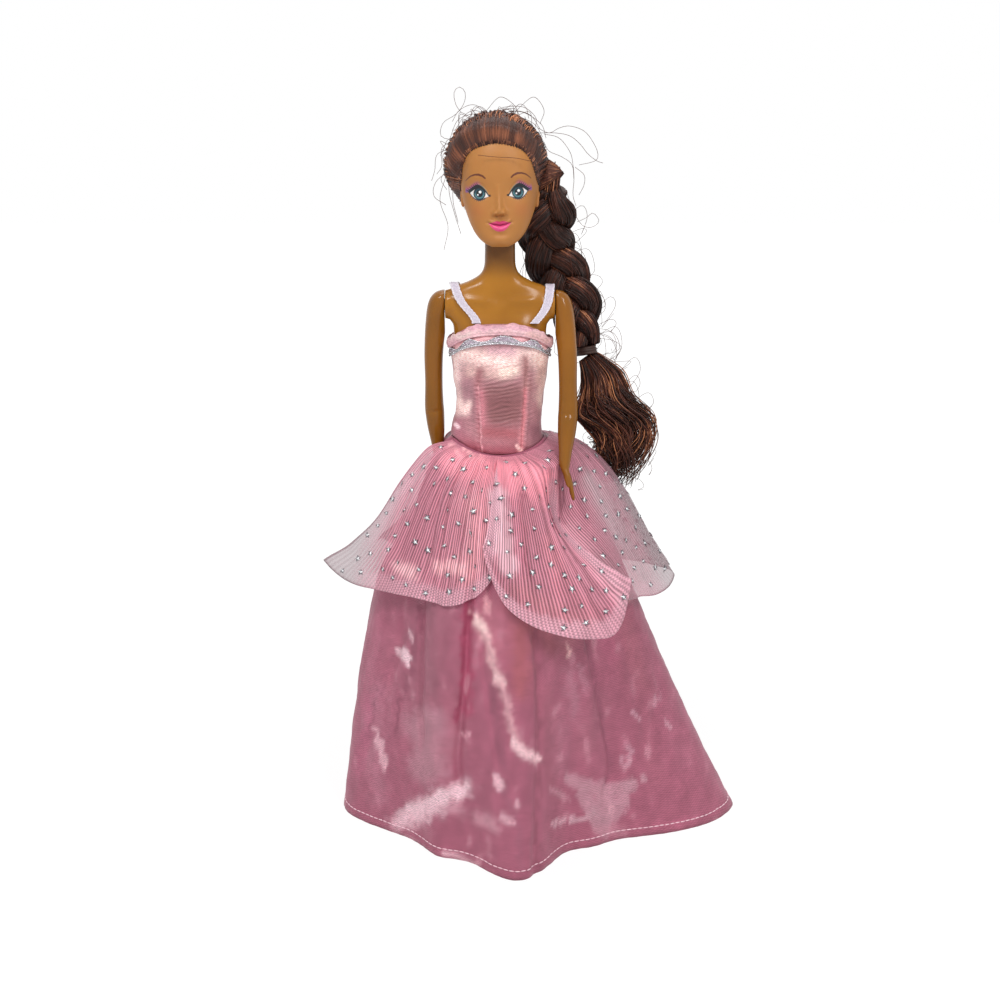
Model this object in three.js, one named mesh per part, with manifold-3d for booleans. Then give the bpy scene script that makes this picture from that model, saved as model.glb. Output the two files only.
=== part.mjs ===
import * as THREE from 'three';
import { mergeVertices } from 'three/addons/utils/BufferGeometryUtils.js';
import Module from 'manifold-3d';

const wasm = await Module();
wasm.setup();

// A dressed fashion doll, standing, in millimetres. +Z is up and the face looks towards -Y.
// Its own left and right are used in every name: the doll's left arm is on the +X side.

// Clearances and wall sizes
const touchGap = 0.3;
const clothGap = 0.6;
const turnGap = 0.4;
const clothThickness = 0.8;
const ribbonThickness = 0.5;
const organzaThickness = 0.4;

// Body heights and widths
const hipHeight = 150;
const torsoHeight = 97;
const torsoHalfWidth = 21.5;
const torsoDepth = 16;
const neckRadius = 5.9;
const torsoRoundness = 2.35;
const bustRise = 4.2;
const bustSpacing = 17;
const bustRadius = 7.5;
const bustLevelShare = 0.5825;
const crotchHalfWidth = 2.1;
const crotchHalfDepth = 7;
const crotchDrop = 9;
const crotchRise = 8;

// Each row: height, half width, front depth and back depth of one section of the torso
const torsoSectionShares = [
  [-0.02, 0.94, 0.74, 0.86],
  [0.02, 0.985, 0.76, 0.92],
  [0.06, 0.965, 0.775, 0.87],
  [0.11, 0.87, 0.77, 0.74],
  [0.17, 0.765, 0.73, 0.58],
  [0.25, 0.715, 0.66, 0.48],
  [0.35, 0.745, 0.64, 0.48],
  [0.46, 0.81, 0.66, 0.53],
  [0.57, 0.85, 0.64, 0.58],
  [0.65, 0.862, 0.6, 0.6],
  [0.675, 0.93, 0.56, 0.59],
  [0.7, 0.995, 0.52, 0.57],
  [0.755, 1, 0.45, 0.5],
  [0.785, 0.95, 0.4, 0.45],
  [0.808, 0.79, 0.37, 0.41],
  [0.825, 0.58, 0.35, 0.38],
  [0.85, 0.38, 0.345, 0.37],
  [0.88, 0.295, 0.355, 0.37],
  [0.93, 0.276, 0.369, 0.369],
  [1, 0.2744, 0.3687, 0.3687],
];

// Shoulders and arms
const shoulderLevelShare = 0.732;
const armHeight = 77;
const armHalfWidth = 4.1;
const leftArmSwing = 14;
const rightArmSwing = -9;
const shoulderBossRadius = 5.6;
const shoulderBossDepth = 7;
const shoulderBossRound = 0.8;
const shoulderPegRadius = 2.2;
const shoulderPegDepth = 6;
const shoulderPegReach = 4.4;
const pegFlangeRadius = 3.3;
const pegFlangeThickness = 1.4;
const fingerRadius = 0.75;
const fingerLength = 7.4;
const thumbLength = 5.2;
const palmHalfWidth = 3;
const palmHalfThickness = 1.55;
const palmHeight = 7.4;
const palmLeanShare = 0.3;
const handLevelShare = 0.93;

// Each row: distance down the arm, centre outwards, centre forwards, half width, half depth
const armSectionShares = [
  [-0.071, 0.1, 0, 0.4, 0.45],
  [-0.063, 0.18, 0, 0.72, 0.82],
  [-0.046, 0.36, 0, 0.92, 1.08],
  [-0.02, 0.56, 0, 1.02, 1.22],
  [0.026, 0.76, 0, 1.05, 1.26],
  [0.08, 0.92, 0, 1.02, 1.16],
  [0.15, 1.07, 0, 0.99, 1.05],
  [0.27, 1.25, 0, 0.92, 0.93],
  [0.42, 1.3, 0.02, 0.87, 0.9],
  [0.53, 1.32, 0.05, 0.93, 0.96],
  [0.58, 1.28, 0.1, 0.95, 0.98],
  [0.66, 1.18, 0.28, 0.86, 0.9],
  [0.75, 1.04, 0.52, 0.65, 0.76],
  [0.82, 0.96, 0.74, 0.52, 0.62],
  [0.835, 0.95, 0.78, 0.46, 0.6],
];

// Each row: distance down the palm, width
const palmShares = [[-0.12, 0.5], [0.1, 0.72], [0.4, 0.98], [0.75, 1], [1, 0.84]];

// Each row: place across the palm, length of one finger
const fingerShares = [[-0.72, 0.9], [-0.25, 1], [0.24, 0.95], [0.7, 0.76]];

// Each row: distance along a finger, width
const rodShares = [[0, 0.55], [0.12, 0.95], [0.6, 1], [0.9, 0.85], [1, 0.4]];

// Legs and feet
const legSpacing = 23;
const hipBallRadius = 9;
const hipPinRadius = 2;
const hipPinReach = 9;
const hipPinStart = 0.8;

// Each row: height, half width, centre forwards, half depth of one section of a leg
const legSectionShares = [
  [0.966, 0.84, 0, 0.84],
  [0.93, 0.97, 0, 0.97],
  [0.84, 0.88, 0.03, 0.9],
  [0.7, 0.74, 0.08, 0.78],
  [0.6, 0.64, 0.12, 0.67],
  [0.535, 0.6, 0.14, 0.64],
  [0.48, 0.55, 0.05, 0.6],
  [0.4, 0.56, -0.05, 0.63],
  [0.3, 0.47, -0.05, 0.52],
  [0.2, 0.36, 0, 0.4],
  [0.15, 0.34, 0.03, 0.4],
  [0.11, 0.36, 0.12, 0.6],
  [0.08, 0.38, 0.3, 0.75],
  [0.05, 0.42, 0.72, 0.68],
  [0.02, 0.45, 1.12, 0.62],
  [0, 0.4, 1.25, 0.5],
];

// Head
const headHeight = 44.2;
const headHalfWidth = 15;
const headHalfDepth = 14.5;
const chinDrop = 3.2;
const headRoundness = 2.15;
const noseRise = 2.6;
const noseWidth = 2.1;
const browRise = 0.7;
const eyeSpacing = 15.2;
const eyeRecess = 0.8;
const lipRise = 0.9;
const lowerLipLevel = 0.155;
const upperLipLevel = 0.195;
const noseLevel = 0.3;
const bridgeLevel = 0.4;
const eyeLevel = 0.45;
const browLevel = 0.57;
const knobRadius = 5.4;
const knobRise = 11;
const knobPostRadius = 3;
const knobRootRadius = 4.2;
const knobRootDepth = 9;
const neckSocketDepth = 4;
const earRadius = 3.2;
const earThicknessShare = 0.42;
const earWidthShare = 0.62;
const earTilt = 10;

// Each row: height above the chin, half width, front depth, back depth of one section
const headSectionShares = [
  [0, 0.22, 0.72, -0.55],
  [0.03, 0.4, 0.8, -0.3],
  [0.09, 0.59, 0.86, 0.12],
  [0.17, 0.73, 0.87, 0.42],
  [0.26, 0.84, 0.865, 0.68],
  [0.36, 0.935, 0.86, 0.86],
  [0.45, 0.985, 0.865, 0.96],
  [0.55, 1, 0.9, 1],
  [0.66, 0.985, 0.915, 1.01],
  [0.77, 0.91, 0.87, 0.97],
  [0.86, 0.77, 0.75, 0.86],
  [0.93, 0.58, 0.55, 0.67],
  [0.98, 0.33, 0.31, 0.39],
  [1, 0.09, 0.09, 0.12],
];

// Heights of the head's facets, closest together at the mouth, nose and eyes
const headLevelShares = [0, 0.025, 0.055, 0.09, 0.125, 0.155, 0.185, 0.215, 0.245, 0.275, 0.305,
  0.335, 0.37, 0.41, 0.45, 0.49, 0.53, 0.58, 0.64, 0.71, 0.78, 0.85, 0.91, 0.96, 0.99, 1];

// Hair
const hairTopRise = 5;
const hairHalfWidth = 20;
const hairHalfDepth = 21;
const hairHeight = 47.5;
const hairShiftShare = 0.03;
const hairlineHeight = 36.6;
const hairlineHalfWidth = 15.6;
const hairlineDepth = 3;
const braidStrandRadius = 5.3;
const braidSwing = 6.2;
const braidDepth = 3.3;
const braidPitch = 41;
const braidFlattenShare = 0.86;
const tieRadius = 4.4;
const tieThickness = 1;
const tailHalfWidth = 14;
const tailHalfDepth = 8;

// Each row: height up the hair, half width, front depth and back depth of one section
const hairSectionShares = [
  [0, 0.3, -0.43, 0.56],
  [0.08, 0.55, -0.43, 0.66],
  [0.18, 0.78, -0.3, 0.8],
  [0.3, 0.92, 0.02, 0.92],
  [0.42, 0.98, 0.2, 0.98],
  [0.55, 1, 0.42, 1],
  [0.68, 0.96, 0.61, 0.98],
  [0.78, 0.88, 0.64, 0.92],
  [0.87, 0.74, 0.58, 0.8],
  [0.94, 0.52, 0.42, 0.6],
  [0.985, 0.25, 0.22, 0.32],
  [1, 0.08, 0.06, 0.1],
];

// The line down the middle of the braid, from behind the ear to its tie: out, back and up from the chin
const braidRouteShares = [
  [0.52, 0.136, 0.525],
  [0.441, 0.238, 0.276],
  [0.407, 0.328, 0.027],
  [0.532, 0.373, -0.244],
  [0.679, 0.362, -0.561],
  [0.792, 0.328, -0.923],
];

// The line down the middle of the loose tail below the tie, from the chin as well
const tailRouteShares = [
  [0.808, 0.317, -1.025],
  [0.916, 0.29, -1.183],
  [1.052, 0.267, -1.466],
  [1.12, 0.26, -1.76],
  [1.154, 0.26, -1.986],
  [1.131, 0.26, -2.179],
];
const tailWidthShares = [0.26, 0.66, 0.95, 1, 0.76, 0.2];

// Gown
const seamLevelShare = 0.1856;
const seamDip = 5;
const necklineLevelShare = 0.666;
const armholeDrop = 6.5;
const backDrop = 6;
const bandHeight = 4;
const bandEndAngle = 22;
const trimHeight = 3.2;
const trimScallop = 1.7;
const trimScallops = 9;
const trimFacets = 7;
const trimEndAngle = -4;
const strapWidth = 3.4;
const strapFrontX = 11;
const strapTopX = 19.3;
const strapBackX = 11;
const strapFrontTilt = 9.5;
const strapBackTilt = 197;
const strapPivotLevelShare = 0.6495;
const closureHalfWidth = 4.5;
const tapeHeight = 26;
const waistEase = 2.6;
const waistEaseRise = 4;
const waistEaseSpread = 6.5;
const waistEaseAngle = 40;

// Skirt: radii at the waist seam and at the hem, and the folds that stand out from it
const skirtWaistHalfWidth = 18.4;
const skirtWaistHalfDepth = 14.2;
const hemRadius = 46;
const skirtFoldShares = [
  { angle: 2, spread: 25, rise: 1.261, growth: 1.5 },
  { angle: -82, spread: 16, rise: 0.278, growth: 0.8 },
  { angle: -40, spread: 9, rise: 0.07, growth: 1 },
  { angle: -122, spread: 9, rise: 0.057, growth: 0.9 },
  { angle: 178, spread: 24, rise: 0.522, growth: 0.85 },
  { angle: 142, spread: 11, rise: 0.152, growth: 0.8 },
  { angle: 110, spread: 12, rise: 0.196, growth: 0.8 },
  { angle: 75, spread: 12, rise: 0.174, growth: 0.8 },
  { angle: 42, spread: 11, rise: 0.174, growth: 0.9 },
];

// Each row: distance down the skirt, distance from the waist radius to the hem radius
const skirtProfileShares = [
  [0, 0],
  [0.045, 0.36],
  [0.12, 0.58],
  [0.25, 0.76],
  [0.4, 0.88],
  [0.6, 0.955],
  [0.8, 0.985],
  [1, 1],
];

// Heights of the skirt's facets, as distances down it
const skirtLevelShares = [0, 0.02, 0.05, 0.1, 0.17, 0.27, 0.4, 0.56, 0.73, 0.88, 1];

// The hollows that the hanging hands press into the gathers: degrees round the skirt and height up it
const handHollowAngle = 22;
const handHollowHeight = 20;

// Petals of the overskirt. Each edge row has an angle, a reach from the body and a height,
// the last two as shares of the hem's radius and of the seam's height.
const petalLift = 1.15;
const petalLayerLift = 1.2;
const petalEdgeShares = {
  peplum_petal_front_right: [
    [-176, 1.565, 0.693], [-168, 1.370, 0.658], [-158, 1.174, 0.652], [-139, 1.000, 0.655],
    [-120, 0.870, 0.646], [-106, 0.804, 0.667], [-96, 0.750, 0.708], [-89, 0.696, 0.768],
  ],
  peplum_petal_front_left: [
    [-102, 0.696, 0.821], [-96, 0.783, 0.738], [-86, 0.957, 0.661], [-70, 1.163, 0.616],
    [-50, 1.304, 0.592], [-42, 1.315, 0.613], [-30, 1.272, 0.696],
  ],
  peplum_petal_back_left: [
    [-16, 1.272, 0.622], [-7, 1.391, 0.608], [-1, 1.511, 0.618], [4, 1.587, 0.637],
    [16, 1.543, 0.625], [34, 1.391, 0.613], [58, 1.196, 0.613], [80, 1.109, 0.637],
    [100, 0.978, 0.690],
  ],
  peplum_petal_back_right: [
    [86, 1.000, 0.696], [98, 1.130, 0.637], [118, 1.239, 0.613], [134, 1.304, 0.625],
    [148, 1.304, 0.679],
  ],
};
const petals = [
  { name: 'peplum_petal_front_right', layer: 0, from: -160, fromLean: -16, to: -89, toLean: 0 },
  { name: 'peplum_petal_front_left', layer: 1, from: -92, fromLean: -8, to: -54, toLean: 24 },
  { name: 'peplum_petal_back_left', layer: 0, from: 10, fromLean: -26, to: 98, toLean: 0 },
  { name: 'peplum_petal_back_right', layer: 1, from: 88, fromLean: 0, to: 140, toLean: 12 },
];

// Each row: distance along a petal, share of its reach, share of its drop
const petalProfileShares = [
  [0, 0, 0],
  [0.2, 0.25, 0.06],
  [0.4, 0.5, 0.28],
  [0.7, 0.78, 0.68],
  [1, 1, 1],
];

// Numbers of facets
const torsoSides = 24;
const legSides = 14;
const armSides = 12;
const headSides = 36;
const skirtColumns = 54;
const petalRows = 7;
const petalColumnAngle = 6;
const smallSides = 6;
const braidSides = 7;

// Colours and finishes
const skin = { color: 0xa8702c, roughness: 0.35, metalness: 0 };
const faceVinyl = { color: 0xb87a3c, roughness: 0.6, metalness: 0 };
const hairFibre = { color: 0x4a2618, roughness: 0.45, metalness: 0 };
const pinkSatin = { color: 0xd67a9e, roughness: 0.4, metalness: 0 };
const whiteSatin = { color: 0xe6d8e8, roughness: 0.4, metalness: 0 };
const organza = { color: 0xe9a9c4, roughness: 0.6, metalness: 0 };
const silverLace = { color: 0xc9c4c8, roughness: 0.35, metalness: 0.7 };
const whiteNylon = { color: 0xe8e4e0, roughness: 0.7, metalness: 0 };
const pegPlastic = { color: 0x8a6a48, roughness: 0.5, metalness: 0 };

const neckTop = hipHeight + torsoHeight;
const chinHeight = neckTop - chinDrop;
const shoulderHeight = hipHeight + torsoHeight * shoulderLevelShare;
const bustHeight = hipHeight + torsoHeight * bustLevelShare;
const seamHeight = hipHeight + torsoHeight * seamLevelShare;
const necklineHeight = hipHeight + torsoHeight * necklineLevelShare;
const strapPivotHeight = hipHeight + torsoHeight * strapPivotLevelShare;
const turn = Math.PI * 2;
const quarter = turn / 4;
const half = turn / 2;

function radians(degrees) {
  return THREE.MathUtils.degToRad(degrees);
}

// Reads a column of a table of shares at a place, smoothly between its rows
function readShares(rows, place, column) {
  const last = rows.length - 1;
  if (place <= rows[0][0]) return rows[0][column];
  if (place >= rows[last][0]) return rows[last][column];
  let i = 0;
  while (place > rows[i + 1][0]) i += 1;
  const before = rows[Math.max(i - 1, 0)];
  const a = rows[i];
  const b = rows[i + 1];
  const after = rows[Math.min(i + 2, last)];
  const step = b[0] - a[0];
  const t = (place - a[0]) / step;
  const slopeA = (b[column] - before[column]) / (b[0] - before[0]) * step;
  const slopeB = (after[column] - a[column]) / (after[0] - a[0]) * step;
  return THREE.MathUtils.lerp(a[column], b[column], t * t * (3 - 2 * t))
    + t * (1 - t) * ((1 - t) * slopeA - t * slopeB);
}

function bump(distance, spread) {
  return Math.exp(-((distance / spread) ** 2));
}

// The difference between two angles in degrees, taken the short way round
function angleBetween(a, b) {
  return THREE.MathUtils.euclideanModulo(a - b + 180, 360) - 180;
}

function roundedPower(value, roundness) {
  return Math.sign(value) * Math.abs(value) ** (2 / roundness);
}

// Turns triangles the right way out, and makes them a geometry
function closedGeometry(points, triangles) {
  let volume = 0;
  for (let i = 0; i < triangles.length; i += 3) {
    const [a, b, c] = [points[triangles[i]], points[triangles[i + 1]], points[triangles[i + 2]]];
    volume += a.dot(b.clone().cross(c));
  }
  const order = volume < 0 ? triangles.slice().reverse() : triangles;
  const geometry = new THREE.BufferGeometry().setFromPoints(points);
  geometry.setIndex(order);
  return geometry;
}

// A solid through rings of points, closed at both ends
function loft(rings) {
  const sides = rings[0].length;
  const points = rings.flat();
  const triangles = [];
  for (let j = 0; j < rings.length - 1; j += 1) {
    for (let i = 0; i < sides; i += 1) {
      const next = (i + 1) % sides;
      const [a, b] = [j * sides + i, j * sides + next];
      triangles.push(a, b, b + sides, a, b + sides, a + sides);
    }
  }
  for (const [j, flip] of [[0, true], [rings.length - 1, false]]) {
    const middle = new THREE.Vector3();
    for (const point of rings[j]) middle.addScaledVector(point, 1 / sides);
    const centre = points.push(middle) - 1;
    for (let i = 0; i < sides; i += 1) {
      const [a, b] = [j * sides + i, j * sides + (i + 1) % sides];
      triangles.push(...(flip ? [centre, b, a] : [centre, a, b]));
    }
  }
  return closedGeometry(points, triangles);
}

// A solid sheet between two surfaces given on the same grid
function sheet(columns, rows, closedRound, outer, inner) {
  const across = closedRound ? columns : columns + 1;
  const points = [];
  for (const surface of [outer, inner]) {
    for (let j = 0; j <= rows; j += 1) {
      for (let i = 0; i < across; i += 1) points.push(surface(i / columns, j / rows));
    }
  }
  const layer = across * (rows + 1);
  const triangles = [];
  function quad(a, b, c, d) {
    triangles.push(a, b, c, a, c, d);
  }
  for (let j = 0; j < rows; j += 1) {
    for (let i = 0; i < columns; i += 1) {
      const a = j * across + i;
      const b = j * across + (i + 1) % across;
      quad(a, b, b + across, a + across);
      quad(layer + b, layer + a, layer + a + across, layer + b + across);
    }
  }
  for (let i = 0; i < columns; i += 1) {
    const next = (i + 1) % across;
    const end = rows * across;
    quad(next, i, layer + i, layer + next);
    quad(end + i, end + next, layer + end + next, layer + end + i);
  }
  if (!closedRound) {
    for (let j = 0; j < rows; j += 1) {
      const [a, b] = [j * across, (j + 1) * across];
      quad(a, b, layer + b, layer + a);
      const [c, d] = [a + columns, b + columns];
      quad(d, c, layer + c, layer + d);
    }
  }
  return closedGeometry(points, triangles);
}

function joined(geometry) {
  const bare = geometry.clone();
  bare.deleteAttribute('normal');
  bare.deleteAttribute('uv');
  const merged = mergeVertices(bare);
  return new wasm.Manifold(new wasm.Mesh({
    numProp: 3,
    vertProperties: new Float32Array(merged.attributes.position.array),
    triVerts: new Uint32Array(merged.index.array),
  }));
}

function asGeometry(solid) {
  const mesh = solid.getMesh();
  const geometry = new THREE.BufferGeometry();
  geometry.setAttribute('position', new THREE.BufferAttribute(mesh.vertProperties, mesh.numProp));
  geometry.setIndex(new THREE.BufferAttribute(mesh.triVerts, 1));
  return geometry;
}

const doll = new THREE.Group();

function addPiece(parent, name, geometry, finish) {
  const material = new THREE.MeshStandardMaterial({ ...finish, side: THREE.FrontSide });
  const mesh = new THREE.Mesh(geometry, material);
  mesh.name = name;
  parent.add(mesh);
  return mesh;
}

function bustAt(x, height) {
  return bustRise * bump(Math.abs(x) - bustSpacing / 2, bustRadius) * bump(height - bustHeight, bustRadius);
}

// One point of the torso's skin, moved outwards by an offset; angle runs round from the left arm
function torsoPoint(angle, height, offset) {
  const place = (height - hipHeight) / torsoHeight;
  const width = torsoHalfWidth * readShares(torsoSectionShares, place, 1);
  const facing = Math.sin(angle) < 0;
  const depth = torsoDepth * readShares(torsoSectionShares, place, facing ? 2 : 3);
  const x = width * roundedPower(Math.cos(angle), torsoRoundness);
  let y = depth * roundedPower(Math.sin(angle), torsoRoundness);
  if (facing) y -= bustAt(x, height) * Math.min(1, -Math.sin(angle) * 2);
  const normal = new THREE.Vector2(x / width ** 2, y / depth ** 2).normalize();
  return new THREE.Vector3(x + normal.x * offset, y + normal.y * offset, height);
}

// Heights of the torso's sections, with one more between rows where the gown lies close on it
function torsoLevels() {
  const levels = [];
  torsoSectionShares.forEach(([share], i) => {
    const covered = hipHeight + torsoHeight * share < necklineHeight;
    if (i > 3 && covered) levels.push((share + torsoSectionShares[i - 1][0]) / 2);
    levels.push(share);
  });
  return levels.map((share) => hipHeight + torsoHeight * share);
}

function ringAt(count, pointAt) {
  return Array.from({ length: count }, (_, i) => pointAt(i / count * turn));
}

// A turned piece along an axis: each pair is a distance along the axis and a radius
function turned(profile, sides) {
  const points = profile.map(([along, radius]) => new THREE.Vector2(radius, along));
  return new THREE.LatheGeometry(points, sides);
}

function shoulderPegShape(gap) {
  return turned([
    [-shoulderPegDepth - gap, 0],
    [-shoulderPegDepth - gap, pegFlangeRadius + gap],
    [-shoulderPegDepth + pegFlangeThickness + gap, pegFlangeRadius + gap],
    [-shoulderPegDepth + pegFlangeThickness + gap, shoulderPegRadius + gap],
    [shoulderPegReach + gap, shoulderPegRadius + gap],
    [shoulderPegReach + gap, 0],
  ], armSides).rotateZ(-quarter);
}

function placedShoulderPeg(side, gap) {
  const peg = shoulderPegShape(gap);
  if (side < 0) peg.rotateZ(half);
  return peg.translate(side * torsoHalfWidth, 0, shoulderHeight);
}

function hipPin(side, gap) {
  const pin = turned([
    [hipPinStart - gap, 0],
    [hipPinStart - gap, hipPinRadius + gap],
    [hipPinReach + gap, hipPinRadius + gap],
    [hipPinReach + gap, 0],
  ], armSides).rotateZ(-quarter);
  if (side < 0) pin.rotateZ(half);
  return pin.translate(0, 0, hipHeight);
}

// The knob on the neck that the head snaps over
function neckKnob(gap) {
  const root = neckTop - knobRootDepth;
  const centre = neckTop + knobRise - knobRadius;
  const dome = [];
  const steps = 6;
  const lowest = Math.asin(knobPostRadius / knobRadius) - quarter;
  for (let i = 0; i <= steps; i += 1) {
    const tilt = THREE.MathUtils.lerp(lowest, quarter, i / steps);
    const radius = (knobRadius + gap) * Math.cos(tilt);
    dome.push([centre + (knobRadius + gap) * Math.sin(tilt), i === steps ? 0 : radius]);
  }
  return turned([
    [root - gap, 0],
    [root - gap, knobRootRadius + gap],
    [root + knobPostRadius + gap, knobRootRadius + gap],
    [root + knobPostRadius + gap, knobPostRadius + gap],
    ...dome,
  ], armSides).rotateX(quarter);
}

function addTorso() {
  const rings = torsoLevels().map((height) => ringAt(torsoSides, (angle) => torsoPoint(angle, height, 0)));
  let body = joined(loft(rings));
  const crotch = new THREE.BoxGeometry(crotchHalfWidth * 2, crotchHalfDepth * 2, crotchDrop + crotchRise);
  crotch.translate(0, 0, hipHeight + (crotchRise - crotchDrop) / 2);
  body = body.add(joined(crotch));
  for (const side of [-1, 1]) {
    const boss = turned([
      [0, 0],
      [0, shoulderBossRadius],
      [shoulderBossDepth - shoulderBossRound, shoulderBossRadius],
      [shoulderBossDepth, shoulderBossRadius - shoulderBossRound],
      [shoulderBossDepth, 0],
    ], armSides * 2).rotateZ(-side * quarter);
    boss.translate(side * (torsoHalfWidth - shoulderBossDepth), 0, shoulderHeight);
    body = body.add(joined(boss));
    const socket = new THREE.SphereGeometry(hipBallRadius + turnGap, legSides, legSides / 2);
    socket.rotateX(quarter);
    socket.translate(side * legSpacing / 2, 0, hipHeight);
    body = body.subtract(joined(socket));
    body = body.subtract(joined(hipPin(side, touchGap)));
    body = body.subtract(joined(placedShoulderPeg(side, touchGap)));
  }
  body = body.subtract(joined(neckKnob(touchGap)));
  const reach = torsoHeight * 2;
  for (const [name, side] of [['torso_front', -1], ['torso_back', 1]]) {
    const keep = new THREE.BoxGeometry(reach, reach, reach * 2);
    keep.translate(0, side * (reach + touchGap) / 2, hipHeight);
    addPiece(doll, name, asGeometry(body.intersect(joined(keep))), skin);
  }
  addPiece(doll, 'neck_knob', neckKnob(0), pegPlastic);
}

// A finger: a rod that swells past its root and narrows to its tip
function taperedRod(start, end, startRadius, endRadius, sides) {
  const direction = end.clone().sub(start);
  const rod = rodShares.map(([along, widthShare]) => {
    const radius = THREE.MathUtils.lerp(startRadius, endRadius, along) * widthShare;
    const centre = start.clone().addScaledVector(direction, along);
    return ringAt(sides, (angle) => new THREE.Vector3(
      centre.x + radius * Math.cos(angle),
      centre.y + radius * Math.sin(angle),
      centre.z,
    ));
  });
  return loft(rod);
}

// An arm about its shoulder joint, x outwards from the torso's side
function armGeometry() {
  const rings = armSectionShares.map(([down, out, forward, width, depth]) => ringAt(armSides, (angle) => {
    const x = armHalfWidth * (out + width * Math.cos(angle));
    const y = armHalfWidth * (depth * Math.sin(angle) - forward);
    return new THREE.Vector3(x, y, -down * armHeight);
  }));
  const wrist = armSectionShares[armSectionShares.length - 1];
  const palmTop = -wrist[0] * armHeight;
  const [palmX, palmY] = [armHalfWidth * wrist[1], -armHalfWidth * wrist[2]];
  const palm = palmShares.map(([down, widthShare]) => ringAt(armSides, (angle) => new THREE.Vector3(
    palmX + palmHeight * down * palmLeanShare + palmHalfThickness * widthShare * Math.cos(angle),
    palmY + palmHalfWidth * widthShare * Math.sin(angle),
    palmTop - down * palmHeight,
  )));
  let solid = joined(loft(rings)).add(joined(loft(palm)));
  for (const [across, lengthShare] of fingerShares) {
    const root = new THREE.Vector3(palmX, palmY + across * palmHalfWidth, palmTop - palmHeight * 0.85);
    root.x += palmHeight * palmLeanShare * 0.85;
    const tip = root.clone();
    tip.z -= fingerLength * lengthShare;
    tip.x += fingerLength * lengthShare * palmLeanShare;
    solid = solid.add(joined(taperedRod(root, tip, fingerRadius, fingerRadius * 0.9, smallSides)));
  }
  const thumbRoot = new THREE.Vector3(palmX, palmY - palmHalfWidth * 0.7, palmTop - palmHeight * 0.3);
  const thumbTip = thumbRoot.clone();
  thumbTip.add(new THREE.Vector3(-fingerRadius, -fingerRadius * 1.6, -thumbLength));
  solid = solid.add(joined(taperedRod(thumbRoot, thumbTip, fingerRadius * 1.2, fingerRadius, smallSides)));
  const trim = new THREE.BoxGeometry(armHeight, armHeight, armHeight * 3);
  trim.translate(touchGap - armHeight / 2, 0, 0);
  solid = solid.subtract(joined(trim));
  return asGeometry(solid.subtract(joined(shoulderPegShape(touchGap))));
}

function addArms() {
  for (const [name, side, swing] of [['left', 1, leftArmSwing], ['right', -1, rightArmSwing]]) {
    const joint = new THREE.Group();
    joint.position.set(side * torsoHalfWidth, 0, shoulderHeight);
    joint.rotation.x = -radians(swing);
    const arm = armGeometry();
    if (side < 0) {
      arm.scale(-1, 1, 1);
      arm.setIndex(Array.from(arm.index.array).reverse());
    }
    addPiece(joint, `${name}_arm`, arm, skin);
    doll.add(joint);
    addPiece(doll, `${name}_shoulder_peg`, placedShoulderPeg(side, 0), pegPlastic);
  }
}

// A leg with a ball at the hip, an arched foot and a flat pad under the toes
function legGeometry(side) {
  const centre = side * legSpacing / 2;
  const rings = [];
  const ballShares = [0.92, 0.72, 0.48, 0.24, 0];
  for (const share of ballShares) {
    const radius = hipBallRadius * Math.cos(share * quarter);
    const height = hipHeight + hipBallRadius * Math.sin(share * quarter);
    rings.push(ringAt(legSides, (angle) => new THREE.Vector3(
      centre + radius * Math.cos(angle),
      radius * Math.sin(angle),
      height,
    )));
  }
  for (const [height, width, forward, depth] of legSectionShares) {
    rings.push(ringAt(legSides, (angle) => new THREE.Vector3(
      centre + hipBallRadius * width * Math.cos(angle),
      hipBallRadius * (depth * Math.sin(angle) - forward),
      hipHeight * height,
    )));
  }
  return asGeometry(joined(loft(rings)).subtract(joined(hipPin(side, touchGap))));
}

function addLegs() {
  for (const [name, side] of [['left', 1], ['right', -1]]) {
    addPiece(doll, `${name}_leg`, legGeometry(side), skin);
    addPiece(doll, `${name}_hip_pin`, hipPin(side, 0), pegPlastic);
  }
}

// One point of the head: skull, jaw, brow, eyes, nose and lips
function headPoint(angle, heightShare, offset) {
  const width = headHalfWidth * readShares(headSectionShares, heightShare, 1);
  const front = headHalfDepth * readShares(headSectionShares, heightShare, 2);
  const back = headHalfDepth * readShares(headSectionShares, heightShare, 3);
  const middle = (back - front) / 2;
  const depth = (back + front) / 2;
  const x = width * roundedPower(Math.cos(angle), headRoundness);
  let y = middle + depth * roundedPower(Math.sin(angle), headRoundness);
  const height = heightShare * headHeight;
  const forward = Math.max(0, -Math.sin(angle));
  const level = (share) => height - headHeight * share;
  const sideways = Math.abs(x) - eyeSpacing / 2;
  const rise = noseRise * bump(x, noseWidth) * bump(level(noseLevel), noseWidth)
    + noseRise * 0.4 * bump(x, noseWidth * 0.8) * bump(level(bridgeLevel), noseWidth * 1.6)
    + browRise * bump(sideways, eyeSpacing / 3) * bump(level(browLevel), browRise * 3)
    - eyeRecess * bump(sideways, eyeSpacing / 4) * bump(level(eyeLevel), eyeRecess * 4)
    + lipRise * bump(x, eyeSpacing / 4) * bump(level(upperLipLevel), lipRise * 1.3)
    + lipRise * 0.8 * bump(x, eyeSpacing / 5) * bump(level(lowerLipLevel), lipRise * 1.2);
  y -= rise * Math.min(1, forward * 2);
  const normal = new THREE.Vector2(x / width ** 2, (y - middle) / depth ** 2).normalize();
  return new THREE.Vector3(x + normal.x * offset, y + normal.y * offset, chinHeight + height);
}

// Angles round the head, closer together on the face than behind
function faceAngle(share) {
  const signed = share * 2 - 1;
  return -quarter + half * Math.sign(signed) * Math.abs(signed) ** 1.5;
}

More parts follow.
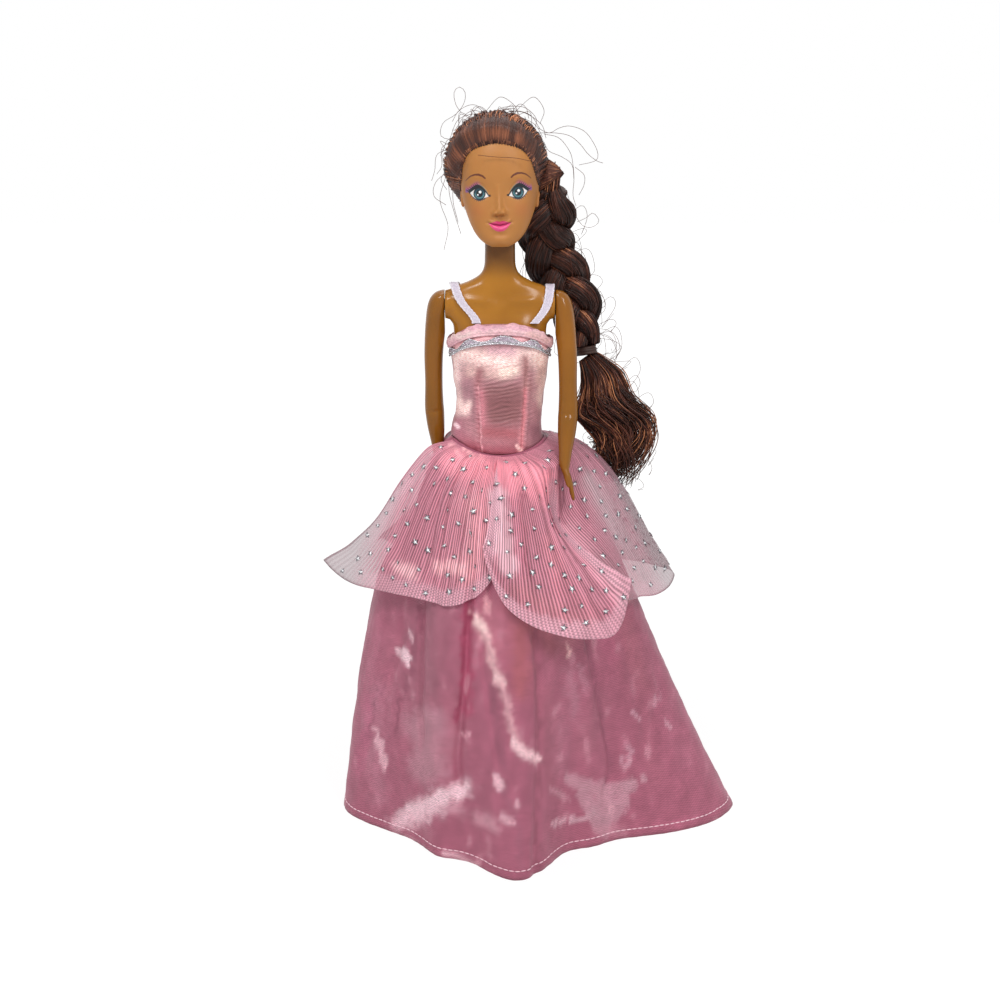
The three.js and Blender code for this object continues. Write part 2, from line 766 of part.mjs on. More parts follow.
function headSolid(offset) {
  const rings = headLevelShares.map((level) => Array.from({ length: headSides }, (_, i) => {
    const point = headPoint(faceAngle(i / headSides), level, offset);
    if (level === 1) point.z += offset;
    if (level === 0) point.z -= offset;
    return point;
  }));
  return joined(loft(rings));
}

function headWithEars(offset) {
  let head = headSolid(offset);
  for (const side of [-1, 1]) {
    const ear = new THREE.SphereGeometry(earRadius + offset, armSides, armSides / 2);
    ear.scale(earThicknessShare, earWidthShare, 1);
    ear.rotateX(radians(-earTilt));
    ear.translate(side * (headHalfWidth - earRadius * 0.25), earRadius * 0.6, chinHeight + headHeight * 0.4);
    head = head.add(joined(ear));
  }
  return head;
}

function addHead() {
  let head = headWithEars(0);
  head = head.subtract(joined(neckKnob(turnGap)));
  const collar = new THREE.CylinderGeometry(neckRadius + turnGap, neckRadius + turnGap,
    neckSocketDepth * 4, torsoSides).rotateX(quarter);
  collar.translate(0, 0, neckTop + turnGap - neckSocketDepth * 2);
  head = head.subtract(joined(collar));
  addPiece(doll, 'head_shell', asGeometry(head), faceVinyl);
}

// Hair combed back from the hairline, as one rooted mass over the skull
function hairSolid(offset) {
  const bottom = chinHeight + headHeight + hairTopRise - hairHeight;
  const rings = hairSectionShares.map(([level, width, front, back], row) => {
    const middle = hairHalfDepth * (back - front) / 2;
    const depth = hairHalfDepth * (back + front) / 2 + offset;
    const last = row === hairSectionShares.length - 1;
    const lift = (last ? offset : 0) - (row === 0 ? offset : 0);
    return ringAt(torsoSides, (angle) => new THREE.Vector3(
      hairHalfWidth * (hairShiftShare + width * Math.cos(angle)) + offset * Math.cos(angle),
      middle + depth * Math.sin(angle),
      bottom + hairHeight * level + lift,
    ));
  });
  return joined(loft(rings));
}

// The arch of the face, through which the hair is cut back to the hairline
function faceOpening() {
  const outline = new THREE.Shape();
  const side = hairlineHalfWidth;
  const archBase = hairlineHeight - side * 0.95;
  outline.moveTo(-side, -headHeight);
  outline.lineTo(-side, archBase);
  outline.bezierCurveTo(-side, archBase + side * 0.6, -side * 0.62, hairlineHeight, 0, hairlineHeight);
  outline.bezierCurveTo(side * 0.62, hairlineHeight, side, archBase + side * 0.6, side, archBase);
  outline.lineTo(side, -headHeight);
  const depth = headHalfDepth * 3;
  const opening = new THREE.ExtrudeGeometry(outline, {
    depth,
    bevelEnabled: false,
    curveSegments: smallSides,
  });
  opening.rotateX(quarter);
  return opening.translate(0, -hairlineDepth, chinHeight);
}

function addRootedHair() {
  let hair = hairSolid(0).subtract(headWithEars(clothGap)).subtract(joined(faceOpening()));
  const pieces = hair.decompose();
  pieces.sort((a, b) => b.volume() - a.volume());
  hair = pieces[0];
  addPiece(doll, 'rooted_hair', asGeometry(hair), hairFibre);
}

// Rings of points round a curve, each turned to face along it
function ringsAlong(curve, steps, sides, halfSizesAt, shiftAt) {
  const rings = [];
  const forward = new THREE.Vector3(0, -1, 0);
  for (let j = 0; j <= steps; j += 1) {
    const along = j / steps;
    const tangent = curve.getTangentAt(along);
    const across = new THREE.Vector3().crossVectors(forward, tangent).normalize();
    const outwards = new THREE.Vector3().crossVectors(tangent, across).normalize();
    const [shiftX, shiftY] = shiftAt(along);
    const centre = curve.getPointAt(along);
    centre.addScaledVector(across, shiftX).addScaledVector(outwards, shiftY);
    const [width, depth] = halfSizesAt(along);
    rings.push(ringAt(sides, (angle) => centre.clone()
      .addScaledVector(across, width * Math.cos(angle))
      .addScaledVector(outwards, depth * Math.sin(angle))));
  }
  return rings;
}

function hairPoint([out, back, up]) {
  return new THREE.Vector3(out * headHeight, back * headHeight, chinHeight + up * headHeight);
}

// Three strands that pass over each other in turn, joined where they press together
function addBraid() {
  const curve = new THREE.CatmullRomCurve3(braidRouteShares.map(hairPoint));
  const length = curve.getLength();
  const steps = Math.round(length / braidStrandRadius * 1.35);
  let braid = null;
  for (let strand = 0; strand < 3; strand += 1) {
    const phaseAt = (along) => turn * (along * length / braidPitch + strand / 3);
    const gatherAt = (along) => 1 - 0.45 * THREE.MathUtils.smoothstep(along, 0.75, 1)
      - 0.3 * (1 - THREE.MathUtils.smoothstep(along, 0, 0.12));
    const strandRings = ringsAlong(curve, steps, braidSides,
      (along) => {
        const radius = braidStrandRadius * gatherAt(along);
        return [radius, radius * braidFlattenShare];
      },
      (along) => [braidSwing * gatherAt(along) * Math.sin(phaseAt(along)),
        braidDepth * gatherAt(along) * Math.sin(2 * phaseAt(along))]);
    const solid = joined(loft(strandRings));
    braid = braid ? braid.add(solid) : solid;
  }
  braid = braid.subtract(hairSolid(touchGap)).subtract(headSolid(touchGap));
  const pieces = braid.decompose();
  pieces.sort((a, b) => b.volume() - a.volume());
  addPiece(doll, 'hair_braid', asGeometry(pieces[0]), hairFibre);

  const tie = new THREE.TorusGeometry(tieRadius, tieThickness, smallSides, armSides);
  const end = curve.getPointAt(1);
  const start = hairPoint(tailRouteShares[0]);
  const direction = start.clone().sub(end).normalize();
  tie.applyQuaternion(new THREE.Quaternion().setFromUnitVectors(new THREE.Vector3(0, 0, 1), direction));
  const middle = end.clone().lerp(start, 0.5);
  addPiece(doll, 'braid_tie', tie.translate(middle.x, middle.y, middle.z), whiteNylon);

  const tailCurve = new THREE.CatmullRomCurve3(tailRouteShares.map(hairPoint));
  const rows = tailWidthShares.map((share, i) => [i / (tailWidthShares.length - 1), share]);
  const tail = loft(ringsAlong(tailCurve, armSides, armSides,
    (along) => [tailHalfWidth * readShares(rows, along, 1), tailHalfDepth * readShares(rows, along, 1)],
    () => [0, 0]));
  addPiece(doll, 'hair_tail', tail, hairFibre);
}

// The seam between bodice and skirt dips a little at the front
function seamAt(x, facing) {
  const side = Math.min(1, Math.abs(x) / skirtWaistHalfWidth);
  return seamHeight - (facing ? seamDip * (1 - side ** 2) : 0);
}

function bodiceSeamAt(angle) {
  const { x, y } = torsoPoint(angle, seamHeight, clothGap + clothThickness + easeAt(angle, seamHeight));
  return seamAt(x, y < 0) + touchGap;
}

// The cloth stands off the waist a little on the right side
function easeAt(angle, height) {
  const away = angleBetween(THREE.MathUtils.radToDeg(angle), 180);
  return waistEase * bump(away, waistEaseAngle) * bump(height - seamHeight - waistEaseRise, waistEaseSpread);
}

function skirtWaist(angle) {
  const waist = Math.hypot(Math.cos(angle) / skirtWaistHalfWidth, Math.sin(angle) / skirtWaistHalfDepth);
  return 1 / waist + easeAt(angle, seamHeight);
}

function skirtSeamAt(angle) {
  return seamAt(skirtWaist(angle) * Math.cos(angle), Math.sin(angle) < 0) - touchGap;
}

function necklineAt(angle) {
  const side = Math.abs(Math.cos(angle)) ** 3;
  const behind = Math.max(0, Math.sin(angle));
  return necklineHeight - armholeDrop * side - backDrop * behind * (1 - side);
}

// A panel of cloth over the torso, between two angles and two heights, at an offset from the skin
function torsoPanel(from, to, lowAt, highAt, offsetAt, thickness, columns, rows) {
  const pointAt = (u, v, lift) => {
    const angle = THREE.MathUtils.lerp(from, to, u);
    const height = THREE.MathUtils.lerp(lowAt(angle), highAt(angle), v);
    return torsoPoint(angle, height, offsetAt(angle) + easeAt(angle, height) + lift);
  };
  return sheet(columns, rows, false,
    (u, v) => pointAt(u, v, thickness),
    (u, v) => pointAt(u, v, 0));
}

// The bodice: a front between the side seams and two backs that lap over each other
function addBodice() {
  const clear = touchGap / torsoHalfWidth;
  const lap = closureHalfWidth / torsoDepth;
  const lowAt = bodiceSeamAt;
  const highAt = necklineAt;
  const close = () => clothGap;
  const tapeOffset = clothGap + clothThickness + touchGap;
  const lappedOffset = tapeOffset + (ribbonThickness + touchGap) * 2;
  const liftedAt = (angle) => THREE.MathUtils.lerp(lappedOffset, clothGap,
    THREE.MathUtils.smoothstep(angle, quarter + lap, quarter + lap * 2.6));
  addPiece(doll, 'bodice_front',
    torsoPanel(-half + clear, -clear, lowAt, highAt, close, clothThickness, 20, 9), pinkSatin);
  addPiece(doll, 'bodice_back_left',
    torsoPanel(clear, quarter + lap, lowAt, highAt, close, clothThickness, 9, 8), pinkSatin);
  addPiece(doll, 'bodice_back_right',
    torsoPanel(quarter - lap, half - clear, lowAt, highAt, liftedAt, clothThickness, 9, 8), pinkSatin);
  const tapeTop = necklineAt(quarter) - clothThickness * 2;
  const tapeLow = () => tapeTop - tapeHeight;
  const tapeHigh = () => tapeTop;
  const inset = lap * 0.85;
  addPiece(doll, 'loop_tape', torsoPanel(quarter - inset, quarter + inset, tapeLow, tapeHigh,
    () => tapeOffset, ribbonThickness, 3, 4), whiteNylon);
  addPiece(doll, 'hook_tape', torsoPanel(quarter - inset, quarter + inset, tapeLow, tapeHigh,
    () => tapeOffset + ribbonThickness + touchGap, ribbonThickness, 3, 4), whiteNylon);
}

// The folded band along the neckline, the scalloped silver trim below it and the two straps
function addNeckline() {
  const bandOffset = clothGap + clothThickness + touchGap;
  const reach = quarter + radians(bandEndAngle);
  const lowAt = (angle) => necklineAt(angle) - bandHeight;
  addPiece(doll, 'neckline_band', torsoPanel(-quarter - reach, -quarter + reach, lowAt, necklineAt,
    () => bandOffset, clothThickness, 22, 2), pinkSatin);
  const trimTop = (angle) => lowAt(angle) - touchGap
    - trimScallop * Math.abs(Math.sin((angle + quarter) * trimScallops / 2));
  const trimLow = (angle) => lowAt(angle) - touchGap - trimHeight;
  const trimReach = quarter + radians(trimEndAngle);
  addPiece(doll, 'silver_trim', torsoPanel(-quarter - trimReach, -quarter + trimReach, trimLow, trimTop,
    () => bandOffset, ribbonThickness, trimScallops * trimFacets, 1), silverLace);
  for (const [name, side] of [['left', 1], ['right', -1]]) {
    addPiece(doll, `${name}_strap`, strapGeometry(side), whiteSatin);
  }
}

// How far the torso's skin lies from the strap's pivot, in a plane of constant x
function strapRadius(x, tilt) {
  let inside = 0;
  let outside = torsoDepth * 2;
  const steps = 30;
  for (let i = 0; i < steps; i += 1) {
    const reach = (inside + outside) / 2;
    const z = strapPivotHeight + reach * Math.sin(tilt);
    const front = Math.cos(tilt) > 0;
    const y = front ? Math.min(0, bustAt(x, z) - reach * Math.cos(tilt)) : -reach * Math.cos(tilt);
    const place = (z - hipHeight) / torsoHeight;
    const width = torsoHalfWidth * readShares(torsoSectionShares, place, 1);
    const depth = torsoDepth * readShares(torsoSectionShares, place, front ? 2 : 3);
    const level = Math.abs(x / width) ** torsoRoundness + Math.abs(y / depth) ** torsoRoundness;
    if (level < 1) inside = reach;
    else outside = reach;
  }
  return outside;
}

function strapGeometry(side) {
  const steps = 16;
  const [from, to] = [radians(strapFrontTilt), radians(strapBackTilt)];
  const rings = [];
  for (let i = 0; i <= steps; i += 1) {
    const share = i / steps;
    const tilt = THREE.MathUtils.lerp(from, to, share);
    const crest = Math.max(0, Math.sin(tilt) - Math.sin(from)) / (1 - Math.sin(from));
    const x = THREE.MathUtils.lerp(THREE.MathUtils.lerp(strapFrontX, strapBackX, share), strapTopX, crest);
    const highest = Math.max(...[-1, 0, 1].map((edge) => strapRadius(x + edge * strapWidth / 2, tilt)));
    const ring = [];
    for (const [across, lift] of [[-1, 0], [1, 0], [1, 1], [-1, 1]]) {
      const place = x + across * strapWidth / 2;
      const reach = highest + clothGap + lift * ribbonThickness;
      const rise = reach * Math.sin(tilt);
      ring.push(new THREE.Vector3(side * place, -reach * Math.cos(tilt), strapPivotHeight + rise));
    }
    rings.push(ring);
  }
  return loft(rings);
}

// Distance of the hips' skin from the body's axis
function torsoReach(angle, height) {
  const place = (height - hipHeight) / torsoHeight;
  const width = torsoHalfWidth * readShares(torsoSectionShares, place, 1);
  const depth = torsoDepth * readShares(torsoSectionShares, place, angle < 0 ? 2 : 3);
  const level = Math.abs(Math.cos(angle) / width) ** torsoRoundness
    + Math.abs(Math.sin(angle) / depth) ** torsoRoundness;
  return level ** (-1 / torsoRoundness);
}

// The wrist end of each hanging hand
const hands = [[1, leftArmSwing], [-1, rightArmSwing]].map(([side, swing]) => {
  const drop = armHeight * handLevelShare;
  const wrist = armSectionShares[armSectionShares.length - 1];
  const forward = armHalfWidth * wrist[2];
  return new THREE.Vector3(
    side * (torsoHalfWidth + armHalfWidth * wrist[1]),
    -drop * Math.sin(radians(swing)) - forward,
    shoulderHeight - drop * Math.cos(radians(swing)),
  );
});

// Distance of the skirt's cloth from the body's axis
function skirtRadius(degrees, height) {
  const angle = radians(degrees);
  const seam = skirtSeamAt(angle);
  const down = THREE.MathUtils.clamp((seam - height) / seam, 0, 1);
  let radius = THREE.MathUtils.lerp(skirtWaist(angle), hemRadius, readShares(skirtProfileShares, down, 1));
  for (const { angle: place, spread, rise, growth } of skirtFoldShares) {
    radius += hemRadius * rise * down ** growth * bump(angleBetween(degrees, place), spread);
  }
  for (const { x, y, z } of hands) {
    const free = Math.hypot(x, y) - palmHalfWidth - clothGap * 2;
    const place = THREE.MathUtils.radToDeg(Math.atan2(y, x));
    const pressed = bump(angleBetween(degrees, place), handHollowAngle) * bump(height - z, handHollowHeight);
    radius -= Math.max(0, radius - free) * Math.min(1, 2 * pressed);
  }
  if (height < hipHeight - hipBallRadius) return radius;
  const hips = torsoReach(radians(angleBetween(degrees, 0)), height);
  return Math.max(radius, hips + clothGap * 2 + clothThickness);
}

// The full-length skirt, gathered at the seam and open below
function addSkirt() {
  const skirtRows = skirtLevelShares.length - 1;
  const pointAt = (u, v, depth) => {
    const degrees = u * 360;
    const angle = radians(degrees);
    const seam = skirtSeamAt(angle);
    const share = skirtLevelShares[Math.round(v * skirtRows)];
    const height = seam * (1 - share);
    const radius = skirtRadius(degrees, height) - depth;
    return new THREE.Vector3(radius * Math.cos(angle), radius * Math.sin(angle), height);
  };
  addPiece(doll, 'skirt', sheet(skirtColumns, skirtRows, true,
    (u, v) => pointAt(u, v, 0),
    (u, v) => pointAt(u, v, clothThickness)), pinkSatin);
}

// The sheer petals over the skirt, sewn into the same seam
function addPetals() {
  for (const { name, layer, from, fromLean, to, toLean } of petals) {
    const edge = petalEdgeShares[name];
    const lift = petalLift + layer * petalLayerLift;
    const widest = Math.max(to - from, to + toLean - from - fromLean);
    const columns = Math.round(widest / petalColumnAngle);
    const pointAt = (u, v, depth) => {
      const degrees = THREE.MathUtils.lerp(from + fromLean * v, to + toLean * v, u);
      const angle = radians(degrees);
      const top = skirtSeamAt(angle) - touchGap;
      const reach = hemRadius * readShares(edge, degrees, 1);
      const drop = top - seamHeight * readShares(edge, degrees, 2);
      const waist = skirtRadius(degrees, top);
      const height = top - drop * readShares(petalProfileShares, v, 2);
      const wanted = THREE.MathUtils.lerp(waist, reach, readShares(petalProfileShares, v, 1));
      const radius = Math.max(wanted, skirtRadius(degrees, height)) + lift + depth;
      return new THREE.Vector3(radius * Math.cos(angle), radius * Math.sin(angle), height);
    };
    addPiece(doll, name, sheet(columns, petalRows, false,
      (u, v) => pointAt(u, v, organzaThickness),
      (u, v) => pointAt(u, v, 0)), organza);
  }
}

addTorso();
addArms();
addLegs();
addHead();
addRootedHair();
addBraid();
addBodice();
addNeckline();
addSkirt();
addPetals();

// The origin is on the floor, in the middle of the space that the whole doll takes
const space = new THREE.Box3().setFromObject(doll, true);
const middle = space.getCenter(new THREE.Vector3());
doll.position.set(-middle.x, -middle.y, -space.min.z);

export default doll;
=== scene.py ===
import math

import bpy
import numpy as np
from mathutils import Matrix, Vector


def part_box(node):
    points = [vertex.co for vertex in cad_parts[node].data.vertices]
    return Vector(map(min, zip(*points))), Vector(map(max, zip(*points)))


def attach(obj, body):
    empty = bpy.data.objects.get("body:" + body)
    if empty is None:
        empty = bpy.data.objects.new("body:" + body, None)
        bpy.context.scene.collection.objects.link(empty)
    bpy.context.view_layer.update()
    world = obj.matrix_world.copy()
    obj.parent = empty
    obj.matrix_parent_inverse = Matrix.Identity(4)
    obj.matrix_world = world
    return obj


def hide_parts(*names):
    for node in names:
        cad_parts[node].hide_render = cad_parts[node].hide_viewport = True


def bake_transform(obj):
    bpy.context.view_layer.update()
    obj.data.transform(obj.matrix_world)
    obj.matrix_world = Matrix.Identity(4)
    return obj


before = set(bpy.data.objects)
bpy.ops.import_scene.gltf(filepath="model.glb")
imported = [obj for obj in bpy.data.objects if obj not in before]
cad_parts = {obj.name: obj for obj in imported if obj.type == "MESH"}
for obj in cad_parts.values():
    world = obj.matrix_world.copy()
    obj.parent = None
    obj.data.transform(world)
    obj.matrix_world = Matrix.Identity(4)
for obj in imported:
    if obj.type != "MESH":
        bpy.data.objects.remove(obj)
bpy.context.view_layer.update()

# The doll is drawn in millimetres about its own axis, then put in the row frame in metres.
# Its own left side is on +X, which is on the right in the picture.
mm = 0.001
knobLow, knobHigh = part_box("neck_knob")
dollAxis = np.array([(knobLow.x + knobHigh.x) / 2, (knobLow.y + knobHigh.y) / 2, 0.0])
quarter, half, turn = math.pi / 2, math.pi, math.pi * 2
view = {"distance": 457, "height": 271, "pitch": 15.9, "focal": 1150}


def inRow(points):
    return np.asarray(points, float) * mm + dollAxis


def seenAt(points):
    # where the camera sees each point, in a picture 1000 wide
    lean = math.radians(view["pitch"])
    away, up = points[..., 1] + view["distance"], points[..., 2] - view["height"]
    depth = away * math.cos(lean) - up * math.sin(lean)
    return (500 + view["focal"] * points[..., 0] / depth,
            500 - view["focal"] * (away * math.sin(lean) + up * math.cos(lean)) / depth)


def fromPicture(x, y, row):
    # the point seen at a place in the picture, on the upright plane at that depth
    lean = math.radians(view["pitch"])
    slope, away = (np.asarray(y, float) - 500) / view["focal"], np.asarray(row, float) + view["distance"]
    up = -away * (math.sin(lean) + slope * math.cos(lean)) / (math.cos(lean) - slope * math.sin(lean))
    depth = away * math.cos(lean) - up * math.sin(lean)
    return np.stack([(np.asarray(x, float) - 500) / view["focal"] * depth, row + 0 * up, up + view["height"]], -1)


def smoothstep(low, high, x):
    t = np.clip((np.asarray(x, float) - low) / (high - low), 0, 1)
    return t * t * (3 - 2 * t)


def bump(distance, spread):
    return np.exp(-(np.asarray(distance) / spread) ** 2)


def mix(a, b, t):
    return a + (b - a) * t


def roundPower(x, roundness):
    return np.sign(x) * np.abs(x) ** (2 / roundness)


def angleGap(a, b):
    return (np.asarray(a) - b + 180) % 360 - 180


def anglesRound(count):
    return np.arange(count) / count * turn


def fromPolar(angle, radius, height):
    return np.stack(np.broadcast_arrays(radius * np.cos(angle), radius * np.sin(angle), height), -1)


def readTable(rows, place, column):
    # a smooth curve through one column of a table, over its first column
    rows = np.asarray(rows, float)
    key, value = rows[:, 0], rows[:, column]
    place = np.clip(np.asarray(place, float), key[0], key[-1])
    i = np.clip(np.searchsorted(key, place, side="right") - 1, 0, len(key) - 2)
    before, after = np.maximum(i - 1, 0), np.minimum(i + 2, len(key) - 1)
    step = key[i + 1] - key[i]
    t = (place - key[i]) / step
    slopeA = (value[i + 1] - value[before]) / (key[i + 1] - key[before]) * step
    slopeB = (value[after] - value[i]) / (key[after] - key[i]) * step
    lerp = mix(value[i], value[i + 1], t * t * (3 - 2 * t))
    return lerp + t * (1 - t) * ((1 - t) * slopeA - t * slopeB)


def wobble(x, y, z, scale, seed=0):
    # smooth noise from a few sine waves, the same on every run
    rng = np.random.default_rng(seed)
    total = 0
    for octave in range(5):
        direction = rng.normal(size=3)
        direction /= np.linalg.norm(direction)
        phase, stretch = rng.uniform(0, turn), rng.uniform(0.6, 1.7)
        total = total + np.sin((x * direction[0] + y * direction[1] + z * direction[2])
                               * stretch * turn / scale + phase
                               + 1.3 * np.sin((x * direction[2] - z * direction[0]) * turn / scale / 1.7 + phase))
    return total / 5


def gridFaces(rows, columns, closed=False):
    across = columns if closed else columns - 1
    j, i = np.meshgrid(np.arange(rows - 1), np.arange(across), indexing="ij")
    a = j * columns + i
    b = j * columns + (i + 1) % columns
    return np.stack([a, b, b + columns, a + columns], -1).reshape(-1, 4)


def newMesh(name, points, faces, place=True):
    # faces is a list of index arrays, each of one number of corners;
    # place turns the doll's millimetres to the row's metres
    faces = [np.asarray(f, np.int32) for f in faces if len(f)]
    mesh = bpy.data.meshes.new(name)
    mesh.vertices.add(len(points))
    placed = inRow(points) if place else np.asarray(points, float)
    mesh.vertices.foreach_set("co", placed.astype(np.float32).ravel())
    corners = np.concatenate([f.ravel() for f in faces])
    sizes = np.concatenate([np.full(len(f), f.shape[1]) for f in faces])
    mesh.loops.add(len(corners))
    mesh.loops.foreach_set("vertex_index", corners.astype(np.int32))
    mesh.polygons.add(len(sizes))
    starts = np.concatenate([[0], np.cumsum(sizes)[:-1]]).astype(np.int32)
    mesh.polygons.foreach_set("loop_start", starts)
    mesh.polygons.foreach_set("use_smooth", np.ones(len(sizes), bool))
    mesh.update(calc_edges=True)
    mesh.validate()
    return mesh


def addObject(name, data):
    item = bpy.data.objects.new(name, data)
    bpy.context.scene.collection.objects.link(item)
    return item


def placePiece(piece, body="torso", node=None):
    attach(piece, body)
    if node:
        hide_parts(node)


def addPiece(name, mesh, material):
    piece = addObject(name, mesh)
    mesh.materials.clear()
    mesh.materials.append(material)
    return piece


def addTone(mesh, name, values):
    attribute = mesh.attributes.new(name, "FLOAT", "POINT")
    attribute.data.foreach_set("value", np.asarray(values, np.float32).ravel())


def addColour(mesh, name, values):
    attribute = mesh.color_attributes.new(name, "FLOAT_COLOR", "POINT")
    colour = np.ones((len(values), 4), np.float32)
    colour[:, :3] = values
    attribute.data.foreach_set("color", colour.ravel())


def addUv(mesh, name, uv):
    layer = mesh.uv_layers.new(name=name)
    corners = np.zeros(len(mesh.loops), np.int32)
    mesh.loops.foreach_get("vertex_index", corners)
    layer.data.foreach_set("uv", np.asarray(uv, np.float32)[corners].ravel())


def loft(rings):
    # rings: (rows, columns, 3), closed round and capped at both ends
    rings = np.asarray(rings, float)
    rows, columns = rings.shape[:2]
    points = np.concatenate([rings.reshape(-1, 3), rings[:1].mean(1), rings[-1:].mean(1)])
    i = np.arange(columns)
    first = np.stack([np.full(columns, rows * columns), (i + 1) % columns, i], -1)
    end = (rows - 1) * columns
    last = np.stack([np.full(columns, rows * columns + 1), end + i, end + (i + 1) % columns], -1)
    return points, outwards(points, [gridFaces(rows, columns, True), first, last])


def joinParts(parts):
    points, faces, count = [], {}, 0
    for partPoints, partFaces in parts:
        for f in partFaces:
            f = np.asarray(f)
            if len(f):
                faces.setdefault(f.shape[1], []).append(f + count)
        points.append(np.asarray(partPoints, float).reshape(-1, 3))
        count += len(points[-1])
    return np.concatenate(points), [np.concatenate(f) for f in faces.values()]


def outwards(points, faces):
    # turns every face over if the closed shape is inside out
    volume = 0.0
    for f in faces:
        a = points[f[:, 0]]
        for k in range(1, f.shape[1] - 1):
            volume += (a * np.cross(points[f[:, k]], points[f[:, k + 1]])).sum()
    return faces if volume > 0 else [f[:, ::-1] for f in faces]


def strandTubes(paths, radii, sides=3):
    # many thin closed tubes: paths (strands, steps, 3), radii (strands, steps)
    paths, radii = np.asarray(paths, float), np.asarray(radii, float)
    strands, steps = paths.shape[:2]
    tangent = np.gradient(paths, axis=1)
    tangent /= np.linalg.norm(tangent, axis=2, keepdims=True) + 1e-9
    guide = np.array([0.37, -0.86, 0.35])
    across = np.cross(tangent, guide)
    across /= np.linalg.norm(across, axis=2, keepdims=True) + 1e-9
    other = np.cross(tangent, across)
    angle = anglesRound(sides)
    ring = (across[:, :, None] * np.cos(angle)[None, None, :, None]
            + other[:, :, None] * np.sin(angle)[None, None, :, None])
    points = paths[:, :, None] + ring * radii[:, :, None, None]
    one = gridFaces(steps, sides, True)
    offset = (np.arange(strands) * steps * sides)[:, None, None]
    walls = (one[None] + offset).reshape(-1, 4)
    start = np.arange(sides)[::-1]
    end = (steps - 1) * sides + np.arange(sides)
    caps = (np.stack([start, end])[None] + offset).reshape(-1, sides)
    return points.reshape(-1, 3), [walls, caps]


def alongCurve(route, count):
    # a smooth line through the route's points, evenly spaced
    route = np.asarray(route, float)
    padded = np.vstack([2 * route[0] - route[1], route, 2 * route[-1] - route[-2]])
    fine = []
    for i in range(1, len(padded) - 2):
        a, b, c, d = padded[i - 1:i + 3]
        t = np.linspace(0, 1, 24, endpoint=False)[:, None]
        fine.append(0.5 * (2 * b + (c - a) * t + (2 * a - 5 * b + 4 * c - d) * t ** 2
                           + (3 * b - a - 3 * c + d) * t ** 3))
    fine = np.vstack(fine + [route[-1:]])
    run = np.concatenate([[0], np.cumsum(np.linalg.norm(np.diff(fine, axis=0), axis=1))])
    want = np.linspace(0, run[-1], count)
    return np.stack([np.interp(want, run, fine[:, k]) for k in range(3)], -1), run[-1]


def linear(hexColour):
    channels = [int(hexColour[i:i + 2], 16) / 255 for i in (0, 2, 4)]
    return np.array([c / 12.92 if c <= 0.04045 else ((c + 0.055) / 1.055) ** 2.4 for c in channels])


def addNode(tree, kind, inputs=None, **settings):
    # each input gets a value, or the output of another node
    node = tree.nodes.new(kind)
    for key, value in settings.items():
        setattr(node, key, value)
    for key, value in (inputs or {}).items():
        if isinstance(value, bpy.types.NodeSocket):
            tree.links.new(value, node.inputs[key])
        else:
            node.inputs[key].default_value = value
    return node


def calculate(tree, operation, *terms, **settings):
    return addNode(tree, "ShaderNodeMath", dict(enumerate(terms)), operation=operation, **settings).outputs[0]


def blendOf(tree, share, a, b):
    return addNode(tree, "ShaderNodeMix", {"Factor": share, "A": a, "B": b}, data_type="FLOAT").outputs["Result"]


def mapped(tree, value, low, high, fromLow=0.0, fromHigh=1.0):
    return addNode(tree, "ShaderNodeMapRange", {"Value": value, "From Min": fromLow, "From Max": fromHigh,
                                                "To Min": low, "To Max": high}).outputs["Result"]


def attributeOf(tree, name, output="Fac"):
    return addNode(tree, "ShaderNodeAttribute", attribute_name=name).outputs[output]


def scaledColour(tree, colour, level):
    return addNode(tree, "ShaderNodeVectorMath", {0: colour, "Scale": level}, operation="SCALE").outputs["Vector"]


def newMaterial(name, inputs):
    material = bpy.data.materials.new(name)
    material.use_nodes = True
    tree = material.node_tree
    tree.nodes.clear()
    shader = addNode(tree, "ShaderNodeBsdfPrincipled", inputs)
    addNode(tree, "ShaderNodeOutputMaterial", {"Surface": shader.outputs["BSDF"]})
    return material, tree, shader


def colourRamp(tree, factor, stops):
    ramp = addNode(tree, "ShaderNodeValToRGB", {"Fac": factor})
    elements = ramp.color_ramp.elements
    for i, (place, colour) in enumerate(stops):
        element = elements[i] if i < 2 else elements.new(place)
        element.position = place
        element.color = (*linear(colour), 1)
    return ramp.outputs["Color"]


def objectNoise(tree, size, detail=3.0, roughness=0.5, stretch=(1, 1, 1)):
    # size is the pattern's real grain in millimetres
    place = addNode(tree, "ShaderNodeTexCoord").outputs["Object"]
    mapping = addNode(tree, "ShaderNodeMapping", {"Scale": stretch, "Vector": place})
    return addNode(tree, "ShaderNodeTexNoise", {"Scale": 1 / (size * mm), "Detail": detail, "Roughness": roughness,
                                                "Vector": mapping.outputs["Vector"]}).outputs["Fac"]


def uvNoise(tree, uvName, scale, detail, roughness, stretch=(1, 1, 1)):
    # noise over a UV map in millimetres
    place = addNode(tree, "ShaderNodeUVMap", uv_map=uvName).outputs["UV"]
    mapping = addNode(tree, "ShaderNodeMapping", {"Scale": stretch, "Vector": place})
    return addNode(tree, "ShaderNodeTexNoise", {"Scale": scale, "Detail": detail, "Roughness": roughness,
                                                "Vector": mapping.outputs["Vector"]}).outputs["Fac"]


def addBump(tree, shader, height, distance, strength):
    bumped = addNode(tree, "ShaderNodeBump", {"Strength": strength, "Distance": distance * mm, "Height": height})
    tree.links.new(bumped.outputs["Normal"], shader.inputs["Normal"])


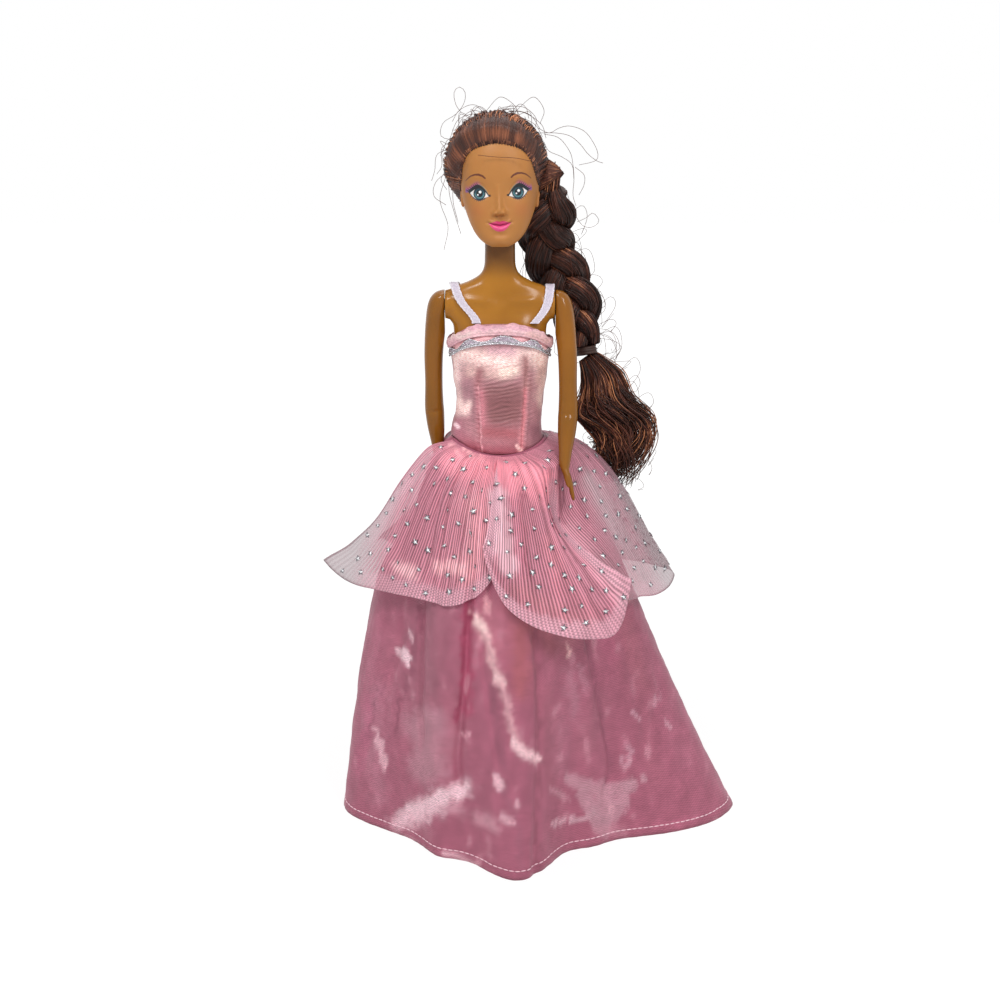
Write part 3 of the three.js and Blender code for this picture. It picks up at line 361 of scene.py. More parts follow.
def makePlastic(name, settings):
    # Injection-moulded ABS and hard vinyl: smooth, a clear soft gloss, slightly uneven colour
    material, tree, shader = newMaterial(name, {
        "IOR": 1.53, "Specular IOR Level": settings["shine"], "Subsurface Weight": settings["glow"],
        "Subsurface Radius": (1.0, 0.45, 0.2), "Subsurface Scale": 0.8 * mm})
    uneven = objectNoise(tree, settings["patch"], 3)
    colour = colourRamp(tree, uneven, [(0.3, settings["dark"]), (0.7, settings["light"])])
    # painted shadow: where a piece has the deeper tone its colour turns towards the deeper brown; only the torso has
    # it, on the neck under the chin
    withPaintedShadow = addNode(tree, "ShaderNodeMix", {0: attributeOf(tree, "deeper"), 6: colour,
                                               7: (*linear(settings["deeper"]), 1)}, data_type="RGBA")
    tree.links.new(withPaintedShadow.outputs[2], shader.inputs["Base Color"])
    gloss = mapped(tree, objectNoise(tree, settings["smear"], 4), settings["gloss"], settings["dull"])
    tree.links.new(gloss, shader.inputs["Roughness"])
    addBump(tree, shader, objectNoise(tree, settings["grain"], 2), settings["grainDepth"], 0.35)
    return material


bodyPlastic = makePlastic("moulded brown vinyl and ABS body", {
    "dark": "9c651e", "light": "b47828", "deeper": "5f3a1c", "patch": 24, "smear": 9, "gloss": 0.16, "dull": 0.27,
    "shine": 0.2, "glow": 0.06, "grain": 0.9, "grainDepth": 0.015})
armPlastic = makePlastic("moulded brown ABS arms", {
    "dark": "855413", "light": "985f1a", "deeper": "5f3a1c", "patch": 24, "smear": 9, "gloss": 0.12, "dull": 0.2,
    "shine": 0.24, "glow": 0.04, "grain": 0.9, "grainDepth": 0.015})
jointPlastic = makePlastic("moulded acetal joint pegs", {
    "dark": "7d5f3f", "light": "917150", "deeper": "5f3a1c", "patch": 6, "smear": 4, "gloss": 0.35, "dull": 0.5,
    "shine": 0.4, "glow": 0.0, "grain": 0.5, "grainDepth": 0.01})


def makeFaceVinyl():
    # Rotocast soft vinyl: matt and slightly translucent, with face paint in its own gloss; painted shade and a
    # painted lip highlight are laid in the same paint
    material, tree, shader = newMaterial("soft rotocast vinyl with face paint and painted light", {
        "IOR": 1.5, "Subsurface Weight": 0.12, "Subsurface Radius": (1.0, 0.5, 0.25), "Subsurface Scale": 0.7 * mm})
    uneven = mapped(tree, objectNoise(tree, 7, 4), 0.94, 1.05)
    tree.links.new(scaledColour(tree, attributeOf(tree, "paint", "Color"), uneven), shader.inputs["Base Color"])
    tree.links.new(mapped(tree, attributeOf(tree, "gloss"), 0.52, 0.16), shader.inputs["Roughness"])
    addBump(tree, shader, objectNoise(tree, 0.35, 2), 0.012, 0.4)
    return material


def makeHair(name, dark, light, sheen, combed):
    # Extruded nylon fibre: thin round threads, dark brown, with a warm painted sheen where its tone is high.
    # A combed surface also shows separate threads, along its UV map in millimetres.
    material, tree, shader = newMaterial(name, {"Roughness": 0.36, "IOR": 1.53, "Specular IOR Level": 0.3})
    if combed:
        streak = uvNoise(tree, "comb", 3.2, 4.0, 0.65, (1, 0.045, 1))
        addBump(tree, shader, streak, 0.35, 0.9)
    else:
        streak = objectNoise(tree, 1.6, 4, 0.6, (1, 1, 0.35))
    streaked = calculate(tree, "MULTIPLY_ADD", streak, 0.9 if combed else 0.5, -0.18)
    tone = calculate(tree, "ADD", attributeOf(tree, "tone"), streaked)
    tree.links.new(colourRamp(tree, tone, [(0.18, dark), (0.6, light), (0.95, sheen)]), shader.inputs["Base Color"])
    return material


hairFibre = makeHair("nylon doll hair", "25120d", "643628", "d08a60", False)
# The combed mass is hair too, but coloured darker than the loose strands, as painted shade in the gaps between them
hairUnder = makeHair("nylon doll hair, combed mass", "1d0e0a", "4c281c", "955a3f", True)


def clothWeave(tree, threadsU, threadsV):
    # crossing threads on the cloth's UV map in millimetres: threadsU and threadsV are their spacings
    uv = addNode(tree, "ShaderNodeUVMap", uv_map="cloth").outputs["UV"]
    parts = addNode(tree, "ShaderNodeSeparateXYZ", {"Vector": uv})
    waves = [calculate(tree, "SINE", calculate(tree, "MULTIPLY", parts.outputs[axisName], turn / spacing))
             for axisName, spacing in (("X", threadsU), ("Y", threadsV))]
    return calculate(tree, "MULTIPLY_ADD", calculate(tree, "MULTIPLY", *waves), 0.5, 0.5)


def makeSatin(name, settings):
    # Polyester satin: its tint, which holds painted highlights and shade, crossed by the weave, long slubs and a
    # cloudy lighter and darker mottle
    material, tree, shader = newMaterial(name, {
        "Roughness": settings["rough"], "IOR": 1.5, "Specular IOR Level": settings["shine"], "Anisotropic": 0.4,
        "Sheen Weight": settings["sheen"], "Sheen Roughness": 0.4, "Sheen Tint": (*linear(settings["pale"]), 1)})
    weave = clothWeave(tree, settings["warp"], settings["weft"])
    slub = uvNoise(tree, "cloth", 1 / settings["slub"], 3.0, 0.6, (0.14, 1, 1))
    cloudy = objectNoise(tree, settings["patch"], 4, 0.6)
    shade = calculate(tree, "MULTIPLY_ADD", weave, settings["weaveMark"], 1 - settings["weaveMark"] / 2)
    for source, mark in ((slub, settings["slubMark"]), (cloudy, settings["cloudMark"])):
        shade = calculate(tree, "ADD", shade, calculate(tree, "MULTIPLY_ADD", source, mark, -mark / 2))
    # fine sparkle, stronger where the tint is pale
    tint = attributeOf(tree, "tint", "Color")
    pale = addNode(tree, "ShaderNodeRGBToBW", {"Color": tint}).outputs[0]
    speckle = calculate(tree, "SUBTRACT", objectNoise(tree, settings["speckle"], 2, 0.7, (0.6, 0.6, 1.2)), 0.5)
    speckle = calculate(tree, "MULTIPLY", speckle, calculate(tree, "MULTIPLY_ADD", pale, 1.8, 0.25))
    tree.links.new(scaledColour(tree, tint, calculate(tree, "ADD", shade, speckle)), shader.inputs["Base Color"])
    addBump(tree, shader, calculate(tree, "ADD", slub, weave), settings["depth"], 0.4)
    return material


# The real threads are finer than this: they are drawn as wide as they show
pinkSatin = makeSatin("pink polyester satin", {
    "pale": "f2b4c0", "patch": 5, "slub": 0.7, "warp": 1.3, "weft": 1.1, "weaveMark": 0.42, "slubMark": 0.4,
    "cloudMark": 0.3, "speckle": 0.7, "rough": 0.45, "shine": 0.3, "sheen": 0.12, "depth": 0.04})
bodiceSatin = makeSatin("pink polyester satin of the bodice", {
    "pale": "f8d3d4", "patch": 4, "slub": 0.7, "warp": 1.0, "weft": 0.85, "weaveMark": 0.4, "slubMark": 0.4,
    "cloudMark": 0.25, "speckle": 0.6, "rough": 0.42, "shine": 0.4, "sheen": 0.1, "depth": 0.04})
bandSatin = makeSatin("pale pink satin band", {
    "pale": "f7d3da", "patch": 2, "slub": 0.6, "warp": 0.6, "weft": 0.5, "weaveMark": 0.12, "slubMark": 0.35,
    "cloudMark": 0.3, "speckle": 0.6, "rough": 0.45, "shine": 0.3, "sheen": 0.1, "depth": 0.04})
ribbonSatin = makeSatin("white satin ribbon", {
    "pale": "ffffff", "patch": 6, "slub": 0.5, "warp": 0.6, "weft": 0.35, "weaveMark": 0.08, "slubMark": 0.12,
    "cloudMark": 0.1, "speckle": 0.3, "rough": 0.4, "shine": 0.3, "sheen": 0.1, "depth": 0.03})


def makeOrganza():
    # Crinkled nylon organza: a see-through net whose heat-set ribs are denser than the gaps between them
    material, tree, shader = newMaterial("crinkled nylon organza", {"Roughness": 0.5, "Specular IOR Level": 0.3})
    net, border, over = (attributeOf(tree, name) for name in ("net", "border", "over"))
    bent = uvNoise(tree, "cloth", 0.16, 2.0, 0.5)
    uv = addNode(tree, "ShaderNodeUVMap", uv_map="cloth").outputs["UV"]
    along = addNode(tree, "ShaderNodeSeparateXYZ", {"Vector": uv}).outputs["X"]
    place = calculate(tree, "MULTIPLY_ADD", bent, 2.6, calculate(tree, "MULTIPLY", along, turn / 1.05))
    rib = mapped(tree, calculate(tree, "SINE", place), 0.0, 1.0, -0.75, 0.75)
    holes = mapped(tree, clothWeave(tree, 1.5, 1.15), 0.86, 0.5, 0.3, 0.7)
    # ribbed where it lies over the skirt, an open mesh at the hem, and thinner where it hangs free
    cover = blendOf(tree, net, mapped(tree, rib, 0.4, 0.86), holes)
    cover = blendOf(tree, over, mapped(tree, rib, 0.38, 0.46), cover)
    tree.links.new(calculate(tree, "MULTIPLY_ADD", border, 0.35, cover, use_clamp=True), shader.inputs["Alpha"])
    level = blendOf(tree, over, 1.0, mapped(tree, rib, 0.84, 1.36))
    tree.links.new(scaledColour(tree, attributeOf(tree, "tint", "Color"), level), shader.inputs["Base Color"])
    addBump(tree, shader, rib, 0.12, 0.3)
    return material


organza = makeOrganza()


def makeGrained(name, grain, detail, stops, inputs):
    # a surface whose colour changes over its own grain in millimetres
    material, tree, shader = newMaterial(name, inputs)
    tree.links.new(colourRamp(tree, objectNoise(tree, grain, detail), stops), shader.inputs["Base Color"])
    return material


# Metallised film glitter and lace thread: bright silver grey
silver = makeGrained("silver metallised thread and glitter", 0.6, 2, [(0.3, "9d9a9f"), (0.7, "e4e2e6")],
                     {"Metallic": 0.9, "Roughness": 0.24})
# Lace ground: grey-lilac thread with silver laid over it
silverNet = makeGrained("silver lace ground", 0.7, 3, [(0.35, "b49aae"), (0.6, "cfc3cf"), (0.8, "ece6ea")],
                        {"Metallic": 0.35, "Roughness": 0.38})
# Spun polyester and nylon: matt with a faint twist
paleThread, darkThread, whiteTape, elastic = (
    makeGrained(name, 0.4, 2, [(0.3, dark), (0.7, pale)], {"Roughness": 0.6}) for name, dark, pale in (
        ("pale pink sewing thread", "eebccb", "f8dbe2"), ("dark hair plugs", "1c0d0a", "38201a"),
        ("white nylon hook and loop tape", "d8d4d0", "f0ede9"), ("brown hair elastic", "2c1a15", "44291f")))


def makeStarFilm():
    # Hot-glued metal film stars: dark grey arms, with a painted glint that makes the dome white
    material, tree, shader = newMaterial("silver film stars", {"Metallic": 0.3, "Roughness": 0.3})
    colour = colourRamp(tree, attributeOf(tree, "spark"), [(0.1, "38343e"), (0.45, "8d8992"), (0.85, "ffffff")])
    tree.links.new(colour, shader.inputs["Base Color"])
    return material


starFilm = makeStarFilm()

body = {
    "hip": 150, "height": 97, "halfWidth": 21.5, "depth": 16, "round": 2.35, "neckTop": 247,
    "bustRise": 4.2, "bustSpacing": 17, "bustRadius": 7.5, "bustHeight": 206.5025,
    "columns": 160, "rows": 170,
}
# Where the arms turn: how far out and how high
shoulderOut, shoulderUp = 21.5, 221.004
torsoRows = [
    [-0.02, 0.94, 0.74, 0.86], [0.02, 0.985, 0.76, 0.92], [0.06, 0.965, 0.775, 0.87],
    [0.11, 0.87, 0.77, 0.74], [0.17, 0.765, 0.73, 0.58], [0.25, 0.715, 0.66, 0.48],
    [0.35, 0.745, 0.64, 0.48], [0.46, 0.81, 0.66, 0.53], [0.57, 0.85, 0.64, 0.58],
    [0.65, 0.862, 0.6, 0.6], [0.675, 0.93, 0.56, 0.59], [0.7, 0.995, 0.52, 0.57],
    [0.755, 1, 0.45, 0.5], [0.785, 0.95, 0.4, 0.45], [0.808, 0.79, 0.37, 0.41],
    [0.825, 0.58, 0.35, 0.38], [0.85, 0.38, 0.345, 0.37], [0.88, 0.295, 0.355, 0.37],
    [0.93, 0.276, 0.369, 0.369], [1, 0.2744, 0.3687, 0.3687],
]


def torsoSize(height, facing):
    place = (height - body["hip"]) / body["height"]
    depth = np.where(facing, readTable(torsoRows, place, 2), readTable(torsoRows, place, 3))
    return body["halfWidth"] * readTable(torsoRows, place, 1), body["depth"] * depth


def torsoPoint(angle, height, offset=0.0):
    angle, height = np.broadcast_arrays(np.asarray(angle, float), np.asarray(height, float))
    facing = np.sin(angle) < 0
    width, depth = torsoSize(height, facing)
    x = width * roundPower(np.cos(angle), body["round"])
    y = depth * roundPower(np.sin(angle), body["round"])
    breast = bump(np.abs(x) - body["bustSpacing"] / 2, body["bustRadius"]) \
        * bump(height - body["bustHeight"], body["bustRadius"])
    y = y - np.where(facing, body["bustRise"] * breast * np.minimum(1, -np.sin(angle) * 2), 0)
    normal = np.stack([x / width ** 2, y / depth ** 2], -1)
    normal /= np.linalg.norm(normal, axis=-1, keepdims=True)
    return np.stack([x + normal[..., 0] * offset, y + normal[..., 1] * offset, height], -1)


def buildTorso():
    # Two moulded halves that meet at the sides, with a hairline seam between them
    seam = 0.12
    for name, sign, node in (("torsoSkinFront", -1, "torso_front"), ("torsoSkinBack", 1, "torso_back")):
        angles = np.linspace(0, half, body["columns"] // 2 + 1) * sign
        heights = np.linspace(body["hip"] - 2, body["neckTop"], body["rows"])
        rim = torsoPoint(angles[None], heights[:, None])
        # the shoulders: round bosses that the arms turn against, blended into the chest
        out = np.hypot(rim[..., 0], rim[..., 1]) + 1e-6
        deep = np.sqrt(np.maximum(0, 5.6 ** 2 - (rim[..., 2] - shoulderUp) ** 2))
        boss = np.minimum(shoulderOut * out / (np.abs(rim[..., 0]) + 1e-6), deep * out / (np.abs(rim[..., 1]) + 1e-6))
        grown = (out + boss + np.sqrt((out - boss) ** 2 + 1.2)) / 2
        rim[..., :2] *= np.where(deep > 0, np.minimum(grown, 21.48 * out / (np.abs(rim[..., 0]) + 1e-6)) / out,
                                 1)[..., None]
        rim[..., 1] = sign * np.maximum(sign * rim[..., 1], seam)
        # collar bones, the hollow of the neck and the shoulder blades
        x, z = rim[..., 0], rim[..., 2]
        if sign < 0:
            bone = 0.55 * bump(z - (222.5 + 0.06 * np.abs(x)), 1.6) * smoothstep(3, 6, np.abs(x)) \
                * (1 - smoothstep(12, 17, np.abs(x)))
            hollow = 0.7 * bump(np.hypot(x, z - 223.5), 2.2)
            rim[..., 1] -= (bone - hollow) * (np.sin(np.abs(angles))[None] > 0.2)
        else:
            blade = 0.8 * bump(np.abs(x) - 10, 5) * bump(z - 210, 9)
            spine = 0.8 * bump(x, 2.5) * smoothstep(165, 185, z) * (1 - smoothstep(212, 224, z))
            rim[..., 1] += (blade - spine) * (np.sin(np.abs(angles))[None] > 0.2)
        columns = 24
        wall = np.linspace(rim[:, -1], rim[:, 0], columns)[1:-1].swapaxes(0, 1)
        parts = [loft(np.concatenate([rim, wall], 1))]
        parts.append(crotchBlock(sign))
        points, faces = joinParts(parts)
        mesh = newMesh(name, points, faces)
        # painted shadow of the chin on the upper neck
        addTone(mesh, "deeper", 0.8 * smoothstep(230, 240, points[:, 2]))
        piece = addPiece(name, mesh, bodyPlastic)
        placePiece(piece, "torso", node)


def crotchBlock(sign):
    # the web between the hip sockets, rounded at its lower edge
    rings = []
    for z, shrink in ((141.2, 0.5), (141.8, 0.85), (143, 1.0), (158, 1.0)):
        x, y = 2.1 * shrink, 7.0 * shrink
        near = sign * 0.12
        rings.append([[-x, near, z], [x, near, z], [x, sign * y * 0.9, z], [x * 0.6, sign * y, z],
                      [-x * 0.6, sign * y, z], [-x, sign * y * 0.9, z]])
    return loft(rings)


buildTorso()

arm = {"height": 77, "halfWidth": 4.1, "swing": {"left": 14, "right": -9}, "columns": 56, "rows": 190}
armRows = [
    [-0.071, 0.1, 0, 0.4, 0.45], [-0.063, 0.18, 0, 0.72, 0.82], [-0.046, 0.36, 0, 0.92, 1.08],
    [-0.02, 0.56, 0, 1.02, 1.22], [0.026, 0.76, 0, 1.05, 1.26], [0.08, 0.92, 0, 1.02, 1.16],
    [0.15, 1.07, 0, 0.99, 1.05], [0.27, 1.25, 0, 0.92, 0.93], [0.42, 1.3, 0.02, 0.87, 0.9],
    [0.53, 1.32, 0.05, 0.93, 0.96], [0.58, 1.28, 0.1, 0.95, 0.98], [0.66, 1.18, 0.28, 0.86, 0.9],
    [0.75, 1.04, 0.52, 0.65, 0.76], [0.82, 0.96, 0.74, 0.52, 0.62], [0.845, 1.0, 0.78, 0.4, 0.58],
    [0.8734, 1.17, 0.78, 0.37, 0.72], [0.907, 1.356, 0.78, 0.378, 0.73], [0.931, 1.49, 0.78, 0.32, 0.61],
    [0.938, 1.53, 0.78, 0.2, 0.5],
]


def fingerTube(root, tip, radius, bend):
    # a finger with soft knuckles, a nail bed and a round end
    steps, sides = 22, 14
    t = np.linspace(0, 1, steps)
    line = root + (tip - root) * t[:, None]
    line = line + np.array([-1, 0, 0]) * (bend * np.sin(t * half * 0.9) * -0.35 + bend * t ** 2)[:, None]
    width = radius * (1 + 0.1 * bump(t - 0.42, 0.1) + 0.06 * bump(t - 0.7, 0.08)) * mix(1.06, 0.8, t)
    width *= np.sqrt(np.clip(1 - np.clip((t - 0.86) / 0.14, 0, 0.995) ** 2, 0, 1))
    a = anglesRound(sides)
    ring = np.stack([np.cos(a), np.sin(a), 0 * a], -1)
    rings = line[:, None] + ring[None] * width[:, None, None]
    return loft(rings)


def buildArm(side, name):
    angles = anglesRound(arm["columns"])
    down = np.concatenate([np.linspace(-0.071, -0.04, 24), np.linspace(-0.035, 0.938, arm["rows"])])
    w = arm["halfWidth"]
    out, forward = readTable(armRows, down, 1), readTable(armRows, down, 2)
    wide, deep = readTable(armRows, down, 3), readTable(armRows, down, 4)
    x = w * (out[:, None] + wide[:, None] * np.cos(angles)[None])
    y = w * (deep[:, None] * np.sin(angles)[None] - forward[:, None])
    # the inner side of the elbow is creased and its point stands out behind
    crease = 0.3 * bump(down - 0.565, 0.014)[:, None] * np.clip(-np.sin(angles), 0, 1)[None]
    elbow = 0.5 * bump(down - 0.575, 0.03)[:, None] * np.clip(np.sin(angles), 0, 1)[None]
    y = y + crease + elbow
    x = np.maximum(x, 0.3)
    z = np.broadcast_to(-down[:, None] * arm["height"], x.shape)
    parts = [loft(np.stack([x, y, z], -1))]
    for across, share, bend in ((-0.72, 0.9, 0.3), (-0.25, 1.0, 0.4), (0.24, 0.95, 0.5), (0.7, 0.76, 0.6)):
        root = np.array([5.58, -3.2 + across * 2.7, -0.9167 * arm["height"] + 1.2])
        tip = root + np.array([2.2 * share, across * 0.5, -7.9 * share])
        parts.append(fingerTube(root, tip, 0.78, bend))
    thumbRoot = np.array([4.35, -4.9, -66.0])
    parts.append(fingerTube(thumbRoot, thumbRoot + np.array([0.95, -0.75, -6.2]), 0.85, -0.3))
    points, faces = joinParts(parts)
    swing = math.radians(arm["swing"][name])
    y, z = points[:, 1].copy(), points[:, 2].copy()
    points[:, 1] = y * math.cos(swing) + z * math.sin(swing)
    points[:, 2] = -y * math.sin(swing) + z * math.cos(swing)
    points[:, 0] *= side
    if side < 0:
        faces = [f[:, ::-1] for f in faces]
    points += np.array([side * shoulderOut, 0, shoulderUp])
    piece = addPiece(f"{name}ArmSkin", newMesh(f"{name}ArmSkin", points, faces), armPlastic)
    placePiece(piece, f"{name}_arm", f"{name}_arm")


buildArm(1, "left")
buildArm(-1, "right")

leg = {"spacing": 23, "ball": 9.0, "hip": 150, "columns": 48}
legRows = [
    [0, 0.42, 1.25, 0.5], [0.006, 0.44, 1.22, 0.56], [0.02, 0.45, 1.12, 0.62], [0.05, 0.42, 0.72, 0.68],
    [0.08, 0.38, 0.3, 0.75], [0.11, 0.36, 0.12, 0.6], [0.15, 0.34, 0.03, 0.4], [0.2, 0.36, 0, 0.4],
    [0.3, 0.47, -0.05, 0.52], [0.4, 0.56, -0.05, 0.63], [0.48, 0.55, 0.05, 0.6], [0.535, 0.6, 0.14, 0.64],
    [0.6, 0.64, 0.12, 0.67], [0.7, 0.74, 0.08, 0.78], [0.84, 0.88, 0.03, 0.9], [0.93, 0.97, 0, 0.97],
    [0.966, 0.84, 0, 0.84], [1.0, 1.0, 0, 1.0],
]


def buildLeg(side, name):
    angles = anglesRound(leg["columns"])
    levels = np.concatenate([np.linspace(0, 0.04, 12), np.linspace(0.045, 0.955, 110), np.linspace(0.96, 1, 14)])
    rings = []
    for level in levels:
        width, forward, deep = (readTable(legRows, level, k) for k in (1, 2, 3))
        knee = 0.5 * bump(level - 0.52, 0.02) * np.clip(-np.sin(angles), 0, 1)
        rings.append(np.stack([
            side * leg["spacing"] / 2 + leg["ball"] * width * np.cos(angles),
            leg["ball"] * (deep * np.sin(angles) - forward) - knee,
            np.full(len(angles), leg["hip"] * level)], -1))
    for k in range(1, 15):
        tilt = k / 15 * quarter
        rings.append(np.stack([
            side * leg["spacing"] / 2 + leg["ball"] * math.cos(tilt) * np.cos(angles),
            leg["ball"] * math.cos(tilt) * np.sin(angles),
            np.full(len(angles), leg["hip"] + leg["ball"] * math.sin(tilt))], -1))
    points, faces = loft(rings)
    piece = addPiece(f"{name}LegSkin", newMesh(f"{name}LegSkin", points, faces), bodyPlastic)
    placePiece(piece, f"{name}_leg", f"{name}_leg")


buildLeg(1, "left")
buildLeg(-1, "right")
print("body done")


head = {
    "chin": 243.8, "height": 44.2, "halfWidth": 15, "halfDepth": 14.5, "round": 2.15,
    "roll": 2.2, "middle": (-0.48, 263.75), "eyeOut": 7.33,
    "fineStep": 0.135, "coarseStep": 0.6, "ear": (3.2, 0.42, 0.62),
}
headRows = [
    [0, 0.22, 0.72, -0.55], [0.03, 0.4, 0.8, -0.3], [0.09, 0.59, 0.86, 0.12], [0.17, 0.73, 0.87, 0.42],
    [0.26, 0.84, 0.865, 0.68], [0.36, 0.935, 0.86, 0.86], [0.45, 0.985, 0.865, 0.96], [0.55, 1, 0.9, 1],
    [0.66, 0.985, 0.915, 1.01], [0.77, 0.91, 0.87, 0.97], [0.86, 0.77, 0.75, 0.86], [0.93, 0.58, 0.55, 0.67],
    [0.98, 0.33, 0.31, 0.39], [1, 0.09, 0.09, 0.12],
]
# The middle line of the nose: place up the face, height, half width
noseRows = [
    [-9.2, 0, 1.6], [-8.6, 0.35, 1.8], [-8.15, 1.3, 2.05], [-7.4, 2.2, 2.15], [-6.6, 2.5, 2.0],
    [-5.6, 2.35, 1.55], [-4.2, 1.8, 1.25], [-2.5, 1.2, 1.15], [-0.5, 0.7, 1.2], [1.5, 0.35, 1.5], [3.5, 0, 2],
]
upperLid = [[-3.6, -1.25], [-2.6, 0.15], [-1.4, 1.5], [0.2, 2.25], [1.6, 1.9], [2.8, 1.15], [3.75, 0.45]]
lowerLid = [[-3.6, -1.25], [-2.4, -1.7], [-1.0, -2.25], [0.2, -2.45], [1.5, -2.0], [2.7, -0.95], [3.75, 0.45]]
upperLip = [[0, -10.62], [1.1, -10.3], [2.4, -10.62], [3.6, -11.02], [4.15, -11.15]]
lowerLip = [[0, -14.2], [1.3, -14.0], [2.6, -13.15], [3.5, -12.1], [4.15, -11.2]]
browLine = [(4.9, 5.35), (5.8, 6.15), (7.2, 6.72), (8.7, 6.78), (10.3, 6.3), (11.5, 5.45), (12.3, 4.7)]


def faceCoordinates(x, z):
    roll = math.radians(head["roll"])
    dx, dz = x - head["middle"][0], z - head["middle"][1]
    return dx * math.cos(roll) + dz * math.sin(roll), dz * math.cos(roll) - dx * math.sin(roll)


def mouthLine(u):
    return -11.8 + 0.047 * u ** 2 - 0.16 * bump(u, 0.8)


def sculptedRise(u, w):
    side = np.abs(u)
    s = side - head["eyeOut"]
    rise = readTable(noseRows, w, 1) * bump(u, readTable(noseRows, w, 2))
    rise += 1.1 * bump(side - 1.8, 0.75) * bump(w + 7.4, 0.85)
    rise -= 0.75 * bump(side - 1.05, 0.5) * bump(w + 8.3, 0.36)
    rise -= 1.0 * bump(np.hypot(s / 4.2, (w - 0.4) / 3.1), 1)
    rise += 0.85 * bump(np.hypot(s / 3.3, w / 2.5), 1)
    lid = w - readTable(upperLid, s, 1)
    inEye = smoothstep(-4.4, -3.2, s) * (1 - smoothstep(3.4, 4.6, s))
    rise += 0.16 * bump(lid - 0.25, 0.35) * inEye
    rise -= 0.16 * bump(lid - 1.5, 0.35) * inEye
    rise -= 0.1 * bump(w - readTable(lowerLid, s, 1) + 0.3, 0.3) * inEye
    rise += 0.45 * bump(side - 7.6, 4.6) * bump(w - 5.4, 2.2)
    rise -= 0.25 * bump(u, 0.65) * bump(w + 9.6, 0.9)
    mouth = np.clip(1 - (side / 4.5) ** 2, 0, 1)
    line = mouthLine(u)
    rise += 0.75 * mouth * bump(w - (line + 0.75), 0.62)
    rise += 0.95 * bump(u, 2.9) * bump(w - (line - 1.25), 0.95)
    rise -= 0.5 * np.clip(1 - (side / 4.8) ** 4, 0, 1) * bump(w - line, 0.24)
    rise -= 0.28 * bump(np.hypot(side - 4.7, w + 10.9), 0.6)
    rise -= 0.5 * bump(u, 2.6) * bump(w + 15.5, 0.9)
    rise += 0.95 * bump(u, 3.6) * bump(w + 17.9, 2.4)
    rise += 0.6 * bump(side - 8.4, 4) * bump(w + 5.4, 4.2)
    return rise


def sectionAt(form, rows, level):
    # half width, middle and half depth of the head or the hair at a level
    width = form["halfWidth"] * readTable(rows, level, 1)
    front, back = (form["halfDepth"] * readTable(rows, level, column) for column in (2, 3))
    return width, (back - front) / 2, (back + front) / 2


def headPoint(angle, level):
    width, middle, depth = sectionAt(head, headRows, level)
    x = width * roundPower(np.cos(angle), head["round"])
    y = middle + depth * roundPower(np.sin(angle), head["round"])
    z = head["chin"] + head["height"] * level + 0 * x
    return x, y, z


def nearLine(u, w, line):
    # distance to a drawn line, and how far along it from 0 to 1
    line = np.asarray(line, float)
    best, along = np.full(u.shape, 1e9), np.zeros(u.shape)
    for k in range(len(line) - 1):
        a, d = line[k], line[k + 1] - line[k]
        t = np.clip(((u - a[0]) * d[0] + (w - a[1]) * d[1]) / (d @ d), 0, 1)
        gap = np.hypot(u - a[0] - d[0] * t, w - a[1] - d[1] * t)
        along = np.where(gap < best, (k + t) / (len(line) - 1), along)
        best = np.minimum(best, gap)
    return best, along


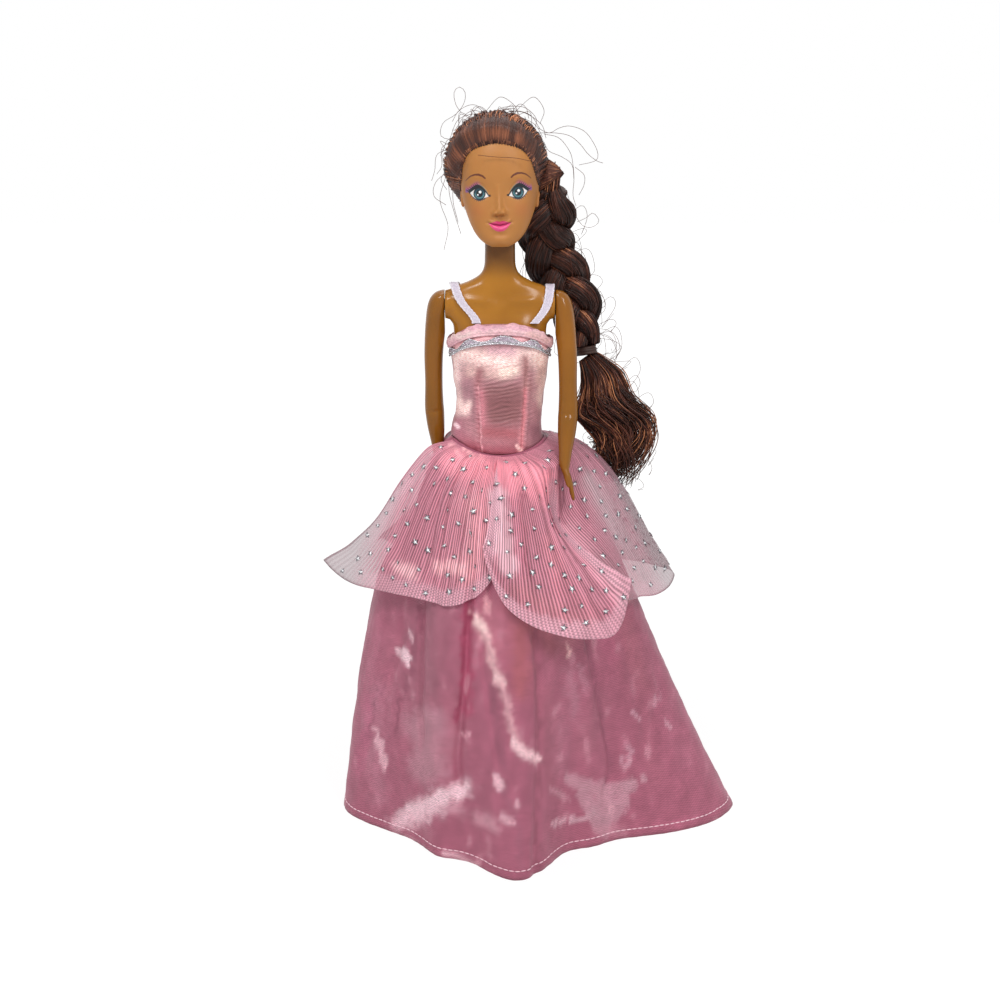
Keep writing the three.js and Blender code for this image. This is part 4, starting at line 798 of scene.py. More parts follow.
def paintFace(u, w, facing):
    colour = np.ones(u.shape + (3,)) * linear("b87a3a")
    gloss = np.zeros(u.shape)

    def lay(mask, hexColour, shine=0.0, strength=1.0):
        nonlocal gloss
        share = (np.clip(mask, 0, 1) * strength * facing)[..., None]
        colour[:] = mix(colour, linear(hexColour), share)
        gloss = mix(gloss, shine, share[..., 0])

    def inside(gap):  # gap is in millimetres, negative inside
        return 1 - smoothstep(-0.07, 0.07, gap)

    side = np.abs(u)
    lay(bump(side - 8.6, 3.4) * bump(w + 6.5, 3.2), "c4683f", 0.0, 0.28)
    # painted shade under the nose, over the nostrils
    lay(bump(u, 2.2) * bump(w + 8.4, 0.5), "8a4c1f", 0.0, 0.55)
    # painted shade towards the sides of the face and along the jaw
    lay(smoothstep(9.5, 15, side + 0.25 * np.clip(-w - 8, 0, 9)), "8a5626", 0.0, 0.5)
    for sign in (-1, 1):
        s = u * sign - head["eyeOut"]
        here = smoothstep(-4.6, -4.0, s) * (1 - smoothstep(5.0, 5.4, s))
        top = readTable(upperLid, s, 1)
        low = readTable(lowerLid, s, 1)
        above = w - top
        # eye shadow: rose and violet outside, teal at the inner corner
        lay(here * bump(above - 1.0, 0.95) * smoothstep(-1.6, 1.2, s) * (above > -0.2), "b0568a", 0.1, 0.8)
        lay(here * bump(above - 0.5, 0.6) * smoothstep(1.6, 3.2, s) * (above > -0.2), "73509c", 0.1, 0.85)
        lay(here * bump(above - 0.45, 0.5) * (1 - smoothstep(-0.2, 1.4, s)) * smoothstep(-3.7, -2.6, s)
            * (above > -0.2), "1f7f86", 0.15, 0.9)
        opening = np.maximum(above, low - w)
        opening = np.where((s > -3.6) & (s < 3.75), opening, 1)
        lay(inside(opening), "f2eeea", 0.55)
        eyeX, eyeZ = s + 0.1, w + 0.1
        radius = np.hypot(eyeX, eyeZ)
        open_ = np.where(above < 0.05, 1, 0) * inside(opening - 0.12)
        lay(inside(radius - 2.3) * open_, "081c26", 0.8)
        lay(inside(radius - 1.8) * open_, "184552", 0.85)
        spokes = 0.5 + 0.5 * np.sin(np.arctan2(eyeZ, eyeX) * 16)
        lay(bump(radius - 1.62, 0.3) * open_ * (0.5 + 0.5 * spokes) * smoothstep(0.8, -0.6, eyeZ), "6fa6ae", 0.85,
            0.75)
        lay(inside(radius - 2.1) * open_ * smoothstep(0.9, 1.8, w), "0f2b36", 0.85, 0.9)
        lay(inside(radius - 1.25) * open_, "050e14", 0.9)
        # lid lines and lashes
        thick = mix(0.38, 0.72, smoothstep(-2.5, 1.5, s))
        lay(here * inside(np.abs(above - 0.25) - thick) * (s < 3.9), "050c14", 0.3)
        wing, along = nearLine(s, w, [(3.0, 1.15), (3.9, 0.85), (4.6, 1.2)])
        lay(inside(wing - mix(0.34, 0.06, along)), "0b1a24", 0.3)
        for k in range(7):
            root = 0.4 + 0.58 * k
            foot = readTable(upperLid, np.array([root]), 1)[0] + 0.3
            lash, along = nearLine(s, w, [(root, foot), (root + 0.45 + 0.12 * k, foot + 1.35 - 0.12 * k)])
            lay(inside(lash - mix(0.22, 0.05, along)), "050c14", 0.3)
        lay(here * inside(np.abs(w - low + 0.06) - 0.2) * (s < 3.7) * smoothstep(-3.4, -1.5, s), "10283a", 0.3, 0.95)
        for k in range(8):
            root = -1.9 + 0.68 * k
            foot = readTable(lowerLid, np.array([root]), 1)[0]
            lash, along = nearLine(s, w, [(root, foot), (root + 0.1 + 0.07 * k, foot - 0.62)])
            lay(inside(lash - mix(0.13, 0.05, along)), "1a2c40", 0.3, 0.9)
        for dx, dz, size in ((0.26, 0.55, 0.5), (-0.62, -0.45, 0.3)):
            gap = np.hypot(u - sign * (head["eyeOut"] - 0.1) - dx, w + 0.1 - dz)
            lay(inside(gap - size), "ffffff", 0.9)
        brow, along = nearLine(u * sign, w, browLine)
        lay(inside(brow - mix(0.4, 0.12, np.abs(along - 0.3) / 0.7)), "5a2214", 0.15, 0.95)
    # lips
    line = mouthLine(u)
    top, low = readTable(upperLip, side, 1), readTable(lowerLip, side, 1)
    lips = np.where(side < 4.15, 1, 0)
    lay(inside(np.maximum(w - top, line - w)) * lips, "c9336b", 0.45)
    lay(inside(np.maximum(w - line, low - w)) * lips, "e4427f", 0.5)
    lay(bump(w - line, 0.16) * np.where(side < 4.4, 1, 0), "8c1f48", 0.4, 0.85)
    # painted highlight on the lower lip
    lay(bump(u - 0.3, 1.6) * bump(w + 12.9, 0.55), "f07aa6", 0.55, 0.5)
    return colour, gloss


def buildHead():
    levels = np.concatenate([
        np.arange(0, 2.7, 0.25), np.arange(2.7, 29.0, head["fineStep"]),
        np.arange(29.0, head["height"] - 1, head["coarseStep"]), np.linspace(head["height"] - 1, head["height"], 6),
    ]) / head["height"]
    reach = math.radians(64)
    front = -quarter + np.linspace(-reach, reach, 236)
    behind = -quarter + reach + np.linspace(0, turn - 2 * reach, 74)[1:-1]
    angles = np.concatenate([front, behind])
    x, y, z = headPoint(angles[None], levels[:, None])
    u, w = faceCoordinates(x, z)
    facing = smoothstep(0.12, 0.5, -np.sin(angles))[None] * np.ones_like(x)
    y = y - sculptedRise(u, w) * facing
    points, faces = loft(np.stack([x, y, z], -1))
    colour, gloss = paintFace(u, w, facing)
    ends = np.array([colour[0].mean(0), colour[-1].mean(0)])
    colour = np.concatenate([colour.reshape(-1, 3), ends])
    gloss = np.concatenate([gloss.ravel(), [0, 0]])
    parts = [(points, faces)]
    for sign in (-1, 1):
        earPoints, earFaces, earColour = buildEar(sign)
        parts.append((earPoints, earFaces))
        colour = np.concatenate([colour, earColour])
        gloss = np.concatenate([gloss, np.zeros(len(earPoints))])
    points, faces = joinParts(parts)
    mesh = newMesh("headSkin", points, faces)
    addColour(mesh, "paint", colour)
    addTone(mesh, "gloss", gloss)
    piece = addPiece("headSkin", mesh, makeFaceVinyl())
    placePiece(piece, "head", "head_shell")


def buildEar(sign):
    # a moulded ear: a rolled rim round a shallow bowl, with a lobe pierced for an earring
    size, thick, wide = head["ear"]
    rows, columns = 40, 64
    tilt = np.linspace(0.02, half - 0.02, rows)[:, None]
    spin = anglesRound(columns)[None]
    rim = np.sin(tilt)
    a, b = rim * np.cos(spin), rim * np.sin(spin)
    out = np.cos(tilt) + 0 * spin
    bowl = 0.75 * bump(np.hypot(a * 1.15, (b - 0.12) * 0.95), 0.55) * (out > 0)
    fold = 0.3 * bump(np.hypot(a + 0.1, b - 0.35) - 0.3, 0.1) * (out > 0)
    x = size * thick * (out - bowl + fold)
    y = size * wide * a * (1 + 0.22 * b)
    z = size * b * 1.06
    hole = bump(np.hypot(a, b + 0.72), 0.12) * (out > 0)
    x = x - 0.4 * hole
    lean = math.radians(10)
    points = np.stack([sign * (x + head["halfWidth"] - size * 0.25),
                       y * math.cos(lean) + z * math.sin(lean) + size * 0.6,
                       z * math.cos(lean) - y * math.sin(lean) + head["chin"] + head["height"] * 0.4], -1)
    points, faces = loft(points)
    colour = np.ones((len(points), 3)) * linear("bb7c40")
    # painted shade in the earring hole, which is only a shallow dent
    colour[:-2] = mix(colour[:-2], linear("3a1f12"), hole.reshape(-1, 1) * 0.9)
    return points, faces, colour


buildHead()
print("head done")


hair = {
    "bottom": 245.5, "height": 47.5, "halfWidth": 19.8, "halfDepth": 21, "shift": -1.6,
    "centre": (-1.0, 2.0, 266.0), "gather": (20.7, 7.6, 270.6), "intoBraid": (19.4, 11.2, 259),
    "strands": 1500, "steps": 15, "radius": (0.17, 0.31), "seed": 11,
}
hairRows = [
    [0, 0.3, -0.43, 0.5], [0.08, 0.42, -0.43, 0.58], [0.18, 0.55, -0.3, 0.7], [0.3, 0.72, 0.0, 0.84],
    [0.38, 0.84, 0.14, 0.92], [0.46, 0.94, 0.28, 0.98], [0.55, 1, 0.42, 1], [0.68, 0.97, 0.61, 0.98],
    [0.8, 0.85, 0.64, 0.9], [0.9, 0.65, 0.52, 0.72], [0.96, 0.44, 0.36, 0.5], [0.99, 0.24, 0.2, 0.3],
    [1, 0.08, 0.06, 0.1],
]
# Where the hair is rooted, all the way round: forehead, over each ear and across the nape
hairline = [
    (-1.5, None, 281.4), (3.4, None, 280.8), (8.3, None, 279), (11.4, None, 275.6), (13.1, None, 271),
    (14.6, -3.5, 267), (15.2, 1.0, 266), (14.4, 5.5, 261), (11.5, 9.5, 254), (6, 11.5, 249.5),
    (0, 12, 248.5), (-6, 11.5, 249.5), (-11.5, 9.5, 254), (-14.4, 5.5, 261), (-15.2, 1.0, 266),
    (-15.0, -3.5, 268.5), (-14.1, None, 273), (-12.6, None, 276.8), (-10.2, None, 279.1), (-6.4, None, 280.6),
]


def scalpY(x, z):
    level = (z - head["chin"]) / head["height"]
    width, middle, depth = (float(size) for size in sectionAt(head, headRows, level))
    c = min(0.999, abs(x) / width)
    away = max(0.0, 1 - c ** head["round"]) ** (1 / head["round"])
    return middle - depth * away


def rayTable(inside, farthest):
    # how far a shape reaches from the hair's centre in each direction
    turns, tilts = 200, 100
    around = np.linspace(-half, half, turns)[None]
    up = np.linspace(-quarter, quarter, tilts)[:, None]
    d = np.stack([np.cos(up) * np.cos(around), np.cos(up) * np.sin(around), np.sin(up) + 0 * around], -1)
    low, high = np.zeros(d.shape[:2]), np.full(d.shape[:2], farthest)
    for _ in range(18):
        middle = (low + high) / 2
        within = inside(np.array(hair["centre"]) + d * middle[..., None])
        low, high = np.where(within, middle, low), np.where(within, high, middle)
    return low


def readRay(table, d):
    tilts, turns = table.shape
    a = (np.arctan2(d[..., 1], d[..., 0]) + half) / turn * (turns - 1)
    b = (np.arcsin(np.clip(d[..., 2], -1, 1)) + quarter) / half * (tilts - 1)
    i, j = np.clip(a.astype(int), 0, turns - 2), np.clip(b.astype(int), 0, tilts - 2)
    s, t = a - i, b - j
    return mix(mix(table[j, i], table[j, i + 1], s), mix(table[j + 1, i], table[j + 1, i + 1], s), t)


def insideHair(p):
    level = (p[..., 2] - hair["bottom"]) / hair["height"]
    width, middle, depth = sectionAt(hair, hairRows, level)
    reach = ((p[..., 0] - hair["shift"]) / width) ** 2 + ((p[..., 1] - middle) / depth) ** 2
    return (reach < 1) & (level < 1) & (level > 0)


def insideHead(p):
    level = (p[..., 2] - head["chin"]) / head["height"]
    width, middle, depth = sectionAt(head, headRows, level)
    reach = np.abs(p[..., 0] / width) ** head["round"] + np.abs((p[..., 1] - middle) / depth) ** head["round"]
    return (reach < 1) & (level < 1) & (level > 0)


hairReach = rayTable(insideHair, 40)
scalpReach = rayTable(insideHead, 40)


def unit(v):
    return v / (np.linalg.norm(v, axis=-1, keepdims=True) + 1e-9)


def hairlinePoints(count):
    fixed = [(x, scalpY(x, z) if y is None else y, z) for x, y, z in hairline]
    points, _ = alongCurve(fixed + fixed[:1], count + 1)
    return points[:-1]


def buildHairBase():
    # the mass of hair under the loose strands, from the hairline up over the skull
    columns, rows = 260, 60
    roots = hairlinePoints(columns)
    centre = np.array(hair["centre"])
    start = unit(roots - centre)
    pole = unit(np.array([0.05, 0.75, 0.45]))
    t = np.linspace(0, 1, rows)[:, None, None]
    d = unit(mix(start[None], pole, t * 0.985) + 0.35 * np.sin(t * half) * np.array([0, 0.1, 0.5]))
    outer = readRay(hairReach, d)
    scalp = readRay(scalpReach, d)
    outer = np.maximum(outer, scalp + 0.5)
    lift = smoothstep(0, 0.13, t[..., 0]) * 0.955
    groove = 0.22 * np.sin(np.arange(columns) * 2.4)[None] * smoothstep(0.02, 0.1, t[..., 0]) \
        * (1 - smoothstep(0.85, 1, t[..., 0]))
    shell = mix(scalp, outer, lift) + groove
    inner = np.minimum(scalp * 0.985, shell - 0.25)
    top, under = centre + d * shell[..., None], centre + d * inner[..., None]
    rings = np.concatenate([under[::-1], top])
    points, faces = loft(rings)
    mesh = newMesh("hairBase", points, faces)
    u = np.tile(np.arange(columns) * 0.5, rows * 2)
    v = np.repeat(np.concatenate([np.arange(rows)[::-1], np.arange(rows)]) * 0.9, columns)
    addUv(mesh, "comb", np.concatenate([np.stack([u, v], -1), [[0, 0], [0, 0]]]))
    tone = 0.24 + np.random.default_rng(3).normal(0, 0.07, columns) + 0.08 * np.sin(np.arange(columns) * 0.43)
    clumps = 0.5 + 0.5 * np.sin(np.arange(columns) * 0.9 + 2 * np.sin(np.arange(columns) * 0.23))
    lit = (0.2 + 0.3 * clumps) * bump(t[..., 0] - 0.07, 0.04) * bump(roots[:, 0] - 1, 9)[None] * (roots[:, 1] < -5)
    lit = lit + 0.2 * smoothstep(-5, -13, roots[:, 0])[None] \
        * (0.6 + 0.6 * np.sin(t[..., 0] * 34 + roots[:, 2] * 0.8))
    addTone(mesh, "tone", np.concatenate([np.tile(tone, rows), (tone[None] + lit).ravel(), [0.3, 0.3]]))
    piece = addPiece("hairBase", mesh, hairUnder)
    placePiece(piece, "head", "rooted_hair")


def combedPaths(roots, rng, lift):
    # each strand rises from its root, is combed back over the skull and sweeps round to the braid
    centre = np.array(hair["centre"])
    count, steps = len(roots), hair["steps"]
    start = unit(roots - centre)
    leftness = smoothstep(6, -6, roots[:, 0])[:, None]
    back = unit(start + np.array([0.0, 1.0, 0.18]) + rng.normal(0, 0.06, (count, 3)))
    behind = mix(np.array([0.62, 0.75, 0.12]), np.array([0.12, 1.0, -0.2]), leftness) \
        + rng.normal(0, 0.12, (count, 3))
    end = unit(np.array(hair["gather"]) - centre)
    t = np.linspace(0, 1, steps)[None, :, None]
    d = unit((1 - t) ** 3 * start[:, None] + 3 * (1 - t) ** 2 * t * back[:, None]
             + 3 * (1 - t) * t ** 2 * unit(behind)[:, None] + t ** 3 * end)
    outer = readRay(hairReach, d)
    scalp = readRay(scalpReach, d)
    rise = smoothstep(0, 0.16, t[..., 0])
    wave = 0.35 * np.sin(t[..., 0] * rng.uniform(8, 16, (count, 1)) + rng.uniform(0, turn, (count, 1)))
    reach = mix(scalp + 0.1, np.maximum(outer, scalp + 0.5) * lift[:, None] + wave * rise, rise)
    paths = centre + d * reach[..., None]
    # into the wing of hair beside the head, then down into the first turn of the braid
    offset = rng.normal(0, 1, (count, 3)) * np.array([0.9, 1.3, 1.2])
    gather = np.array(hair["gather"]) + offset
    into = np.array(hair["intoBraid"]) + offset * 1.2
    near = smoothstep(0.7, 0.93, t)
    paths = mix(paths, gather[:, None], near)
    last = smoothstep(0.93, 1.0, t)
    return mix(paths, into[:, None], last)


def buildCombedHair():
    rng = np.random.default_rng(hair["seed"])
    line = hairlinePoints(900)
    centre = np.array(hair["centre"])
    for name, front in (("hairFront", True), ("hairBack", False)):
        count = hair["strands"]
        if front:
            pick = np.concatenate([rng.integers(0, 250, count // 2), rng.integers(660, 900, count - count // 2)])
            roots = line[pick] + rng.normal(0, 0.12, (count, 3))
            deeper = rng.uniform(0, 1, count) < 0.4
            inwards = unit(centre + np.array([0, 6, 6]) - roots)
            roots = roots + inwards * (deeper * rng.uniform(0.5, 5, count))[:, None] * np.array([0.35, 0.8, 0.2])
            lift = rng.uniform(0.955, 1.02, count)
        else:
            d = unit(rng.normal(0, 1, (count, 3)) * np.array([1, 0.7, 0.8]) + np.array([0, 0.85, 0.25]))
            d[:, 1] = np.where(d[:, 2] > 0.75, d[:, 1], np.abs(d[:, 1]) + 0.12)
            d = unit(d)
            roots = centre + d * readRay(scalpReach, d)[:, None]
            low = rng.uniform(0, 1, count) < 0.25
            roots[low] = line[rng.integers(330, 580, low.sum())]
            lift = rng.uniform(0.965, 1.0, count)
        paths = combedPaths(roots, rng, lift)
        low, high = hair["radius"]
        root = smoothstep(0, 0.1, np.linspace(0, 1, hair["steps"]))
        radius = rng.uniform(low, high, (count, 1)) * mix(0.75, 1, root)
        points, faces = strandTubes(paths, radius)
        mesh = newMesh(name, points, faces)
        # a warm band of light lies across the hair just behind the forehead
        share = np.linspace(0, 1, hair["steps"])[None, :, None]
        band = 0
        if front:
            band = 0.7 * bump(share - 0.1, 0.07) * rng.uniform(0.2, 1, (count, 1, 1)) \
                * bump(roots[:, 0] - 1, 9)[:, None, None]
        tone = rng.normal(0.32, 0.22, (count, 1, 1)) + band + np.zeros((count, hair["steps"], 3))
        # the hair on the doll's right is painted lighter, as it is lit from that side
        tone = tone + 0.22 * smoothstep(-5, -12, roots[:, 0])[:, None, None]
        addTone(mesh, "tone", np.clip(tone, 0, 1))
        piece = addPiece(name, mesh, hairFibre)
        placePiece(piece, "head")


# Stray hairs as the picture shows them: points in it, and their depth
strayRoutes = [
    ([(452, 140), (441, 136), (443, 123), (456, 114), (464, 103), (465, 92), (459, 87), (454, 93), (456, 105),
      (461, 112)], 2),
    ([(478, 118), (486, 111), (500, 97), (515, 106), (518, 116)], 0), ([(514, 114), (521, 106), (534, 97),
      (544, 110), (540, 124)], 2),
    ([(536, 133), (556, 133), (570, 136), (580, 144), (588, 154), (597, 161), (603, 163)], 6),
    ([(450, 170), (436, 182), (434, 196), (446, 205)], 0), ([(470, 150), (452, 168), (449, 190), (455, 215),
      (461, 234)], -8),
    ([(466, 160), (455, 178), (453, 200), (458, 222)], -9), ([(446, 176), (440, 200), (448, 226), (444, 250)], 2),
    ([(478, 155), (496, 157), (515, 158), (530, 161)], -13.9), ([(538, 128), (549, 133), (559, 128),
      (570, 126), (584, 131), (593, 142), (598, 154), (595, 161), (579, 165)], 5),
    ([(544, 134), (559, 138), (570, 152), (573, 165), (574, 179), (573, 195), (576, 206)], 5),
    ([(544, 142), (549, 151), (562, 157), (572, 165), (574, 180)], 6),
    ([(575, 167), (584, 175), (584, 185), (579, 195)], 6),
    ([(566, 190), (573, 210), (582, 225), (592, 227), (599, 221), (593, 213), (586, 218), (577, 222)], 7),
    ([(488, 117), (501, 108), (523, 107), (536, 118), (535, 128)], 1),
    ([(492, 120), (512, 111), (530, 115), (540, 129)], 2), ([(455, 130), (466, 114), (478, 111), (492, 121)], 1),
    ([(450, 138), (458, 120), (474, 114), (486, 118)], -2), ([(500, 113), (522, 112), (541, 124), (546, 138)], 3),
]


def buildStrayHair():
    rng = np.random.default_rng(hair["seed"] + 1)
    paths = []
    for route, depth in strayRoutes:
        x, y = np.array(route, float).T
        line, _ = alongCurve(fromPicture(x, y, depth), 26)
        paths.append(line)
    centre = np.array(hair["centre"])
    for _ in range(44):
        around, up = rng.uniform(-0.2, half + 0.2), rng.uniform(0.1, 1.4)
        d = np.array([math.cos(around) * math.cos(up), math.sin(around) * math.cos(up), math.sin(up)])
        start = centre + d * float(readRay(hairReach, d[None])[0]) * 0.99
        side = unit(np.cross(d, rng.normal(0, 1, 3)))
        rise, reach = rng.uniform(1.0, 5.5), rng.uniform(4, 11)
        route = [start - side * reach * 0.5, start + d * rise,
                 start + side * reach * 0.6 + d * rise * rng.uniform(-0.2, 1),
                 start + side * reach + d * rng.uniform(-1, 1.5)]
        paths.append(alongCurve(route, 26)[0])
    points, faces = strandTubes(np.array(paths), np.full((len(paths), 26), 0.1))
    mesh = newMesh("strayHair", points, faces)
    addTone(mesh, "tone", np.full(len(points), 0.45))
    piece = addPiece("strayHair", mesh, hairFibre)
    placePiece(piece, "head")


def buildHairWing():
    # the hair drawn off the skull stands out in a pointed lobe before it turns down into the braid
    rng = np.random.default_rng(hair["seed"] + 2)
    count, steps = 420, 21
    share, deep = rng.uniform(0, 1, count), rng.uniform(-1, 1, count)
    paths = []
    for a, b in zip(share, deep):
        front = 1.8 * math.sqrt(max(0, 1 - b * b)) * (1 - abs(2 * a - 1) ** 2)
        tip = np.array([23.2 + rng.normal(0, 0.5) - 1.2 * abs(2 * a - 1), 3.4 - front * 0.3, 271.2 + (a - 0.5) * 2.2])
        route = [np.array([12.4, 4.2 - front, mix(263.0, 277.0, a)]),
                 np.array([18.4, 3.0 - front, mix(266.4, 275.9, a)]), tip, tip + np.array([-1.8, 2.2, -3.2]),
                 np.array([19.6, 8.0, 262.0])]
        paths.append(alongCurve(route, steps)[0])
    points, faces = strandTubes(np.array(paths), rng.uniform(0.15, 0.26, (count, 1)) * np.ones((1, steps)))
    mesh = newMesh("hairWing", points, faces)
    lit = 0.35 * bump(np.linspace(0, 1, steps) - 0.3, 0.16)[None, :, None] * rng.uniform(0, 1, (count, 1, 1))
    addTone(mesh, "tone", np.clip(rng.normal(0.3, 0.15, (count, 1, 1)) + lit + np.zeros((count, steps, 3)), 0, 1))
    piece = addPiece("hairWing", mesh, hairFibre)
    placePiece(piece, "head")


def buildHairPlugs():
    # the rooting holes show as a row of dark ticks along the hairline
    line = hairlinePoints(104)
    centre = np.array(hair["centre"])
    d = unit(line - centre)
    back = unit(np.array([0, 1.0, 0.5]) - d * (d @ np.array([0, 1.0, 0.5]))[:, None])
    share = np.linspace(-0.5, 0.9, 5)[None, :, None]
    paths = (line + d * 0.1)[:, None] + back[:, None] * share
    points, faces = strandTubes(paths, np.full((len(line), 5), 0.2) * np.array([0.5, 1, 1, 1, 0.6]), 5)
    piece = addPiece("hairPlugs", newMesh("hairPlugs", points, faces), darkThread)
    placePiece(piece, "head")


buildHairBase()
buildCombedHair()
buildStrayHair()
buildHairWing()
buildHairPlugs()

braid = {
    "strandRadius": 5.3, "swing": 6.2, "depth": 3.3, "pitch": 41, "flatten": 0.86,
    "threads": 110, "steps": 62, "threadRadius": 0.2, "seed": 5,
    "stay": (24.0, 15.0, 232.0), "go": (22.0, 6.0, 262.0),
}
braidRoute = [(20.4, 8, 265), (18.6, 10.5, 256), (18, 14.5, 245), (23.5, 16.5, 233), (30, 16, 219), (35, 14.5, 203)]
tailRoute = [(35.7, 14, 198.5), (40.5, 12.8, 191.5), (46.5, 11.8, 179), (49.5, 11.5, 166), (51, 11.5, 156),
             (50, 11.5, 147.5)]


def braidBlend(piece):
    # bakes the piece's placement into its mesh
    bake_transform(piece)


def braidFrame(route, count):
    line, length = alongCurve(route, count)
    tangent = unit(np.gradient(line, axis=0))
    across = unit(np.cross(np.array([0, -1.0, 0]), tangent))
    out = unit(np.cross(tangent, across))
    return line, tangent, across, out, length


def braidStrandLine(strand, count):
    line, _, across, out, length = braidFrame(braidRoute, count)
    t = np.linspace(0, 1, count)
    phase = turn * (t * length / braid["pitch"] + strand / 3)
    gather = 1 - 0.45 * smoothstep(0.75, 1, t) - 0.42 * (1 - smoothstep(0, 0.14, t))
    middle = line + across * (braid["swing"] * gather * np.sin(phase))[:, None] \
        + out * (braid["depth"] * gather * np.sin(2 * phase))[:, None]
    return middle, out, gather


def buildBraid():
    rng = np.random.default_rng(braid["seed"])
    steps, threads = braid["steps"], braid["threads"]
    coreParts, coreUv, pathList, radiusList, toneList = [], [], [], [], []
    for strand in range(3):
        middle, out, gather = braidStrandLine(strand, steps)
        tangent = unit(np.gradient(middle, axis=0))
        side = unit(np.cross(out, tangent))
        up = unit(np.cross(tangent, side))
        a, b = braid["strandRadius"] * gather, braid["strandRadius"] * braid["flatten"] * gather
        angle = anglesRound(28)
        ring = middle[:, None] + 0.93 * (side[:, None] * (a[:, None] * np.cos(angle))[..., None]
                                         + up[:, None] * (b[:, None] * np.sin(angle))[..., None])
        coreParts.append(loft(ring))
        along = np.repeat(np.arange(steps) * 1.4, 28)
        around = np.tile(np.abs(np.arange(28) - 14) * 1.1, steps) + along * 0.25 + strand * 40
        coreUv.append(np.concatenate([np.stack([around, along], -1), [[0, 0], [0, 0]]]))
        t = np.linspace(0, 1, steps)[None]
        spin = rng.uniform(0, turn, (threads, 1)) + t * 2.2 \
            + 0.12 * np.sin(t * rng.uniform(10, 30, (threads, 1)) + rng.uniform(0, turn, (threads, 1)))
        away = rng.normal(1.0, 0.022, (threads, 1)) + 0.012 * np.sin(t * rng.uniform(15, 40, (threads, 1)))
        path = middle[None] + side[None] * (a * np.cos(spin) * away)[..., None] \
            + up[None] * (b * np.sin(spin) * away)[..., None]
        pathList.append(path)
        radiusList.append(rng.uniform(0.75, 1.35, (threads, 1)) * braid["threadRadius"] * np.ones((1, steps)))
        normal = up[None] * np.sin(spin)[..., None] + side[None] * np.cos(spin)[..., None]
        facing = normal @ unit(np.array([-0.1, -0.8, 0.6]))
        lit = 0.5 * smoothstep(0.72, 1, facing)[..., None] * rng.uniform(0, 1, (threads, 1, 1))
        toneList.append(np.clip(rng.normal(0.16, 0.14, (threads, 1, 1)) + lit + np.zeros((threads, steps, 3)), 0, 1))
    points, faces = joinParts(coreParts)
    mesh = newMesh("braidCore", points, faces)
    addTone(mesh, "tone", np.full(len(points), 0.25))
    addUv(mesh, "comb", np.concatenate(coreUv))
    core = addPiece("braidCore", mesh, hairUnder)
    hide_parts("hair_braid")
    braidBlend(core)
    points, faces = strandTubes(np.concatenate(pathList), np.concatenate(radiusList))
    mesh = newMesh("braidThreads", points, faces)
    addTone(mesh, "tone", np.concatenate(toneList))
    braidBlend(addPiece("braidThreads", mesh, hairFibre))


def buildTie():
    end, start = np.array(braidRoute[-1], float), np.array(tailRoute[0], float)
    direction = unit(start - end)
    side = unit(np.cross(direction, np.array([0, 1.0, 0])))
    up = np.cross(direction, side)
    parts = []
    for k in range(4):  # the elastic goes round four times
        t = anglesRound(48)
        middle = mix(end, start, 0.22 + 0.19 * k)
        radius = 3.7 + 0.25 * (k % 2)
        line = middle + side * (radius * np.cos(t))[:, None] + up * (radius * np.sin(t))[:, None]
        line += direction * (0.35 * np.sin(t + k))[:, None]
        around = anglesRound(10)
        outward = unit(line - middle)
        rings = line[:, None] + 0.62 * (outward[:, None] * np.cos(around)[None, :, None]
                                        + direction[None, None] * np.sin(around)[None, :, None])
        rows, columns = rings.shape[:2]
        j, i = np.meshgrid(np.arange(rows), np.arange(columns), indexing="ij")
        quads = np.stack([j * columns + i, j * columns + (i + 1) % columns,
                          (j + 1) % rows * columns + (i + 1) % columns, (j + 1) % rows * columns + i], -1)
        points, faces = rings.reshape(-1, 3), [quads.reshape(-1, 4)]
        parts.append((points, outwards(points, faces)))
    points, faces = joinParts(parts)
    piece = addPiece("hairTie", newMesh("hairTie", points, faces), elastic)
    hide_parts("braid_tie")
    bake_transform(piece)


